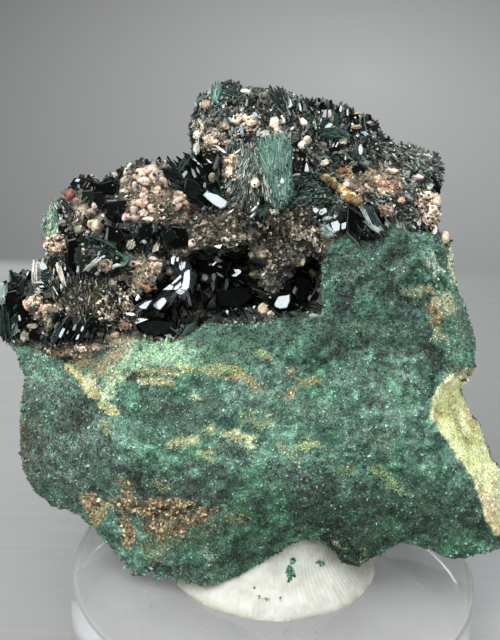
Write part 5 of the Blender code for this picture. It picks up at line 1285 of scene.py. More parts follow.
    ("fan", rgb(6, 7, 7), "v", [(158, 168), (168, 166), (178, 173), (186, 190), (176, 192), (166, 180)]),
    ("fan", rgb(104, 108, 104), "h", [(168, 178), (170, 182), (171, 186), (169, 184)]),
    ("fan", rgb(48, 72, 62), "v", [(178, 168), (182, 160), (188, 160), (190, 164), (186, 167), (181, 173)]),
    ("fan", rgb(60, 84, 74), "u", [(186, 160), (191, 157), (193, 160), (189, 163)]),
    ("fan", rgb(150, 160, 156), "h", [(182, 174), (186, 170), (188, 172), (184, 178)]),
    ("fan", WC, "h", [(192, 158), (195, 159), (198, 162), (195, 161)]),
    ("fan", WC, "h", [(197, 161.5), (200, 163.5), (199.5, 165), (196.5, 163)]),
    ("fan", rgb(104, 116, 110), "h", [(191, 168), (194, 170), (197, 177), (194, 178), (192, 174)]),
    ("fan", rgb(140, 148, 144), "h", [(196, 166), (199, 170), (200, 174), (197, 171)]),
    ("fan", WC, "h", [(205, 157.5), (209, 160), (213, 163.5), (209, 163)]),
    ("fan", rgb(110, 122, 128), "h", [(203, 187), (204, 182), (206, 183), (206, 188)]),
    ("fan", rgb(7, 8, 8), "v", [(186, 178), (194, 180), (204, 190), (200, 202), (190, 200), (184, 188)]),
    ("fan", rgb(14, 15, 15), "r", [(203, 164), (211, 163), (218, 172), (214, 182), (206, 180)]),
    ("fan", rgb(26, 30, 27), "v", [(205, 152), (212, 151), (217, 156), (213, 160), (206, 160), (203, 157)]),
    ("fan", rgb(92, 112, 102), "l", [(213, 168), (214, 160), (217, 155), (219, 157), (217, 166), (215, 169)]),
    ("fan", rgb(8, 9, 9), "d", [(206, 184), (222, 180), (226, 190), (218, 194), (210, 190)]),
    ("fan", W, "h", [(201, 194), (206, 189), (211, 192), (218, 194), (230, 202), (227, 208), (222, 210), (213, 205), (206, 199)]),
    ("fan", rgb(8, 9, 9), "d", [(198, 203), (206, 202), (210, 210), (202, 214), (197, 209)]),
    ("fan", WC, "h", [(213, 144), (217, 145), (224, 149.5), (228, 154), (224, 153.5), (218, 149)]),
    ("fan", WC, "h", [(233, 154), (236, 151), (242, 148), (241, 150), (236, 154)]),
    ("fan", rgb(206, 212, 200), "v", [(196, 144), (199, 142), (200, 151), (197, 154), (195, 151)]),
    # the crest
    ("comb", W, "h", [(298, 101), (300, 101), (302, 108), (302, 114), (299, 111)]),
    ("comb", rgb(88, 100, 104), "h", [(303, 111), (303, 104), (306, 103), (307, 111)]),
    ("comb", rgb(22, 26, 26), "l", [(305, 103), (312, 101), (313, 112), (307, 113)]),
    ("comb", rgb(14, 17, 16), "v", [(313, 102), (317, 101), (318, 97.5), (320, 98), (320, 103), (325, 102), (324, 112), (314, 113)]),
    ("comb", rgb(24, 28, 27), "v", [(327, 108), (330, 99.5), (332, 100), (333, 104), (330, 109)]),
    ("comb", rgb(44, 96, 72), "v", [(304, 117), (307, 113), (312, 114), (311, 119), (306, 120)]),
    ("comb", rgb(150, 158, 162), "h", [(322, 117), (324, 110), (327, 109), (326, 118)]),
    ("comb", rgb(170, 176, 182), "h", [(328, 118), (328, 110), (331, 109), (332, 117)]),
    ("comb", W, "h", [(338, 112), (340, 104), (342, 104), (343, 108), (341, 114)]),
    ("comb", W, "h", [(346, 117), (346.5, 108), (348.5, 107), (349, 117)]),
    ("comb", rgb(160, 210, 190), "h", [(324, 128), (329, 122), (333, 124), (330, 127.5)]),
    ("comb", rgb(44, 96, 78), "v", [(324, 130), (334, 127), (344, 130), (346, 136), (332, 139), (323, 136)]),
    ("comb", rgb(26, 62, 50), "u", [(318, 122), (326, 119), (330, 123), (322, 128)]),
    ("comb", rgb(16, 18, 17), "v", [(350, 114), (358, 114), (361, 122), (356, 128), (349, 124)]),
    ("comb", rgb(28, 34, 31), "r", [(366, 121), (374, 122), (379, 132), (374, 138), (366, 130)]),
    ("comb", rgb(160, 166, 162), "h", [(366, 122.5), (370, 120.5), (373, 122), (369, 124)]),
    ("comb", rgb(150, 186, 190), "h", [(360, 132), (365, 131), (369, 134), (365, 136)]),
    ("comb", W, "h", [(355, 136), (357, 133), (360, 135), (358, 138)]),
    ("comb", W, "h", [(359, 157), (357, 150), (358, 144), (361, 141), (363, 145), (364, 151), (362, 157)]),
    ("comb", rgb(70, 96, 92), "l", [(352, 158), (354, 148), (357, 143), (357, 151), (358, 158)]),
    ("comb", rgb(38, 54, 68), "h", [(395, 165), (400, 163), (401, 166), (397, 168)]),
    ("comb", WC, "h", [(390, 152), (394, 153), (399, 160), (395, 157)]),
    ("comb", WC, "h", [(408, 154), (412, 156.5), (415, 160), (411, 158)]),
    ("comb", WC, "h", [(388, 142), (391, 141.5), (394, 144), (391, 144)]),
    ("comb", rgb(62, 86, 80), "v", [(272, 95), (277, 91), (284, 91), (290, 96), (289, 103), (286, 109), (280, 109), (274, 103)]),
    ("comb", rgb(140, 156, 158), "h", [(283, 103), (284, 96), (289, 95.5), (290, 103), (287, 106)]),
    ("comb", W, "h", [(289, 96), (291, 97), (294, 106), (290, 109.5), (286, 109), (290, 104)]),
    ("comb", rgb(48, 68, 62), "u", [(269, 95), (276, 91.5), (282, 90.5), (277, 94), (271, 98)]),
    ("comb", rgb(96, 152, 130), "l", [(210, 97), (211, 88), (215, 83), (220, 83), (220, 92), (218, 100), (213, 104)]),
    ("comb", rgb(160, 206, 190), "h", [(215, 98), (216, 88), (218, 86), (219, 92), (218, 100)]),
    ("comb", rgb(38, 72, 60), "v", [(222, 85), (229, 81), (236, 86), (240, 92), (236, 98), (224, 97), (221, 91)]),
    ("comb", rgb(10, 10, 9), "d", [(226, 102), (238, 101), (240, 112), (230, 110)]),
    ("comb", rgb(160, 184, 204), "h", [(252, 116), (253, 112), (256, 112), (258, 116), (255, 117)]),
    ("comb", rgb(150, 172, 178), "h", [(240, 134), (240, 124), (243, 125), (244, 134), (242, 136)]),
    ("comb", rgb(140, 160, 158), "h", [(256, 136), (257, 130), (260, 130), (260, 136)]),
    ("comb", rgb(12, 12, 12), "v", [(225, 122), (229, 124), (228, 134), (225, 135)]),
    ("comb", rgb(14, 14, 14), "v", [(236, 130), (240, 130), (240, 140), (237, 139)]),
    ("comb", WC, "h", [(334, 148), (338, 140.5), (339.5, 141), (336, 148.5)]),
    ("comb", WC, "h", [(331, 148), (334.5, 141), (335.5, 141), (333, 148)]),
    ("comb", rgb(9, 9, 9), "v", [(318, 151.5), (326, 149.5), (336, 146.5), (344, 145), (340, 150), (328, 152.5)]),
    # around the green columns
    ("col", W, "h", [(304, 172), (305, 165), (306.5, 161), (309, 168), (309, 172.5)]),
    ("col", W, "h", [(310, 149), (310, 146), (311.5, 144), (313, 149)]),
    ("col", W, "h", [(344, 160), (345, 155), (346, 155), (346.5, 160)]),
    ("col", rgb(20, 24, 22), "l", [(288, 152), (293, 146), (300, 149), (307, 153), (309, 166), (303, 173), (294, 173), (290, 164)]),
    ("col", rgb(54, 48, 42), "v", [(293, 158), (298, 154), (302, 160), (301, 169), (295, 171)]),
    ("col", rgb(170, 160, 146), "h", [(294, 155), (296, 154), (300, 159), (298, 160)]),
    ("col", rgb(8, 8, 8), "v", [(290, 143), (299, 141), (300, 146), (292, 147)]),
    ("col", rgb(150, 152, 140), "h", [(293, 174), (300, 173), (300, 175), (294, 175.5)]),
    ("col", WC, "h", [(250, 211), (256, 205), (258, 206), (252, 212)]),
    ("col", WC, "h", [(249, 217), (255, 211), (257, 212), (251, 218)]),
    ("col", WC, "h", [(226, 214.5), (230, 210.5), (235, 208), (232, 212)]),
    ("col", rgb(22, 50, 42), "v", [(255, 216), (262, 212), (268, 216), (262, 227), (257, 228)]),
    ("col", rgb(76, 116, 102), "u", [(258, 210), (266, 204), (271, 208), (264, 214)]),
    ("col", rgb(34, 42, 48), "v", [(234, 218), (246, 216), (250, 224), (242, 229), (235, 226)]),
    ("col", rgb(8, 8, 8), "d", [(262, 224), (270, 220), (272, 234), (262, 232)]),
    # the stack of bright plates: pale faces turned to the key, painted highlight on top of its reflection
    ("plates", W, "h", [(312, 208), (316, 207), (320, 210), (316, 214), (313, 212)]),
    ("plates", W, "h", [(319, 210), (325, 207), (327, 208), (328, 212), (321, 216), (318, 214)]),
    ("plates", rgb(150, 182, 170), "h", [(322, 220), (323, 217), (328, 215.5), (333, 217), (330, 219)]),
    ("plates", rgb(176, 204, 194), "h", [(330, 216), (338, 213), (338, 215), (335, 218), (331, 218)]),
    ("plates", W, "h", [(330, 222), (338, 219), (341, 224), (340, 231), (334, 233), (331, 227)]),
    ("plates", rgb(124, 148, 142), "h", [(319, 227), (329, 223), (331, 228), (333, 234), (328, 236.5), (322, 235)]),
    ("plates", W, "h", [(341, 223), (347, 221), (346, 229), (341, 230)]),
    ("plates", rgb(170, 180, 172), "h", [(311, 228), (313, 224), (316, 224), (313, 228)]),
    ("plates", rgb(8, 8, 8), "v", [(310, 214), (316, 215), (322, 221), (319, 224), (311, 222)]),
    ("plates", rgb(7, 9, 8), "v", [(316, 233), (322, 238), (334, 237.5), (324, 242), (318, 240)]),
    ("plates", rgb(6, 6, 7), "v", [(348, 206), (358, 206), (361, 215), (364, 226), (358, 236), (348, 232), (347, 222)]),
    ("plates", rgb(7, 7, 7), "d", [(362, 228), (374, 232), (380, 234), (374, 240), (358, 240)]),
    ("plates", rgb(164, 176, 176), "h", [(361, 206), (364, 206), (367, 213), (371, 222), (366, 219), (362, 213)]),
    ("plates", rgb(150, 166, 160), "h", [(364, 222), (369, 222), (374, 226), (383, 229), (378, 232), (370, 228)]),
    ("plates", rgb(66, 92, 86), "v", [(365, 206), (370, 208), (378, 218), (384, 228), (376, 226), (370, 220)]),
    ("plates", rgb(100, 124, 118), "h", [(370, 222), (374, 221), (382, 227), (380, 228.5)]),
    ("plates", rgb(6, 7, 7), "v", [(375, 213), (381, 208), (383, 216), (387, 221), (383, 221), (378, 217)]),
    ("plates", rgb(6, 8, 7), "v", [(405, 209), (411, 205), (411, 212), (408, 222), (405, 218)]),
    ("plates", rgb(8, 8, 7), "d", [(323, 181), (330, 186), (336, 194), (328, 193), (322, 187)]),
    ("plates", rgb(9, 9, 9), "d", [(317, 175), (322, 174), (321, 181), (318, 180)]),
    ("plates", rgb(7, 7, 8), "v", [(352, 168), (360, 164), (366, 168), (362, 177), (353, 176)]),
    ("rosy", rgb(9, 10, 10), "v", [(433, 186), (438, 184), (441, 188), (440, 194), (434, 195), (431, 191)]),
    ("rosy", rgb(16, 20, 19), "v", [(429, 174), (436, 179), (441.5, 187), (439, 188), (433, 182)]),
    ("rosy", rgb(7, 7, 7), "d", [(418, 222), (424, 221), (434, 223), (433, 230), (426, 232), (419, 230)]),
]

# lumps: centre and radii in the drawing, colour
KNOBS = [
    ("knobs", 245, 93, 6, 4, (255, 246, 214)), ("knobs", 264, 97, 5, 5, (246, 232, 200)), ("knobs", 238, 119, 6, 4.5, (242, 218, 192)),
    ("knobs", 245, 118, 3, 2.4, (226, 212, 196)), ("knobs", 252, 121, 5.5, 5, (242, 216, 190)), ("knobs", 248, 127, 5.5, 4, (240, 212, 184)),
    ("knobs", 275, 123, 5.5, 6, (228, 206, 184)), ("knobs", 283, 121, 3, 4, (236, 228, 214)), ("knobs", 266, 134, 5, 3.6, (240, 234, 224)),
    ("knobs", 304, 123, 4.6, 4, (238, 206, 184)), ("knobs", 307, 141, 5, 3.6, (214, 196, 166)), ("knobs", 302, 146, 3.4, 4, (220, 206, 182)),
    ("knobs", 325, 162, 4, 3.4, (246, 228, 202)), ("knobs", 229, 163, 5, 5, (232, 204, 160)), ("knobs", 231, 173, 4.4, 4, (250, 240, 208)),
    ("knobs", 213, 178, 4, 4, (236, 220, 180)), ("knobs", 255, 182, 4.4, 5.4, (224, 206, 176)), ("knobs", 234, 157, 4, 3, (226, 206, 180)),
    ("knobs", 214, 133, 6, 6, (250, 238, 206)), ("knobs", 198, 134, 4.4, 4.4, (234, 226, 204)), ("knobs", 222, 138, 5, 4, (226, 196, 166)),
    ("knobs", 209, 139, 5, 4, (244, 226, 196)), ("knobs", 204, 127, 4, 3, (236, 222, 202)), ("knobs", 206, 105, 4, 5, (168, 138, 116)),
    ("knobs", 224, 126, 4, 4, (216, 186, 158)), ("knobs", 203, 147, 4.4, 4, (196, 172, 140)), ("knobs", 215, 143, 5, 3, (232, 206, 176)),
    ("knobs", 228, 143, 4, 3, (226, 204, 180)), ("knobs", 343, 141, 3.6, 3, (236, 226, 204)), ("knobs", 322, 145, 4, 3.4, (170, 148, 120)),
    ("knobs", 387, 145, 4, 3, (178, 172, 140)), ("knobs", 418, 155, 3, 2.2, (224, 222, 210)), ("knobs", 355, 127, 5, 2.4, (176, 150, 116)),
    ("knobs", 391, 171, 6, 2.6, (234, 216, 184)), ("knobs", 282, 182, 2, 3, (196, 212, 200)), ("knobs", 241, 110, 2.4, 3, (214, 208, 196)),
    ("knobs", 234, 207, 2.2, 3.6, (238, 228, 212)), ("knobs", 252, 234, 6.4, 6.4, (216, 206, 180)), ("knobs", 243, 236, 5, 3.4, (206, 182, 160)),
    ("knobs", 226, 240, 4, 2.6, (228, 218, 198)), ("knobs", 230, 244, 4, 3.6, (226, 206, 182)), ("knobs", 192, 243, 3.4, 3.6, (214, 182, 162)),
    ("knobs", 218, 258, 4.4, 4.6, (234, 226, 206)), ("knobs", 206, 277, 3, 3.6, (240, 220, 204)), ("knobs", 265, 309, 5.6, 6, (228, 204, 168)),
    ("knobs", 271, 314, 3, 3, (220, 196, 160)), ("knobs", 262, 252, 5, 4.6, (216, 186, 150)), ("knobs", 253, 254, 3.6, 3.6, (186, 166, 142)),
    ("knobs", 273, 269, 6, 5, (166, 152, 122)), ("knobs", 255, 274, 5, 4, (130, 120, 96)), ("knobs", 312, 274, 3.6, 4.4, (206, 200, 112)),
    ("knobs", 300, 260, 4, 6.6, (186, 158, 128)), ("knobs", 297, 233, 6, 6, (192, 176, 150)), ("knobs", 307, 235, 5.4, 5, (184, 164, 136)),
    ("knobs", 315, 243, 2.6, 4.6, (234, 230, 224)), ("knobs", 308, 254, 3, 2.6, (226, 224, 206)), ("knobs", 318, 250, 3, 2, (226, 208, 204)),
    ("knobs", 275, 278, 3, 2.4, (180, 166, 144)), ("knobs", 262, 284, 4, 3, (150, 138, 112)), ("knobs", 275, 212, 4, 2.4, (216, 220, 200)),
    ("knobs", 286, 214, 4, 3, (170, 160, 138)), ("knobs", 299, 211, 3.6, 3.4, (186, 182, 156)),
    ("crust", 150, 170, 9, 6, (252, 232, 206)), ("crust", 140, 174, 7, 6, (246, 218, 186)), ("crust", 157, 176, 7, 6, (248, 230, 206)),
    ("crust", 163, 184, 6, 7, (246, 226, 196)), ("crust", 143, 181, 6, 4, (250, 238, 210)), ("crust", 137, 187, 4.4, 7, (236, 228, 208)),
    ("crust", 145, 195, 5, 6, (248, 226, 192)), ("crust", 158, 191, 6, 5, (244, 212, 168)), ("crust", 167, 194, 5, 5, (240, 218, 190)),
    ("crust", 178, 195, 5.6, 5, (246, 228, 188)), ("crust", 176, 206, 5, 6, (236, 206, 180)), ("crust", 185, 202, 5, 5, (214, 176, 148)),
    ("crust", 188, 210, 4, 5, (190, 158, 140)), ("crust", 144, 203, 5, 5, (226, 186, 156)), ("crust", 135, 203, 5, 4, (226, 208, 180)),
    ("crust", 128, 200, 4.6, 4.6, (240, 220, 192)), ("crust", 134, 210, 4.6, 4, (216, 200, 176)), ("crust", 129, 217, 6, 4.4, (238, 214, 190)),
    ("crust", 136, 219, 4, 4, (232, 214, 194)), ("crust", 148, 220, 6, 2.8, (242, 222, 200)), ("crust", 151, 208, 4.4, 4, (230, 204, 180)),
    ("crust", 143, 213, 4, 3, (208, 206, 186)), ("crust", 128, 172, 4, 5, (224, 220, 196)), ("crust", 125, 180, 3.6, 3.6, (222, 216, 190)),
    ("crust", 131, 166, 4, 3, (220, 226, 196)), ("crust", 116, 175, 3.6, 3, (214, 220, 204)), ("crust", 124, 191, 4, 2.6, (228, 218, 206)),
    ("crust", 183, 224, 4, 4, (214, 184, 160)), ("crust", 176, 222, 3.6, 3, (206, 180, 158)), ("crust", 186, 216, 4, 4, (196, 166, 148)),
    ("crust", 97, 227, 6, 6, (230, 218, 176)), ("crust", 92, 224, 4, 3.6, (206, 206, 150)), ("crust", 91, 213, 4.4, 5, (208, 196, 162)),
    ("crust", 94, 207, 2.4, 3, (226, 200, 190)), ("crust", 102, 206, 2.4, 3, (150, 150, 144)), ("crust", 71, 195, 6, 5, (178, 104, 74)),
    ("crust", 67, 198, 4, 2.6, (226, 192, 160)), ("crust", 76, 201, 3, 3.4, (196, 130, 104)), ("crust", 57, 236, 4, 4, (232, 218, 194)),
    ("crust", 61, 244, 6, 5, (238, 218, 186)), ("crust", 50, 241, 5, 5, (104, 78, 56)), ("crust", 56, 249, 5, 3, (232, 214, 184)),
    ("crust", 46, 246, 2.6, 4, (222, 216, 204)), ("crust", 62, 223, 4, 3, (190, 184, 174)), ("crust", 79, 229, 4, 4.4, (158, 156, 124)),
    ("crust", 88, 232, 2.2, 3, (214, 212, 210)), ("crust", 104, 265, 5, 6, (236, 210, 168)), ("crust", 107, 268, 3, 2.4, (190, 140, 80)),
    ("crust", 126, 306, 6, 5.6, (216, 208, 172)), ("crust", 131, 308, 3, 4, (226, 222, 190)), ("crust", 107, 298, 2.6, 5, (226, 210, 178)),
    ("crust", 124, 325, 5, 5, (198, 130, 102)), ("crust", 114, 312, 5, 5, (176, 158, 122)), ("crust", 114, 335, 5, 3, (206, 186, 150)),
    ("crust", 112, 328, 3.6, 3.6, (140, 132, 112)), ("crust", 101, 334, 4, 2.6, (120, 118, 96)), ("crust", 31, 303, 8, 7, (244, 212, 158)),
    ("crust", 39, 302, 3.6, 5, (160, 98, 26)), ("crust", 47, 309, 7, 5, (214, 196, 160)), ("crust", 33, 326, 6, 3, (192, 176, 154)),
    ("crust", 38, 316, 4, 4, (128, 122, 106)), ("crust", 51, 324, 4, 6, (166, 156, 122)), ("crust", 56, 348, 6, 4, (226, 212, 172)),
    ("crust", 66, 348, 7, 4, (232, 210, 166)), ("crust", 83, 348, 8, 4, (192, 176, 148)), ("crust", 98, 346, 7, 4, (170, 156, 130)),
    ("crust", 155, 266, 6, 4.4, (236, 226, 192)), ("crust", 157, 271, 4, 3, (226, 196, 140)), ("crust", 169, 270, 6, 4, (232, 228, 204)),
    ("crust", 174, 276, 5, 3.4, (222, 214, 186)), ("crust", 134, 264, 6, 3, (228, 214, 192)), ("crust", 153, 259, 5, 2.4, (226, 220, 206)),
    ("crust", 113, 282, 4, 4, (200, 190, 168)), ("crust", 128, 282, 4, 4, (176, 164, 142)), ("crust", 146, 288, 5, 4, (176, 122, 68)),
    ("crust", 155, 314, 6, 4, (156, 96, 58)), ("crust", 162, 316, 3.4, 3, (190, 150, 116)), ("crust", 153, 311, 4, 2, (212, 186, 168)),
    ("crust", 204, 223, 4, 3, (182, 174, 140)), ("crust", 212, 234, 3.6, 4, (186, 190, 178)),
    ("rosy", 377, 181, 4.6, 4, (228, 166, 146)), ("rosy", 370, 183, 4, 3.4, (218, 178, 154)), ("rosy", 386, 184, 3.6, 3.4, (216, 162, 142)),
    ("rosy", 394, 184, 4.6, 5, (214, 148, 108)), ("rosy", 399, 186, 3.4, 4, (242, 214, 186)), ("rosy", 391, 178, 5, 2.8, (236, 192, 170)),
    ("rosy", 355, 184, 5, 4, (192, 168, 144)), ("rosy", 361, 190, 5, 4, (222, 190, 164)), ("rosy", 369, 191, 4.4, 3, (222, 216, 190)),
    ("rosy", 375, 189, 4, 2.6, (228, 196, 170)), ("rosy", 387, 211, 5.4, 5, (206, 118, 98)), ("rosy", 402, 200, 3, 3, (216, 160, 130)),
    ("rosy", 343, 172, 4.6, 3.8, (182, 116, 68)), ("rosy", 348, 180, 3.6, 3, (226, 200, 180)), ("rosy", 347, 185, 4, 2.4, (240, 220, 196)),
    ("rosy", 436, 200, 5.4, 6, (238, 196, 170)), ("rosy", 428, 196, 5, 4, (238, 218, 192)), ("rosy", 429, 205, 5.4, 5, (226, 190, 168)),
    ("rosy", 434, 212, 4.4, 6, (242, 216, 180)), ("rosy", 420, 205, 3.6, 6.4, (242, 222, 196)), ("rosy", 427, 218, 4.4, 5, (228, 216, 204)),
    ("rosy", 433, 219, 3, 4.4, (236, 226, 210)), ("rosy", 419, 222, 2, 4, (220, 222, 214)), ("rosy", 434, 229, 2.6, 4.6, (226, 226, 200)),
    ("rosy", 430, 187, 2.6, 3, (228, 226, 208)), ("rosy", 445, 237, 3.6, 5, (236, 192, 166)), ("rosy", 418, 178, 5, 3, (204, 186, 176)),
    ("rosy", 412, 181, 4, 2.4, (186, 176, 170)), ("rosy", 414, 202, 3, 3, (206, 170, 160)),
]


tri_q = drawn(rock_v[rock_t].mean(1))
tri_front = facing[rock_t].mean(1)
tri_velvet = inside(tri_q, VELVET) & (tri_front > 0.4)
tri_side = inside(tri_q, SIDE) & (tri_front > 0.2)
tri_pocket = inside(tri_q, POCKET) & (tri_front > 0.2)
tri_upper = (tri_front > 0.4) & ~inside(tri_q, VELVET) & ~tri_side & ~tri_pocket
tri_hidden = tri_front <= 0.4

velvet_material = grainy("velvet_crystals", 0.36, 1.6, (0.7, 1.3), 4000.0)
gloss = grainy("black_green_gloss", 0.15, 1.9, (0.75, 1.2), 900.0, bump=(2400.0, 0.30, 0.00004))
ink = grainy("black_crystals", 0.20, 1.55, (0.8, 1.2), 900.0, bump=(2400.0, 0.15, 0.00003), spec=0.42)
blackest = grainy("black_faces", 0.14, 1.55, (0.7, 1.3), 900.0, bump=(2400.0, 0.35, 0.00006), spec=0.26)
coal = grainy("coal_crystals", 0.16, 1.5, (0.8, 1.2), 900.0, bump=(2400.0, 0.15, 0.00003), spec=0.2)
satin = grainy("satin_faces", 0.30, 1.45, (0.82, 1.18), 1500.0, bump=(3000.0, 0.25, 0.00005), spec=0.3)
sugary = grainy("sugary_grains", 0.55, 1.5, (0.78, 1.18), 2600.0, bump=(4200.0, 0.6, 0.00008), spec=0.4)
silky = grainy("silky_teal", 0.26, 1.6, (0.75, 1.25), 1800.0, bump=(3200.0, 0.3, 0.00006))


def carpet(weight, count, height, width, thick, lean, seed, spread=0.5, pointed=False):
    p, n, chosen = sampled(weight, count, seed)
    q = drawn(p)
    colours = varied(stone_colour(q, p, tri_front[chosen], 1.0), seed + 1, spread)
    r = np.random.default_rng(seed + 2)
    size = np.exp(0.28 * r.normal(size=count))
    if pointed:
        return shards(p, n, height * size, width * size, lean, colours, seed + 3)
    return chisels(p, n, height * size, width * size, thick * size, lean, colours, seed + 3)


DARK_LOOPS = [
    [(70, 178), (118, 178), (128, 198), (124, 226), (108, 238), (96, 236), (86, 222), (98, 212), (80, 208), (78, 190)],
    [(158, 160), (186, 160), (200, 156), (222, 158), (222, 200), (200, 208), (190, 200), (176, 186), (168, 172)],
    [(0, 268), (34, 268), (34, 290), (22, 300), (30, 320), (20, 338), (0, 338)],
    [(50, 312), (90, 318), (108, 320), (106, 336), (52, 342)],
]

print("velvet")
add("velvet_a", fast_mesh("velvet_a", *carpet(tri_velvet * 1.0 + tri_side * 0.12, 26000, 0.12, 0.12, 0.08, 1.1, 100, 0.46)), velvet_material)
add("velvet_b", fast_mesh("velvet_b", *carpet(tri_velvet * 1.0 + tri_side * 0.5, 42000, 0.10, 0.12, 0, 1.1, 110, 0.46, True)), velvet_material)
b = carpet(tri_upper * np.where(np.any([inside(tri_q, z) for z in DARK_LOOPS], axis=0), 0.15, 1.0) + tri_pocket * 0.05, 9000, 0.26, 0.20, 0.12, 0.9, 120, 0.8)
d = carpet(tri_hidden * 1.0, 9000, 0.15, 0.18, 0.10, 0.9, 130)
add("velvet_back", fast_mesh("velvet_back", *joined([b, d])), velvet_material)


def sprinkle(marks, density, low, high, seed, lightest):
    """Points of the stone along the pale streaks, with their colours."""
    r = np.random.default_rng(seed)
    p, n, c = [], [], []
    for mark in marks:
        if isinstance(mark[0], str) or max(mark[0]) < lightest:
            continue
        tone, _, width, soft, _, points = mark
        line = np.array(points, float)
        if len(line) < 2:
            continue
        step = np.linalg.norm(np.diff(line, axis=0), axis=1)
        m = int(density * (step.sum() + width) * width)
        s = r.random(m) * step.sum()
        k = np.clip(np.searchsorted(np.cumsum(step), s), 0, len(step) - 1)
        t = (s - np.r_[0, np.cumsum(step)][k]) / step[k]
        q = line[k] + (line[k + 1] - line[k]) * t[:, None] + r.normal(0, 0.62 * width, (m, 2)) + r.normal(0, 0.8, (m, 2))
        keep = 0.5 * bumps(np.c_[q / 10.5, np.full(m, 3.0)], 0.45, 91) + 0.5 * bumps(np.c_[q / 10.5, np.full(m, 9.0)], 0.9, 92) > -0.05
        for u, v in q[keep]:
            at, normal = seen(u, v)
            p.append(at)
            n.append(normal)
            c.append(tone)
    p, n, c = np.array(p), np.array(n), np.array(c)
    c = c * 0.8 + 0.2 * c.mean(1, keepdims=True)
    return p, n, np.clip(c * np.exp(0.30 * r.normal(size=(len(c), 1))), 0, 0.9), low + (high - low) * r.random(len(c)) ** 2


sp, sn, sc, sr = sprinkle(MARKS[29:60], 0.9, 0.07, 0.17, 900, 0.22)
streak_grains = shards(sp + sn * 0.06, sn, sr, sr * 1.5, 1.3, sc * 0.8 + 0.1, 901)
r = np.random.default_rng(905)
OCHRE_LOOPS = [[(118, 502), (140, 496), (160, 500), (186, 498), (204, 506), (218, 510), (206, 520), (196, 526), (160, 530), (140, 524), (120, 514)],
               [(84, 492), (98, 494), (104, 510), (98, 524), (88, 514)], [(120, 478), (132, 488), (130, 498), (120, 494)],
               [(120, 516), (136, 520), (136, 544), (124, 544)], [(150, 524), (190, 522), (186, 536), (160, 540)]]
ochre_q = []
for loop, m in zip(OCHRE_LOOPS, (620, 110, 60, 130, 160)):
    a = np.array(loop, float)
    q = a.min(0) + (a.max(0) - a.min(0)) * r.random((m * 2, 2))
    ochre_q.append(q[inside(q, loop)][:m])
ochre_q = np.vstack(ochre_q)
found = [seen(u, v) for u, v in ochre_q]
ochre_p, ochre_n = np.array([f[0] for f in found]), np.array([f[1] for f in found])
keep = bumps(ochre_p, 0.5, 71) > -0.12
ochre_p, ochre_n = ochre_p[keep], ochre_n[keep]
ochre_r = 0.06 + 0.12 * r.random(len(ochre_p)) ** 2
palette = [(3, (188, 166, 130)), (2, (168, 144, 108)), (2, (212, 198, 168)), (1.6, (132, 112, 84)), (2.0, (70, 60, 46)), (0.8, (108, 118, 92))]
chosen = r.choice(len(palette), len(ochre_p), p=np.array([w for w, _ in palette]) / sum(w for w, _ in palette))
ochre_c = np.array([rgb(*c) for _, c in palette])[chosen] * np.exp(0.25 * r.normal(size=(len(ochre_p), 1)))
ochre_grains = grains(ochre_p + ochre_n * ochre_r[:, None] * 0.4, ochre_r, np.clip(ochre_c, 0, 0.9), 906, lumpy=0.35, stretch=0.4)
add("streak_grains", fast_mesh("streak_grains", *joined([streak_grains, ochre_grains])), sugary)

print("facets")
NODE_OF = {"pocket": "pocket_blades", "left": "left_edge_blades", "tab": "tabular_crystals", "fan": "blade_fan", "comb": "crest_comb",
           "col": "green_columns", "plates": "stacked_plates", "sheaf": "wheat_sheaf"}


def calm(colour):
    """Crystal tones with less strength than drawn."""
    if colour is W or colour is WC:
        return colour
    colour = colour * 0.62 + 0.38 * (0.3 * colour[0] + 0.6 * colour[1] + 0.1 * colour[2])
    return colour * (0.6 if max(colour) < 0.14 else 0.9)


FACETS = [(group, calm(colour), look, points) for group, colour, look, points in FACETS]


def faces_of(wanted, proud, thick):
    """The drawn crystals of one kind, group by group."""
    made = {}
    for i, (group, colour, look, points) in enumerate(FACETS):
        kind = "shine" if colour is W or colour is WC else ("dark" if max(colour) < 0.055 else "satin")
        if kind == wanted:
            if kind == "shine":
                points = (np.array(points) - np.mean(points, axis=0)) * (1.0 if group == "pocket" else 0.72 if group == "comb" else 0.88) + np.mean(points, axis=0)
            if kind == "dark":
                look = "d"
            made.setdefault(group, []).append(facet(points, colour, look, 3000 + i, thick=thick, proud=proud, jitter=3.5 if kind == "dark" else (1.0 if kind == "shine" else 7.0), front=kind != "dark"))
    return made




def zone(loops, count, seed, lift=0.0):
    """Random points of the rock that are drawn inside the loops."""
    weight = np.zeros(len(tri_q))
    for loop in loops:
        weight += inside(tri_q, loop)
    return sampled(np.minimum(weight, 1) * (tri_front > 0.15), count, seed)


def picked(palette, count, seed, spread=0.2):
    r = np.random.default_rng(seed)
    chosen = r.choice(len(palette), count, p=np.array([w for w, _ in palette]) / sum(w for w, _ in palette))
    base = np.array([rgb(*c) for _, c in palette])[chosen]
    return np.clip(base * np.exp(spread * r.normal(size=(count, 1))), 0, 0.92)


BLACKS = [(5, (16, 19, 18)), (3, (10, 12, 12)), (2, (24, 34, 30)), (1.4, (30, 58, 48)), (0.8, (44, 50, 48))]


COALS = [(5, (13, 16, 15)), (3, (8, 10, 10)), (1.5, (20, 30, 26)), (0.7, (24, 48, 40)), (0.3, (64, 74, 70))]


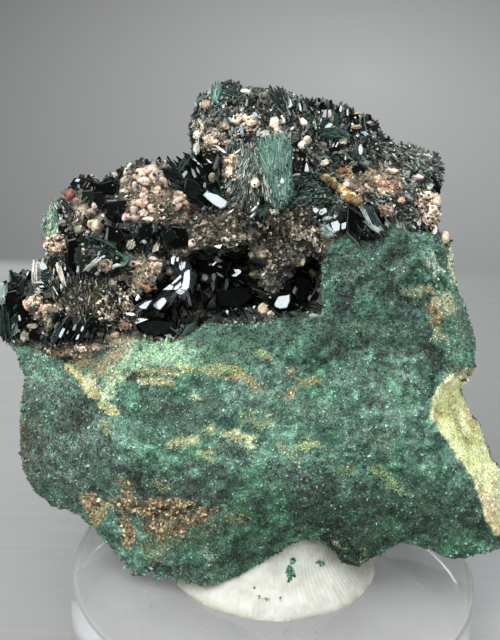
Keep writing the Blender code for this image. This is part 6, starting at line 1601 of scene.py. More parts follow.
def strewn(loops, count, length, width, thick, palette, seed, lit=0.12, toward=0.5, lift=0.1):
    """Tabular crystals lying over part of the rock; some catch the light."""
    p, n, _ = zone(loops, count, seed)
    r = np.random.default_rng(seed + 1)
    flat = unit(n * 0.4 + VIEW * toward + r.normal(0, 0.55, (count, 3)))
    catch = r.random(count) < lit
    flat[catch] = unit(HALF + r.normal(0, 0.05, (catch.sum(), 3)))
    axis = tangent(flat, r)
    size = np.exp(0.35 * r.normal(size=count))
    size[catch] *= 0.55
    return blades(p + n * lift, axis, flat, length * size, width * size, thick * size, picked(palette, count, seed + 2, 0.3), seed + 3)


BLACK_ZONES = [
    [(70, 178), (118, 178), (128, 198), (124, 226), (108, 238), (96, 236), (86, 222), (98, 212), (80, 208), (78, 190)],
    [(158, 160), (186, 160), (200, 156), (222, 158), (222, 200), (200, 208), (190, 200), (176, 186), (168, 172)],
    [(104, 236), (128, 228), (176, 226), (190, 240), (176, 256), (150, 252), (120, 248)],
    [(0, 268), (34, 268), (34, 290), (22, 300), (30, 320), (20, 338), (0, 338)],
    [(50, 312), (90, 318), (108, 320), (106, 336), (52, 342)],
    [(345, 205), (380, 210), (386, 236), (350, 240)],
    [(66, 236), (80, 236), (78, 272), (64, 276)],
    [(40, 282), (62, 280), (60, 298), (44, 300)],
]
CREST_ZONES = [
    [(298, 100), (335, 98), (350, 116), (345, 126), (310, 128), (298, 120)],
    [(346, 112), (378, 118), (384, 140), (398, 148), (420, 148), (420, 162), (384, 162), (350, 140)],
    [(405, 206), (418, 206), (414, 230), (404, 226)],
    [(190, 100), (204, 96), (206, 122), (190, 128)],
    [(265, 98), (296, 98), (298, 122), (262, 118)],
]
CREAM_ZONES = [
    [(122, 178), (130, 164), (157, 166), (170, 190), (187, 197), (192, 208), (184, 222), (134, 222), (122, 216)],
    [(42, 236), (62, 232), (68, 244), (60, 256), (44, 250)],
    [(86, 208), (98, 208), (102, 234), (90, 234)],
    [(100, 258), (112, 262), (108, 272), (98, 270)],
    [(146, 262), (162, 258), (178, 270), (180, 280), (160, 284), (146, 276)],
    [(50, 344), (72, 342), (100, 350), (96, 358), (60, 356)],
    [(92, 300), (130, 288), (136, 310), (118, 322), (100, 320)],
    [(24, 298), (38, 293), (50, 306), (46, 316), (30, 312)],
]
SHOULDER_ZONES = [
    [(194, 128), (206, 120), (222, 124), (228, 138), (220, 150), (204, 156), (194, 146)],
    [(232, 112), (260, 112), (262, 134), (236, 136)],
    [(222, 156), (238, 154), (236, 180), (222, 180)],
]
ROSY_ZONES = [
    [(352, 180), (402, 176), (404, 190), (372, 198), (354, 196)],
    [(412, 194), (440, 193), (440, 216), (432, 230), (416, 216)],
    [(378, 204), (394, 204), (394, 216), (380, 216)],
]
BROWN_ZONES = [
    [(188, 204), (240, 206), (266, 226), (262, 246), (220, 248), (186, 240)],
    [(262, 210), (318, 206), (322, 250), (310, 262), (264, 256)],
    [(104, 286), (136, 286), (150, 270), (182, 284), (150, 298), (132, 328), (108, 326)],
    [(266, 262), (300, 254), (298, 272), (270, 286)],
]
CREAMS = [(4, (224, 204, 182)), (3, (212, 188, 166)), (1, (238, 226, 206)), (2, (196, 166, 144)), (1.4, (164, 132, 112)), (1.4, (112, 96, 82)), (1.4, (62, 56, 48))]
ROSES = [(3, (206, 178, 156)), (2, (192, 146, 126)), (2, (222, 204, 182)), (1, (162, 122, 104)), (1.6, (104, 94, 82)), (0.8, (60, 56, 50))]
BROWNS = [(3, (114, 105, 92)), (2.8, (82, 77, 68)), (1.8, (156, 145, 126)), (2.6, (44, 42, 38)), (1.0, (200, 188, 166)), (1.2, (122, 130, 122)), (1.9, (24, 26, 24))]
MIXED = [(3.0, (120, 124, 112)), (2, (70, 78, 72)), (2, (34, 38, 36)), (1.6, (176, 172, 152)), (1.2, (216, 206, 184)), (1, (92, 124, 108)), (0.8, (150, 126, 98))]


def sprinkled(loops, count, low, high, palette, seed, lift=0.1, fine=False, spread=0.22):
    p, n, _ = zone(loops, count, seed)
    r = np.random.default_rng(seed + 1)
    radius = low + (high - low) * r.random(count) ** 2
    p = p + n * (radius * r.uniform(-0.1, 0.8, count) + lift * r.random(count))[:, None]
    return grains(p, radius, picked(palette, count, seed + 2, spread), seed + 3, fine=fine)


def radial(base, first, last, inner, outer, count, colours, seed, wide, thick, proud=0.35, tilt=0.35):
    """Blades that fan out from one point; angles in degrees, 90 straight up in the drawing."""
    r = np.random.default_rng(seed)
    angle = np.radians(np.linspace(first, last, count) + r.uniform(-2, 2, count))
    d = np.c_[np.cos(angle), -np.sin(angle)]
    a = np.array(base) + d * (inner * r.uniform(0.6, 1.3, count))[:, None]
    b = np.array(base) + d * (outer * r.uniform(0.62, 1.06, count))[:, None]
    reach = rock_reach((a + b) / 2) - proud * r.uniform(0.5, 1.5, count)
    p0 = EYE + unit(rays(a)) * reach[:, None]
    p1 = EYE + unit(rays(b)) * reach[:, None]
    axis = p1 - p0
    length = np.linalg.norm(axis, axis=1)
    flat = unit(VIEW[None] + np.cross(VIEW[None], unit(axis)) * r.normal(0, tilt, count)[:, None] + UP * 0.15)
    return blades((p0 + p1) / 2, axis / length[:, None], flat, length, wide * r.uniform(0.6, 1.5, count), thick * r.uniform(0.7, 1.3, count), colours, seed + 1)


def crest(points, count, long, seed, palette):
    """Small blades that stand out along the top of the drawing's outline."""
    r = np.random.default_rng(seed)
    p = np.array(points, float)
    step = np.linalg.norm(np.diff(p, axis=0), axis=1)
    s = np.sort(r.random(count)) * step.sum()
    k = np.clip(np.searchsorted(np.cumsum(step), s), 0, len(step) - 1)
    t = (s - np.r_[0, np.cumsum(step)][k]) / step[k]
    q = p[k] + (p[k + 1] - p[k]) * t[:, None]
    out = np.c_[(p[k + 1] - p[k])[:, 1], -(p[k + 1] - p[k])[:, 0]] / step[k][:, None]
    q = q - out * r.uniform(1.0, 5.0, count)[:, None]
    centre = place(q, front_depth(q) + r.uniform(-0.2, 1.2, count))
    axis = unit(np.outer(out[:, 0], RIGHT) - np.outer(out[:, 1], UP) + r.normal(0, 0.55, (count, 3)))
    flat = tangent(axis, r)
    size = np.exp(0.35 * r.normal(size=count))
    return blades(centre, axis, flat, long * size, 0.30 * size, 0.12 * size, picked(palette, count, seed + 2, 0.3), seed + 3)


pocket_inner = [POCKET]


def few(name, parts, material, nodes=()):
    v, t, c, uv = joined(parts)
    SOLID.append((v, t))
    return add(name, fast_mesh(name, v, t, c, uv), material, nodes)


def around(u, v):
    """Headings that run away from a point of the drawing."""
    return lambda q: np.degrees(np.arctan2(-(q[:, 1] - v), q[:, 0] - u))


TEALS = [(3, (90, 124, 112)), (3, (100, 138, 125)), (2, (78, 110, 99)), (1.0, (134, 164, 153)), (0.4, (56, 80, 71))]
GREYS = [(3, (106, 116, 110)), (2, (72, 80, 76)), (1.8, (142, 152, 144)), (1.2, (36, 42, 40)), (0.9, (172, 178, 168)), (0.5, (200, 194, 178))]
DARKS = [(3, (42, 48, 46)), (2.2, (22, 26, 25)), (2.6, (76, 84, 80)), (1.6, (112, 120, 116)), (0.6, (38, 66, 56)), (0.8, (152, 160, 158))]
SHEAF = [(3, (84, 80, 64)), (2.4, (62, 60, 50)), (3.4, (32, 33, 28)), (1.2, (116, 110, 90)), (0.6, (156, 149, 126)), (0.5, (52, 66, 58))]
PALE = [(3, (176, 172, 156)), (2, (206, 204, 190)), (1, (120, 130, 120)), (1, (96, 88, 74))]

print("crystals")
LEFT_LOW = [(0, 280), (20, 284), (32, 280), (34, 290), (22, 300), (30, 320), (20, 338), (0, 338)]
TAB_ZONES = [BLACK_ZONES[0], BLACK_ZONES[2], BLACK_ZONES[6], BLACK_ZONES[7]]
few("left_blades_detail", [strewn([BLACK_ZONES[3]], 110, 0.55, 0.32, 0.14, COALS, 420),
                           fibres(LEFT_LOW, 150, 80, (4, 12), 0.28, 0.22, COALS, 421, 0.2, 30)], coal, ("left_edge_blades",))
few("tabular_detail", [strewn(TAB_ZONES, 60, 0.8, 0.5, 0.16, COALS, 430, 0.05)] +
    [fibres(z, 60, 60 + 40 * i, (5, 16), 0.26, 0.2, COALS, 431 + 10 * i, 0.2, 35) for i, z in enumerate(TAB_ZONES)],
    coal, ("tabular_crystals",))
few("pocket_blades_detail", [strewn([POCKET], 160, 0.85, 0.45, 0.14, COALS, 400, 0.02, 0.9, 0.05),
                             fibres(POCKET, 300, around(196, 250), (6, 22), 0.24, 0.16, COALS, 402, 0.3, 24)],
    coal, ("pocket_blades",))
few("fan_detail", [radial((216, 204), 100, 168, 14, 44, 26, picked(COALS, 26, 441, 0.3), 440, 0.36, 0.12, 0.3, 0.9),
                   fibres(BLACK_ZONES[1], 260, around(222, 212), (8, 26), 0.26, 0.14, COALS, 445, 0.4, 9)], coal, ("blade_fan",))
few("comb_detail", [bundle((312, 122), (314, 102), 28, 15, picked(BLACKS, 15, 451), 450, 0.05, 0.3, 0.3),
                    bundle((362, 138), (358, 118), 26, 12, picked(BLACKS, 12, 453), 452, 0.1, 0.3, 0.3),
                    strewn(CREST_ZONES, 120, 0.5, 0.22, 0.1, BLACKS, 455, 0.10, 0.4),
                    fibres([(294, 100), (336, 99), (360, 116), (384, 138), (346, 146), (300, 140)], 420, 84, (4, 13), 0.26, 0.18, DARKS, 456, 0.3, 18),
                    fibres([(190, 100), (212, 86), (262, 90), (296, 98), (298, 136), (262, 142), (232, 150), (200, 152), (190, 130)], 560, 92, (3, 10), 0.26, 0.18, DARKS + GREYS, 457, 0.25, 34),
                    fibres([(300, 140), (345, 148), (384, 142), (425, 152), (442, 164), (440, 196), (404, 196), (400, 168), (340, 166), (300, 175)], 700, 150, (3, 11), 0.26, 0.18, DARKS + GREYS[:3], 458, 0.25, 28),
                    fibres([(344, 196), (412, 190), (440, 196), (436, 234), (388, 226), (350, 206)], 320, 120, (3, 10), 0.25, 0.18, DARKS + GREYS[:3], 459, 0.25, 40)],
    ink, ("crest_comb",))
settle()
few("columns_detail", [packed([knob(277, 160, 14, 21, rgb(82, 126, 110), 4601, 0.35, 0.10), knob(277, 184, 13, 20, rgb(78, 120, 105), 4602, 0.35, 0.10), knob(250, 180, 15, 24, rgb(70, 82, 76), 4603, 0.2, 0.12)])], silky, ("green_columns",))
settle()
few("columns_fibres", [fibres([(258, 148), (266, 138), (276, 135), (286, 139), (293, 152), (291, 170), (294, 188), (286, 203), (276, 210), (270, 203), (272, 188), (262, 176), (254, 160)], 1100, lambda q: 96 - (q[:, 0] - 276) * 0.8, (4, 15), 0.10, 0.08, TEALS, 461, 0.04, 7, 0.03, 0.16, 0.5),
                       fibres([(230, 154), (244, 146), (260, 142), (256, 160), (264, 178), (272, 190), (270, 204), (258, 214), (234, 208), (226, 180)], 800, lambda q: 60 + (q[:, 0] - 226) * 1.0, (4, 13), 0.11, 0.10, GREYS, 465, 0.12, 14, 0.1),
                       fibres([(288, 172), (332, 174), (336, 204), (290, 210)], 300, 20, (4, 12), 0.13, 0.11, TEALS[:3] + DARKS[:3], 467, 0.15, 30)], silky)
few("plates_detail", [strewn([BLACK_ZONES[5]], 50, 0.6, 0.3, 0.12, BLACKS, 470, 0.05),
                      fibres(BLACK_ZONES[5], 120, 130, (6, 18), 0.22, 0.16, BLACKS, 472, 0.2, 14)], ink, ("stacked_plates",))
few("sheaf_detail", [fibres([(58, 300), (66, 280), (84, 272), (104, 276), (118, 292), (112, 316), (92, 324), (68, 322)], 1000, around(86, 340), (3, 10), 0.09, 0.08, SHEAF, 480, 0.22, 15, 0.08),
                     fibres([(96, 286), (132, 284), (150, 300), (132, 328), (104, 326)], 420, 120, (4, 12), 0.11, 0.10, SHEAF + PALE, 482, 0.25, 40),
                     fibres([(46, 262), (66, 262), (66, 300), (50, 300)], 220, 70, (3, 9), 0.11, 0.1, PALE + SHEAF + SHEAF, 484, 0.15, 40),
                     fibres([(40, 205), (60, 202), (62, 236), (40, 238)], 200, 80, (5, 13), 0.12, 0.1, [(3, (118, 150, 132)), (3, (152, 178, 160)), (1, (190, 204, 190)), (1, (74, 98, 86))], 486, 0.2, 25)], silky, ("wheat_sheaf",))
few("sheaf_blacks", [strewn([BLACK_ZONES[4]], 60, 0.7, 0.34, 0.14, COALS, 490, 0.06),
                     fibres(BLACK_ZONES[4], 200, 60, (6, 20), 0.22, 0.16, COALS, 492, 0.3, 14)], coal)
few("dome_detail", [packed([knob(98, 258, 22, 17, rgb(18, 34, 29), 4951, 0.3, 0.06)]),
                    fibres([(78, 262), (80, 248), (90, 241), (100, 239), (118, 248), (120, 258), (100, 258), (88, 264)], 190, lambda q: around(98, 274)(q) + 90, (8, 26), 0.26, 0.16,
                           [(4, (18, 36, 30)), (1, (46, 72, 62)), (2, (10, 16, 14)), (0.5, (84, 110, 100))], 496, 0.9, 6)], coal)
settle()
few("black_faces", [packed(x) for x in faces_of("dark", 0.02, 0.8).values()], blackest)
settle()

print("grains")
lumps = {}


def muted(tone):
    c = rgb(*tone)
    return (c * 0.72 + 0.28 * c.mean() * np.array([1.06, 1.0, 0.92])) * 0.80


for i, (group, u, v, ru, rv, tone) in enumerate(KNOBS):
    shade = {"knobs": 1.24, "crust": 0.89, "rosy": 1.26}[group] * (np.array([1.04, 0.95, 0.98]) if group == "crust" else 1.0)
    slim = 0.82 if group == "crust" else 0.9
    lumps.setdefault(group, []).append(knob(u, v, ru * slim, rv * slim, np.clip(muted(tone) * shade, 0, 0.9), 5000 + i, 0.25 + 0.65 * ((i * 0.618) % 1.0)))
few("cream_crust_detail", [packed(lumps["crust"])], sugary, ("cream_crust",))
few("cream_knobs_detail", [packed(lumps["knobs"])], sugary, ("cream_knobs",))
few("rosy_crust_detail", [packed(lumps["rosy"])], sugary, ("rosy_crust",))
rod_line = np.array([(325, 178), (331, 182), (337, 186.5), (343, 191), (349, 196), (355, 200), (359, 203)], float)
rod = []
for i in range(26):
    t = i / 25 * 5.99
    k = int(t)
    u, v = rod_line[k] + (rod_line[k + 1] - rod_line[k]) * (t - k) + np.random.default_rng(600 + i).normal(0, 0.9, 2)
    tone = [(204, 172, 116), (184, 146, 90), (216, 190, 134), (150, 114, 66), (226, 206, 166)][i % 5]
    rod.append(knob(u, v, 3.4, 3.2, rgb(*tone) * 0.82, 620 + i, proud=1.3))
few("ochre_rod_detail", [packed(rod)], sugary, ("ochre_rod",))
settle()


def crumbs_at(loops, count, low, high, palette, seed, proud=0.4, tone=0.22):
    """Small angular grains on whatever lies in front inside the drawn loops."""
    r = np.random.default_rng(seed)
    q = []
    for loop in loops:
        p = np.array(loop, float)
        a = p.min(0) + (p.max(0) - p.min(0)) * r.random((count * 3 // len(loops), 2))
        q.append(a[inside(a, loop)])
    q = np.vstack(q)
    dark = np.zeros(len(q), bool)
    for loop in BLACK_ZONES + [POCKET]:
        dark |= inside(q, loop)
    q = q[~dark | (r.random(len(q)) < 0.06)]
    q = q[r.permutation(len(q))][:count]
    q = q[[LAID[-1].ray_cast(Vector(EYE), Vector(d))[0] is not None for d in unit(rays(q))]]
    m = len(q)
    radius = low + (high - low) * r.random(m) ** 2
    c = EYE + unit(rays(q)) * (rock_reach(q) - radius * proud * r.uniform(0.2, 1.4, m))[:, None]
    # painted shade: the grains darker in the crevices of the upper mass
    return grains(c, radius, painted_crevice_shade(picked(palette, m, seed + 2, tone), c, 0.9), seed + 3, lumpy=0.3, stretch=0.35)


few("cream_crumbs", [crumbs_at(CREAM_ZONES, 1100, 0.05, 0.17, CREAMS, 500), crumbs_at(SHOULDER_ZONES, 550, 0.05, 0.15, [(w * (1.6 if c[0] > 200 else 0.6), c) for w, c in CREAMS], 510),
                     crumbs_at(ROSY_ZONES, 600, 0.05, 0.16, [(w * (1.5 if c[0] > 200 else 0.8), c) for w, c in ROSES], 520)], sugary)
few("brown_crumbs", [crumbs_at(BROWN_ZONES, 2300, 0.05, 0.19, BROWNS, 530, 0.8, 0.35)], sugary)
UPPER_ALL = [[(190, 96), (216, 84), (262, 90), (300, 102), (347, 109), (384, 138), (420, 150), (440, 164), (438, 228), (386, 222), (346, 206), (322, 250), (264, 260),
              (190, 244), (186, 204), (200, 200), (204, 160)],
             [(44, 212), (66, 196), (128, 166), (190, 205), (186, 250), (120, 300), (60, 340), (20, 330), (34, 270)]]
few("mixed_crumbs", [crumbs_at(UPPER_ALL, 1400, 0.05, 0.16, MIXED, 540, 0.6, 0.35)], sugary)
few("satin_crystals", [packed(x) for x in faces_of("satin", 0.06, 0.45).values()], satin)
settle()
stripes = []
for i, (group, colour, look, points) in enumerate(FACETS):
    p = np.array(points, float)
    area = abs((np.roll(p, -1, 0)[:, 0] * p[:, 1] - p[:, 0] * np.roll(p, -1, 0)[:, 1]).sum()) / 2
    if colour is W or colour is WC or max(colour) < 0.02 or area < 34:
        continue
    values, vectors = np.linalg.eigh(np.cov((p - p.mean(0)).T))
    long = vectors[:, 1]
    reach = np.ptp((p - p.mean(0)) @ long)
    seen_as = [tuple(255 * np.clip(f * colour, 0, 0.9) ** (1 / 2.2)) for f in (1.0, 0.55, 1.7, 0.3)]
    stripes.append(fibres(points, int(area / 3.2), math.degrees(math.atan2(-long[1], long[0])), (reach * 0.2, reach * 0.75), 0.12, 0.07,
                          list(zip((3, 2, 1.6, 1), seen_as)), 6000 + i, 0.02, 4, 0.02, 0.15, 0.4))
few("striated_faces", stripes, satin)
settle()
# pale faces turned to the lamps: painted highlight on top of the lamps' reflection
shine = faces_of("shine", 0.08, 0.4)
few("bright_faces", [packed(x) for x in shine.values()], gloss)

print("crest")
LEFT_CREST = [(-1, 298), (2, 284), (8, 273), (22, 277), (30, 274), (36, 265), (48, 257)]
UPPER_CREST = [(66, 190), (80, 177), (102, 179), (114, 172), (133, 163), (147, 159), (159, 161), (170, 169), (182, 161), (194, 154)]
TOP_CREST = [(191, 140), (194, 128), (191, 120), (200, 107), (202, 97), (211, 91), (217, 83), (229, 82), (243, 87), (262, 89), (282, 92),
             (302, 101), (331, 102), (347, 108), (358, 115), (376, 123), (384, 137), (400, 148), (421, 150), (434, 153), (441, 163), (439, 178), (439, 198)]
few("crest_points", [crest([(u, v + 6) for u, v in LEFT_CREST], 30, 0.4, 700, COALS), crest(UPPER_CREST, 44, 0.5, 710, BLACKS + MIXED[:2]), crest(TOP_CREST, 80, 0.36, 720, BLACKS + MIXED[:3])],
    ink)
# tiny blades turned to the key to glint, in greys and grey-greens, some pale: painted highlight on top of the key's
# reflection
p, n, chosen = sampled(tri_upper * 1.0 + tri_pocket * 0.5, 240, 560)
r = np.random.default_rng(561)
flat = unit(HALF + r.normal(0, 0.06, (240, 3)))
size = 0.10 + 0.22 * r.random(240) ** 3
few("glints", [blades(p + n * 0.18, tangent(flat, r), flat, size * 1.6, size, size * 0.25, picked([(2, (110, 124, 126)), (1, (150, 150, 140)), (2, (60, 80, 76))], 240, 562), 563)],
    gloss)

# ---------------------------------------------------------------- putty and round

print("stand")
PUTTY_CENTRE = np.array([-0.4, 2.3])
PUTTY_PROFILE = np.array([(0.0, 10.15), (0.25, 10.12), (0.6, 9.95), (1.1, 9.55), (2.2, 8.35), (3.2, 7.6), (4.4, 7.1), (5.6, 6.8), (6.3, 6.3)])


def putty_mesh():
    around, levels = 420, 46
    a = np.linspace(0, 2 * math.pi, around, endpoint=False)
    h = np.linspace(0, 6.3, levels) ** 1.0
    aa, hh = np.meshgrid(a, h)
    radius = np.interp(hh, PUTTY_PROFILE[:, 0], PUTTY_PROFILE[:, 1])
    flow = np.c_[np.cos(aa.ravel()) * 9, np.sin(aa.ravel()) * 9, hh.ravel()]
    wander = bumps(flow * np.array([1, 1, 0.5]), 3.0, 801).reshape(hh.shape)
    lump = 0.16 * bumps(flow, 4.0, 802) + 0.10 * bumps(flow, 1.7, 803) + 0.03 * bumps(flow, 0.6, 804)
    # finger ridges: narrow, upright, wandering and worn away in places
    phase = (aa * 9.2 + 0.10 * hh + 0.30 * wander) / 0.47 * 2 * math.pi
    worn = np.clip(0.55 + 0.9 * bumps(flow, 2.6, 805).reshape(hh.shape), 0, 1)
    ridge = 0.055 * worn * np.sign(np.sin(phase)) * np.abs(np.sin(phase)) ** 0.7
    thumb = 0.0
    for angle, height, wide, deep in ((-1.75, 2.4, 2.0, 0.22), (-1.1, 2.0, 1.8, 0.2), (-2.4, 1.8, 1.8, 0.18), (-0.4, 2.2, 2.0, 0.2), (0.7, 2.4, 2.2, 0.2), (2.0, 2.3, 2.1, 0.2), (3.0, 2.2, 2.0, 0.2)):
        off = np.angle(np.exp(1j * (aa - angle))) * 9.0
        thumb = thumb + deep * np.exp(-(off / wide) ** 2 - ((hh - height) / 1.4) ** 2)
    foot = np.clip(hh / 0.5, 0, 1)
    r = radius + foot * (lump.reshape(hh.shape) * 0.8 + ridge - thumb)
    x = PUTTY_CENTRE[0] + r * np.cos(aa)
    y = PUTTY_CENTRE[1] + r * np.sin(aa)
    v = np.c_[x.ravel(), y.ravel(), (ROUND_THICKNESS + hh).ravel()]
    i, j = np.meshgrid(np.arange(around), np.arange(levels - 1))
    i, j = i.ravel(), j.ravel()
    k = (i + 1) % around
    lo, lo2, up, up2 = j * around + i, j * around + k, (j + 1) * around + i, (j + 1) * around + k
    t = np.vstack([np.c_[lo, lo2, up2], np.c_[lo, up2, up]])
    top = np.r_[PUTTY_CENTRE, ROUND_THICKNESS + 6.35][None]
    last = (levels - 1) * around
    cap = np.c_[last + np.arange(around), last + (np.arange(around) + 1) % around, np.full(around, len(v))]
    v = np.vstack([v, top])
    t = np.vstack([t, cap])
    p = v
    colour = mix(rgb(186, 187, 176), rgb(212, 213, 205), 0.5 + 0.5 * bumps(p, 1.2, 811) + 0.3 * bumps(p, 0.35, 812))
    # painted light: the putty lighter towards its right side, offsetting the stone's shadow there
    colour = colour * (1 + 0.16 * np.clip((p[:, 0] - 1.0) / 7.0, 0, 1))[:, None]
    q = drawn(p)
    # darker and browner towards the foot, within half a millimetre of the round, broken up by noise
    browner_at_foot = np.clip(1 - (p[:, 2] - ROUND_THICKNESS) / 0.5, 0, 1) * np.clip(0.5 + bumps(p, 0.9, 813) + 0.7 * bumps(p, 0.3, 814), 0, 1)
    colour = mix(colour, rgb(170, 158, 132), browner_at_foot * 0.75)
    front = p[:, 1] < PUTTY_CENTRE[1]
    for tone, width, points in (
        (rgb(120, 128, 110), 1.6, [(280, 597), (281, 600)]),
        (rgb(96, 118, 96), 1.3, [(254, 587), (255, 589)]), (rgb(130, 132, 112), 1.4, [(257, 596), (263, 598), (270, 600)]),
        (rgb(80, 128, 100), 1.5, [(321, 562), (324, 565)]), (rgb(196, 196, 180), 4.0, [(190, 590), (214, 604), (240, 612)]),
    ):
        d = distance_to(q, points)
        colour = mix(colour, tone, np.where(front, np.clip((width - d) / 1.2, 0, 1) * 0.8, 0))
    local = np.c_[aa.ravel() / (2 * math.pi), hh.ravel() / 6.3 * 0.9]
    uv = np.vstack([local, [[0.5, 0.98]]])
    return v, t, colour, uv


putty_v, putty_t, putty_c, putty_uv = putty_mesh()
putty_material = grainy("putty_kneaded", 0.62, 1.5, (0.96, 1.04), 1400.0, bump=(2600.0, 0.25, 0.00005), spec=0.35)
putty_material.node_tree.nodes["Principled BSDF"].inputs["Subsurface Weight"].default_value = 0.12
putty_material.node_tree.nodes["Principled BSDF"].inputs["Subsurface Radius"].default_value = (0.0009, 0.0007, 0.0005)
add("putty", fast_mesh("putty", putty_v, putty_t, putty_c, smooth=True), putty_material, ("putty_mound",))
putty_tree = BVHTree.FromPolygons([Vector(p) for p in putty_v], [tuple(t) for t in putty_t.tolist()])


def on_putty(points, count, seed):
    r = np.random.default_rng(seed)
    out = []
    for u, v, spread in points:
        for _ in range(count):
            q = np.array([[u + r.normal(0, spread), v + r.normal(0, spread)]])
            hit = putty_tree.ray_cast(Vector(EYE), Vector(unit(rays(q))[0]))[0]
            if hit is not None:
                out.append(np.array(hit))
    return np.array(out)


crumb = on_putty([(293, 561, 1.3), (290, 568, 1.9), (291, 573, 2.2), (290, 577, 1.6), (321, 563, 1.3)], 15, 820)
crumb_b = on_putty([(254, 588, 0.5), (259, 597, 0.8), (266, 599, 0.9), (280, 598, 0.6)], 4, 821)
few("crumbs_on_putty", [grains(crumb, 0.14, picked([(2, (70, 120, 92)), (1, (120, 170, 140)), (1, (40, 74, 60))], len(crumb), 822), 823),
                        grains(crumb_b, 0.07, picked([(1, (60, 70, 60)), (1, (96, 90, 70))], len(crumb_b), 824), 825)], sugary)


def round_mesh():
    """The clear round: a lathe with softened rims."""
    radius, soft, around = ROUND_DIAMETER / 2, 0.45, 360
    line = [(0.0, 0.0)]
    for k in range(7):
        a = math.radians(-90 + 15 * k)
        line.append((radius - soft + soft * math.cos(a), soft + soft * math.sin(a)))
    for k in range(7):
        a = math.radians(15 * k)
        line.append((radius - soft + soft * math.cos(a), ROUND_THICKNESS - soft + soft * math.sin(a)))
    line.append((0.0, ROUND_THICKNESS))
    line = np.array(line)
    inner = line[1:-1]
    a = np.linspace(0, 2 * math.pi, around, endpoint=False)
    v = np.concatenate([np.c_[r * np.cos(a), r * np.sin(a), np.full(around, max(z, 0.04))] for r, z in inner])
    i = np.arange(around)
    k = (i + 1) % around
    t = []
    for j in range(len(inner) - 1):
        lo, up = j * around, (j + 1) * around
        t += [np.c_[lo + i, lo + k, up + k], np.c_[lo + i, up + k, up + i]]
    n = len(v)
    v = np.vstack([v, [[0, 0, 0.04], [0, 0, ROUND_THICKNESS]]])
    last = (len(inner) - 1) * around
    t += [np.c_[i, np.full(around, n), k], np.c_[last + i, last + k, np.full(around, n + 1)]]
    return v, np.vstack(t)


glass = Nodes("clear_acrylic")
glass.shader.inputs["Base Color"].default_value = (1.0, 1.0, 1.0, 1)
glass.set(rough=0.0, ior=1.49, glass=0.78)
round_v, round_t = round_mesh()
disc_mesh = fast_mesh("clear_round", round_v, round_t)
flat_faces = np.arange(len(round_t)) >= len(round_t) - 720
disc_mesh.polygons.foreach_set("use_smooth", ~flat_faces)
disc_mesh.update()
add("clear_round", disc_mesh, glass.material, ("acrylic_round",))

dust_q = np.random.default_rng(830)
angle = dust_q.uniform(0, 2 * math.pi, 420)
reach = 18.4 * np.sqrt(dust_q.random(420))
dust = np.c_[reach * np.cos(angle), reach * np.sin(angle), np.full(420, ROUND_THICKNESS + 0.02)]
dust = dust[np.hypot(dust[:, 0] - PUTTY_CENTRE[0], dust[:, 1] - PUTTY_CENTRE[1]) > 10.4]
size = 0.018 + 0.03 * dust_q.random(len(dust)) ** 3
specks = on_disc = np.array([[164, 593], [144, 632], [316, 632], [137, 575], [152, 606]], float)
d = unit(rays(specks))
d = EYE + d * ((ROUND_THICKNESS + 0.03 - EYE[2]) / d[:, 2])[:, None]
few("dust_on_round", [grains(dust, size, picked([(3, (206, 206, 200)), (1, (120, 116, 104))], len(dust), 831), 832),
                      grains(d, 0.07, picked([(1, (60, 58, 50))], len(d), 833), 834)], sugary)
# ---------------------------------------------------------------- light, camera, stage


def area_light(name, where, at, size, power, colour=(1, 1, 1), size_y=None):
    data = bpy.data.lights.new(name, "AREA")
    data.shape = "RECTANGLE"
    data.size = size * MM
    data.size_y = (size_y or size) * MM
    data.energy = power
    data.color = colour
    obj = bpy.data.objects.new(name, data)
    obj.location = Vector(where) * MM
    obj.rotation_euler = (Vector(at) - Vector(where)).to_track_quat("-Z", "Y").to_euler()
    bpy.context.scene.collection.objects.link(obj)
    return obj


TARGET = np.array([0.0, 0.0, 32.0])
area_light("key", TARGET + LIGHT_DIR * 420, TARGET, 300, 1.35, (1.0, 0.995, 0.985), 260)
area_light("front", TARGET + FRONT_DIR * 420, TARGET, 120, 0.24)
area_light("right", (330, -160, 170), TARGET, 200, 0.45)
area_light("left", (-340, -120, 120), TARGET, 200, 0.45)

world = bpy.data.worlds.new("studio")
world.use_nodes = True
nodes, links = world.node_tree.nodes, world.node_tree.links
# a broad soft light overhead, dark towards the horizon
sky = nodes.new("ShaderNodeTexCoord")
split = nodes.new("ShaderNodeSeparateXYZ")
links.new(sky.outputs["Generated"], split.inputs[0])
ramp = nodes.new("ShaderNodeMapRange")
ramp.interpolation_type = "SMOOTHSTEP"
for key, number in (("From Min", 0.30), ("From Max", 0.80), ("To Min", 0.08), ("To Max", 1.25)):
    ramp.inputs[key].default_value = number
links.new(split.outputs["Z"], ramp.inputs["Value"])
nodes["Background"].inputs["Color"].default_value = (0.93, 0.97, 1.0, 1)
links.new(ramp.outputs["Result"], nodes["Background"].inputs["Strength"])
bpy.context.scene.world = world

camera = bpy.data.cameras.new("camera")
camera.sensor_width = 36.0
camera.sensor_fit = "AUTO"
camera.lens = FOCAL / 640.0 * 36.0
camera.clip_start = 0.01
camera.clip_end = 10.0
camera_object = bpy.data.objects.new("camera", camera)
camera_object.matrix_world = Matrix([
    [RIGHT[0], UP[0], -FORWARD[0], EYE[0] * MM],
    [RIGHT[1], UP[1], -FORWARD[1], EYE[1] * MM],
    [RIGHT[2], UP[2], -FORWARD[2], EYE[2] * MM],
    [0, 0, 0, 1],
])
bpy.context.scene.collection.objects.link(camera_object)
bpy.context.scene.camera = camera_object
bpy.context.scene.view_settings.view_transform = "Standard"


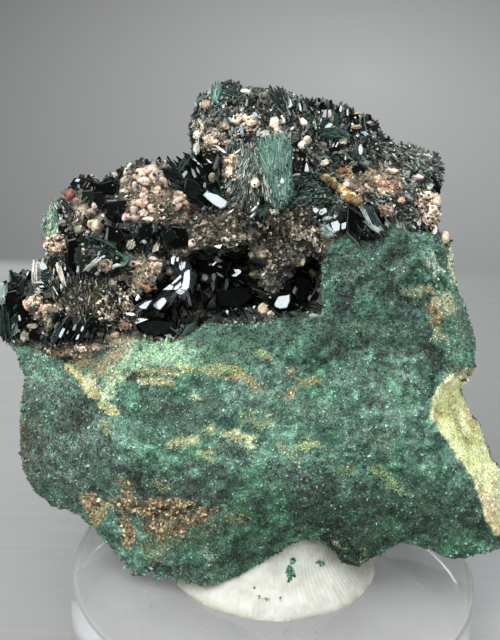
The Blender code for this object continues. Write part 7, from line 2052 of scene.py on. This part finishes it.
def floor_material():
    """One tone for the table in front and a darker sweep behind, told apart by where the floor lies. The table is a
    little darker towards its back edge, with painted shade towards the right and a painted pool of light under the
    stone's right end; the sweep has a painted pool of light, brightest in its middle.
    """
    m = Nodes("floor")
    where = m.node("ShaderNodeSeparateXYZ")
    m.link(m.coords(), where.inputs[0])

    def sums(operation, a, b):
        n = m.node("ShaderNodeMath", operation=operation)
        for socket, value in zip(n.inputs, (a, b)):
            if isinstance(value, (int, float)):
                socket.default_value = value
            else:
                m.link(value, socket)
        return n.outputs[0]

    x, y = where.outputs["X"], where.outputs["Y"]
    line = sums("SUBTRACT", y, sums("ADD", sums("MULTIPLY", x, 0.0758), 0.0796 + 0.0758 * 0.0041))
    behind = m.spread(line, -0.0012, 0.0012, 0.0, 1.0)
    # the table a little darker towards its back edge, and painted shade darkening it towards the right
    shade = sums("MULTIPLY", m.spread(line, -0.022, 0.0, 1.0, 0.93), m.spread(x, 0.004, 0.040, 1.0, 0.70))
    # painted light: a pool, up to 1.9 times as bright, on the table under the stone's right end
    px, py = sums("SUBTRACT", x, 0.024), sums("SUBTRACT", y, 0.004)
    near = sums("POWER", sums("ADD", sums("MULTIPLY", px, px), sums("MULTIPLY", py, py)), 0.5)
    shade = sums("MULTIPLY", shade, m.spread(near, 0.004, 0.024, 1.9, 1.0))
    # painted light on the sweep: a pool brightest in its middle, fading outwards
    dx = sums("DIVIDE", sums("SUBTRACT", x, 0.012), 0.054)
    dy = sums("DIVIDE", sums("SUBTRACT", y, 0.148), 0.085)
    far = sums("POWER", sums("ADD", sums("MULTIPLY", dx, dx), sums("MULTIPLY", dy, dy)), 0.5)
    painted_sweep_light = m.spread(far, 0.0, 1.3, SWEEP_HIGH, SWEEP_LOW)
    table = sums("MULTIPLY", m.spread(m.noise(18.0, 3.0), 0.3, 0.7, 0.97 * TABLE, 1.03 * TABLE), shade)
    scratch = m.node("ShaderNodeMapping")
    scratch.inputs["Scale"].default_value = (40.0, 900.0, 1.0)
    m.link(m.coords(), scratch.inputs["Vector"])
    fine = m.spread(m.noise(1.0, 3.0, 0.6, scratch.outputs["Vector"]), 0.35, 0.65, 0.975, 1.025)
    table = sums("MULTIPLY", table, fine)
    both = m.node("ShaderNodeMix", data_type="FLOAT")
    m.link(behind, both.inputs[0])
    m.link(table, both.inputs[2])
    m.link(painted_sweep_light, both.inputs[3])
    colour = m.node("ShaderNodeVectorMath", operation="SCALE")
    colour.inputs[0].default_value = (1.0, 1.0, 0.985)
    m.link(both.outputs[0], colour.inputs["Scale"])
    m.link(colour.outputs["Vector"], m.shader.inputs["Base Color"])
    m.set(rough=0.6, spec=0.3)
    return m.material


# the table's tone, and the painted light on the sweep from its middle to its rim
TABLE, SWEEP_HIGH, SWEEP_LOW = 0.30, 0.345, 0.125


floor_mesh = fast_mesh("floor", np.array([(-900, -900, 0), (900, -900, 0), (900, 900, 0), (-900, 900, 0)], float), np.array([(0, 1, 2), (0, 2, 3)]))
floor_mesh.materials.append(floor_material())
floor = bpy.data.objects.new("floor", floor_mesh)
bpy.context.scene.collection.objects.link(floor)
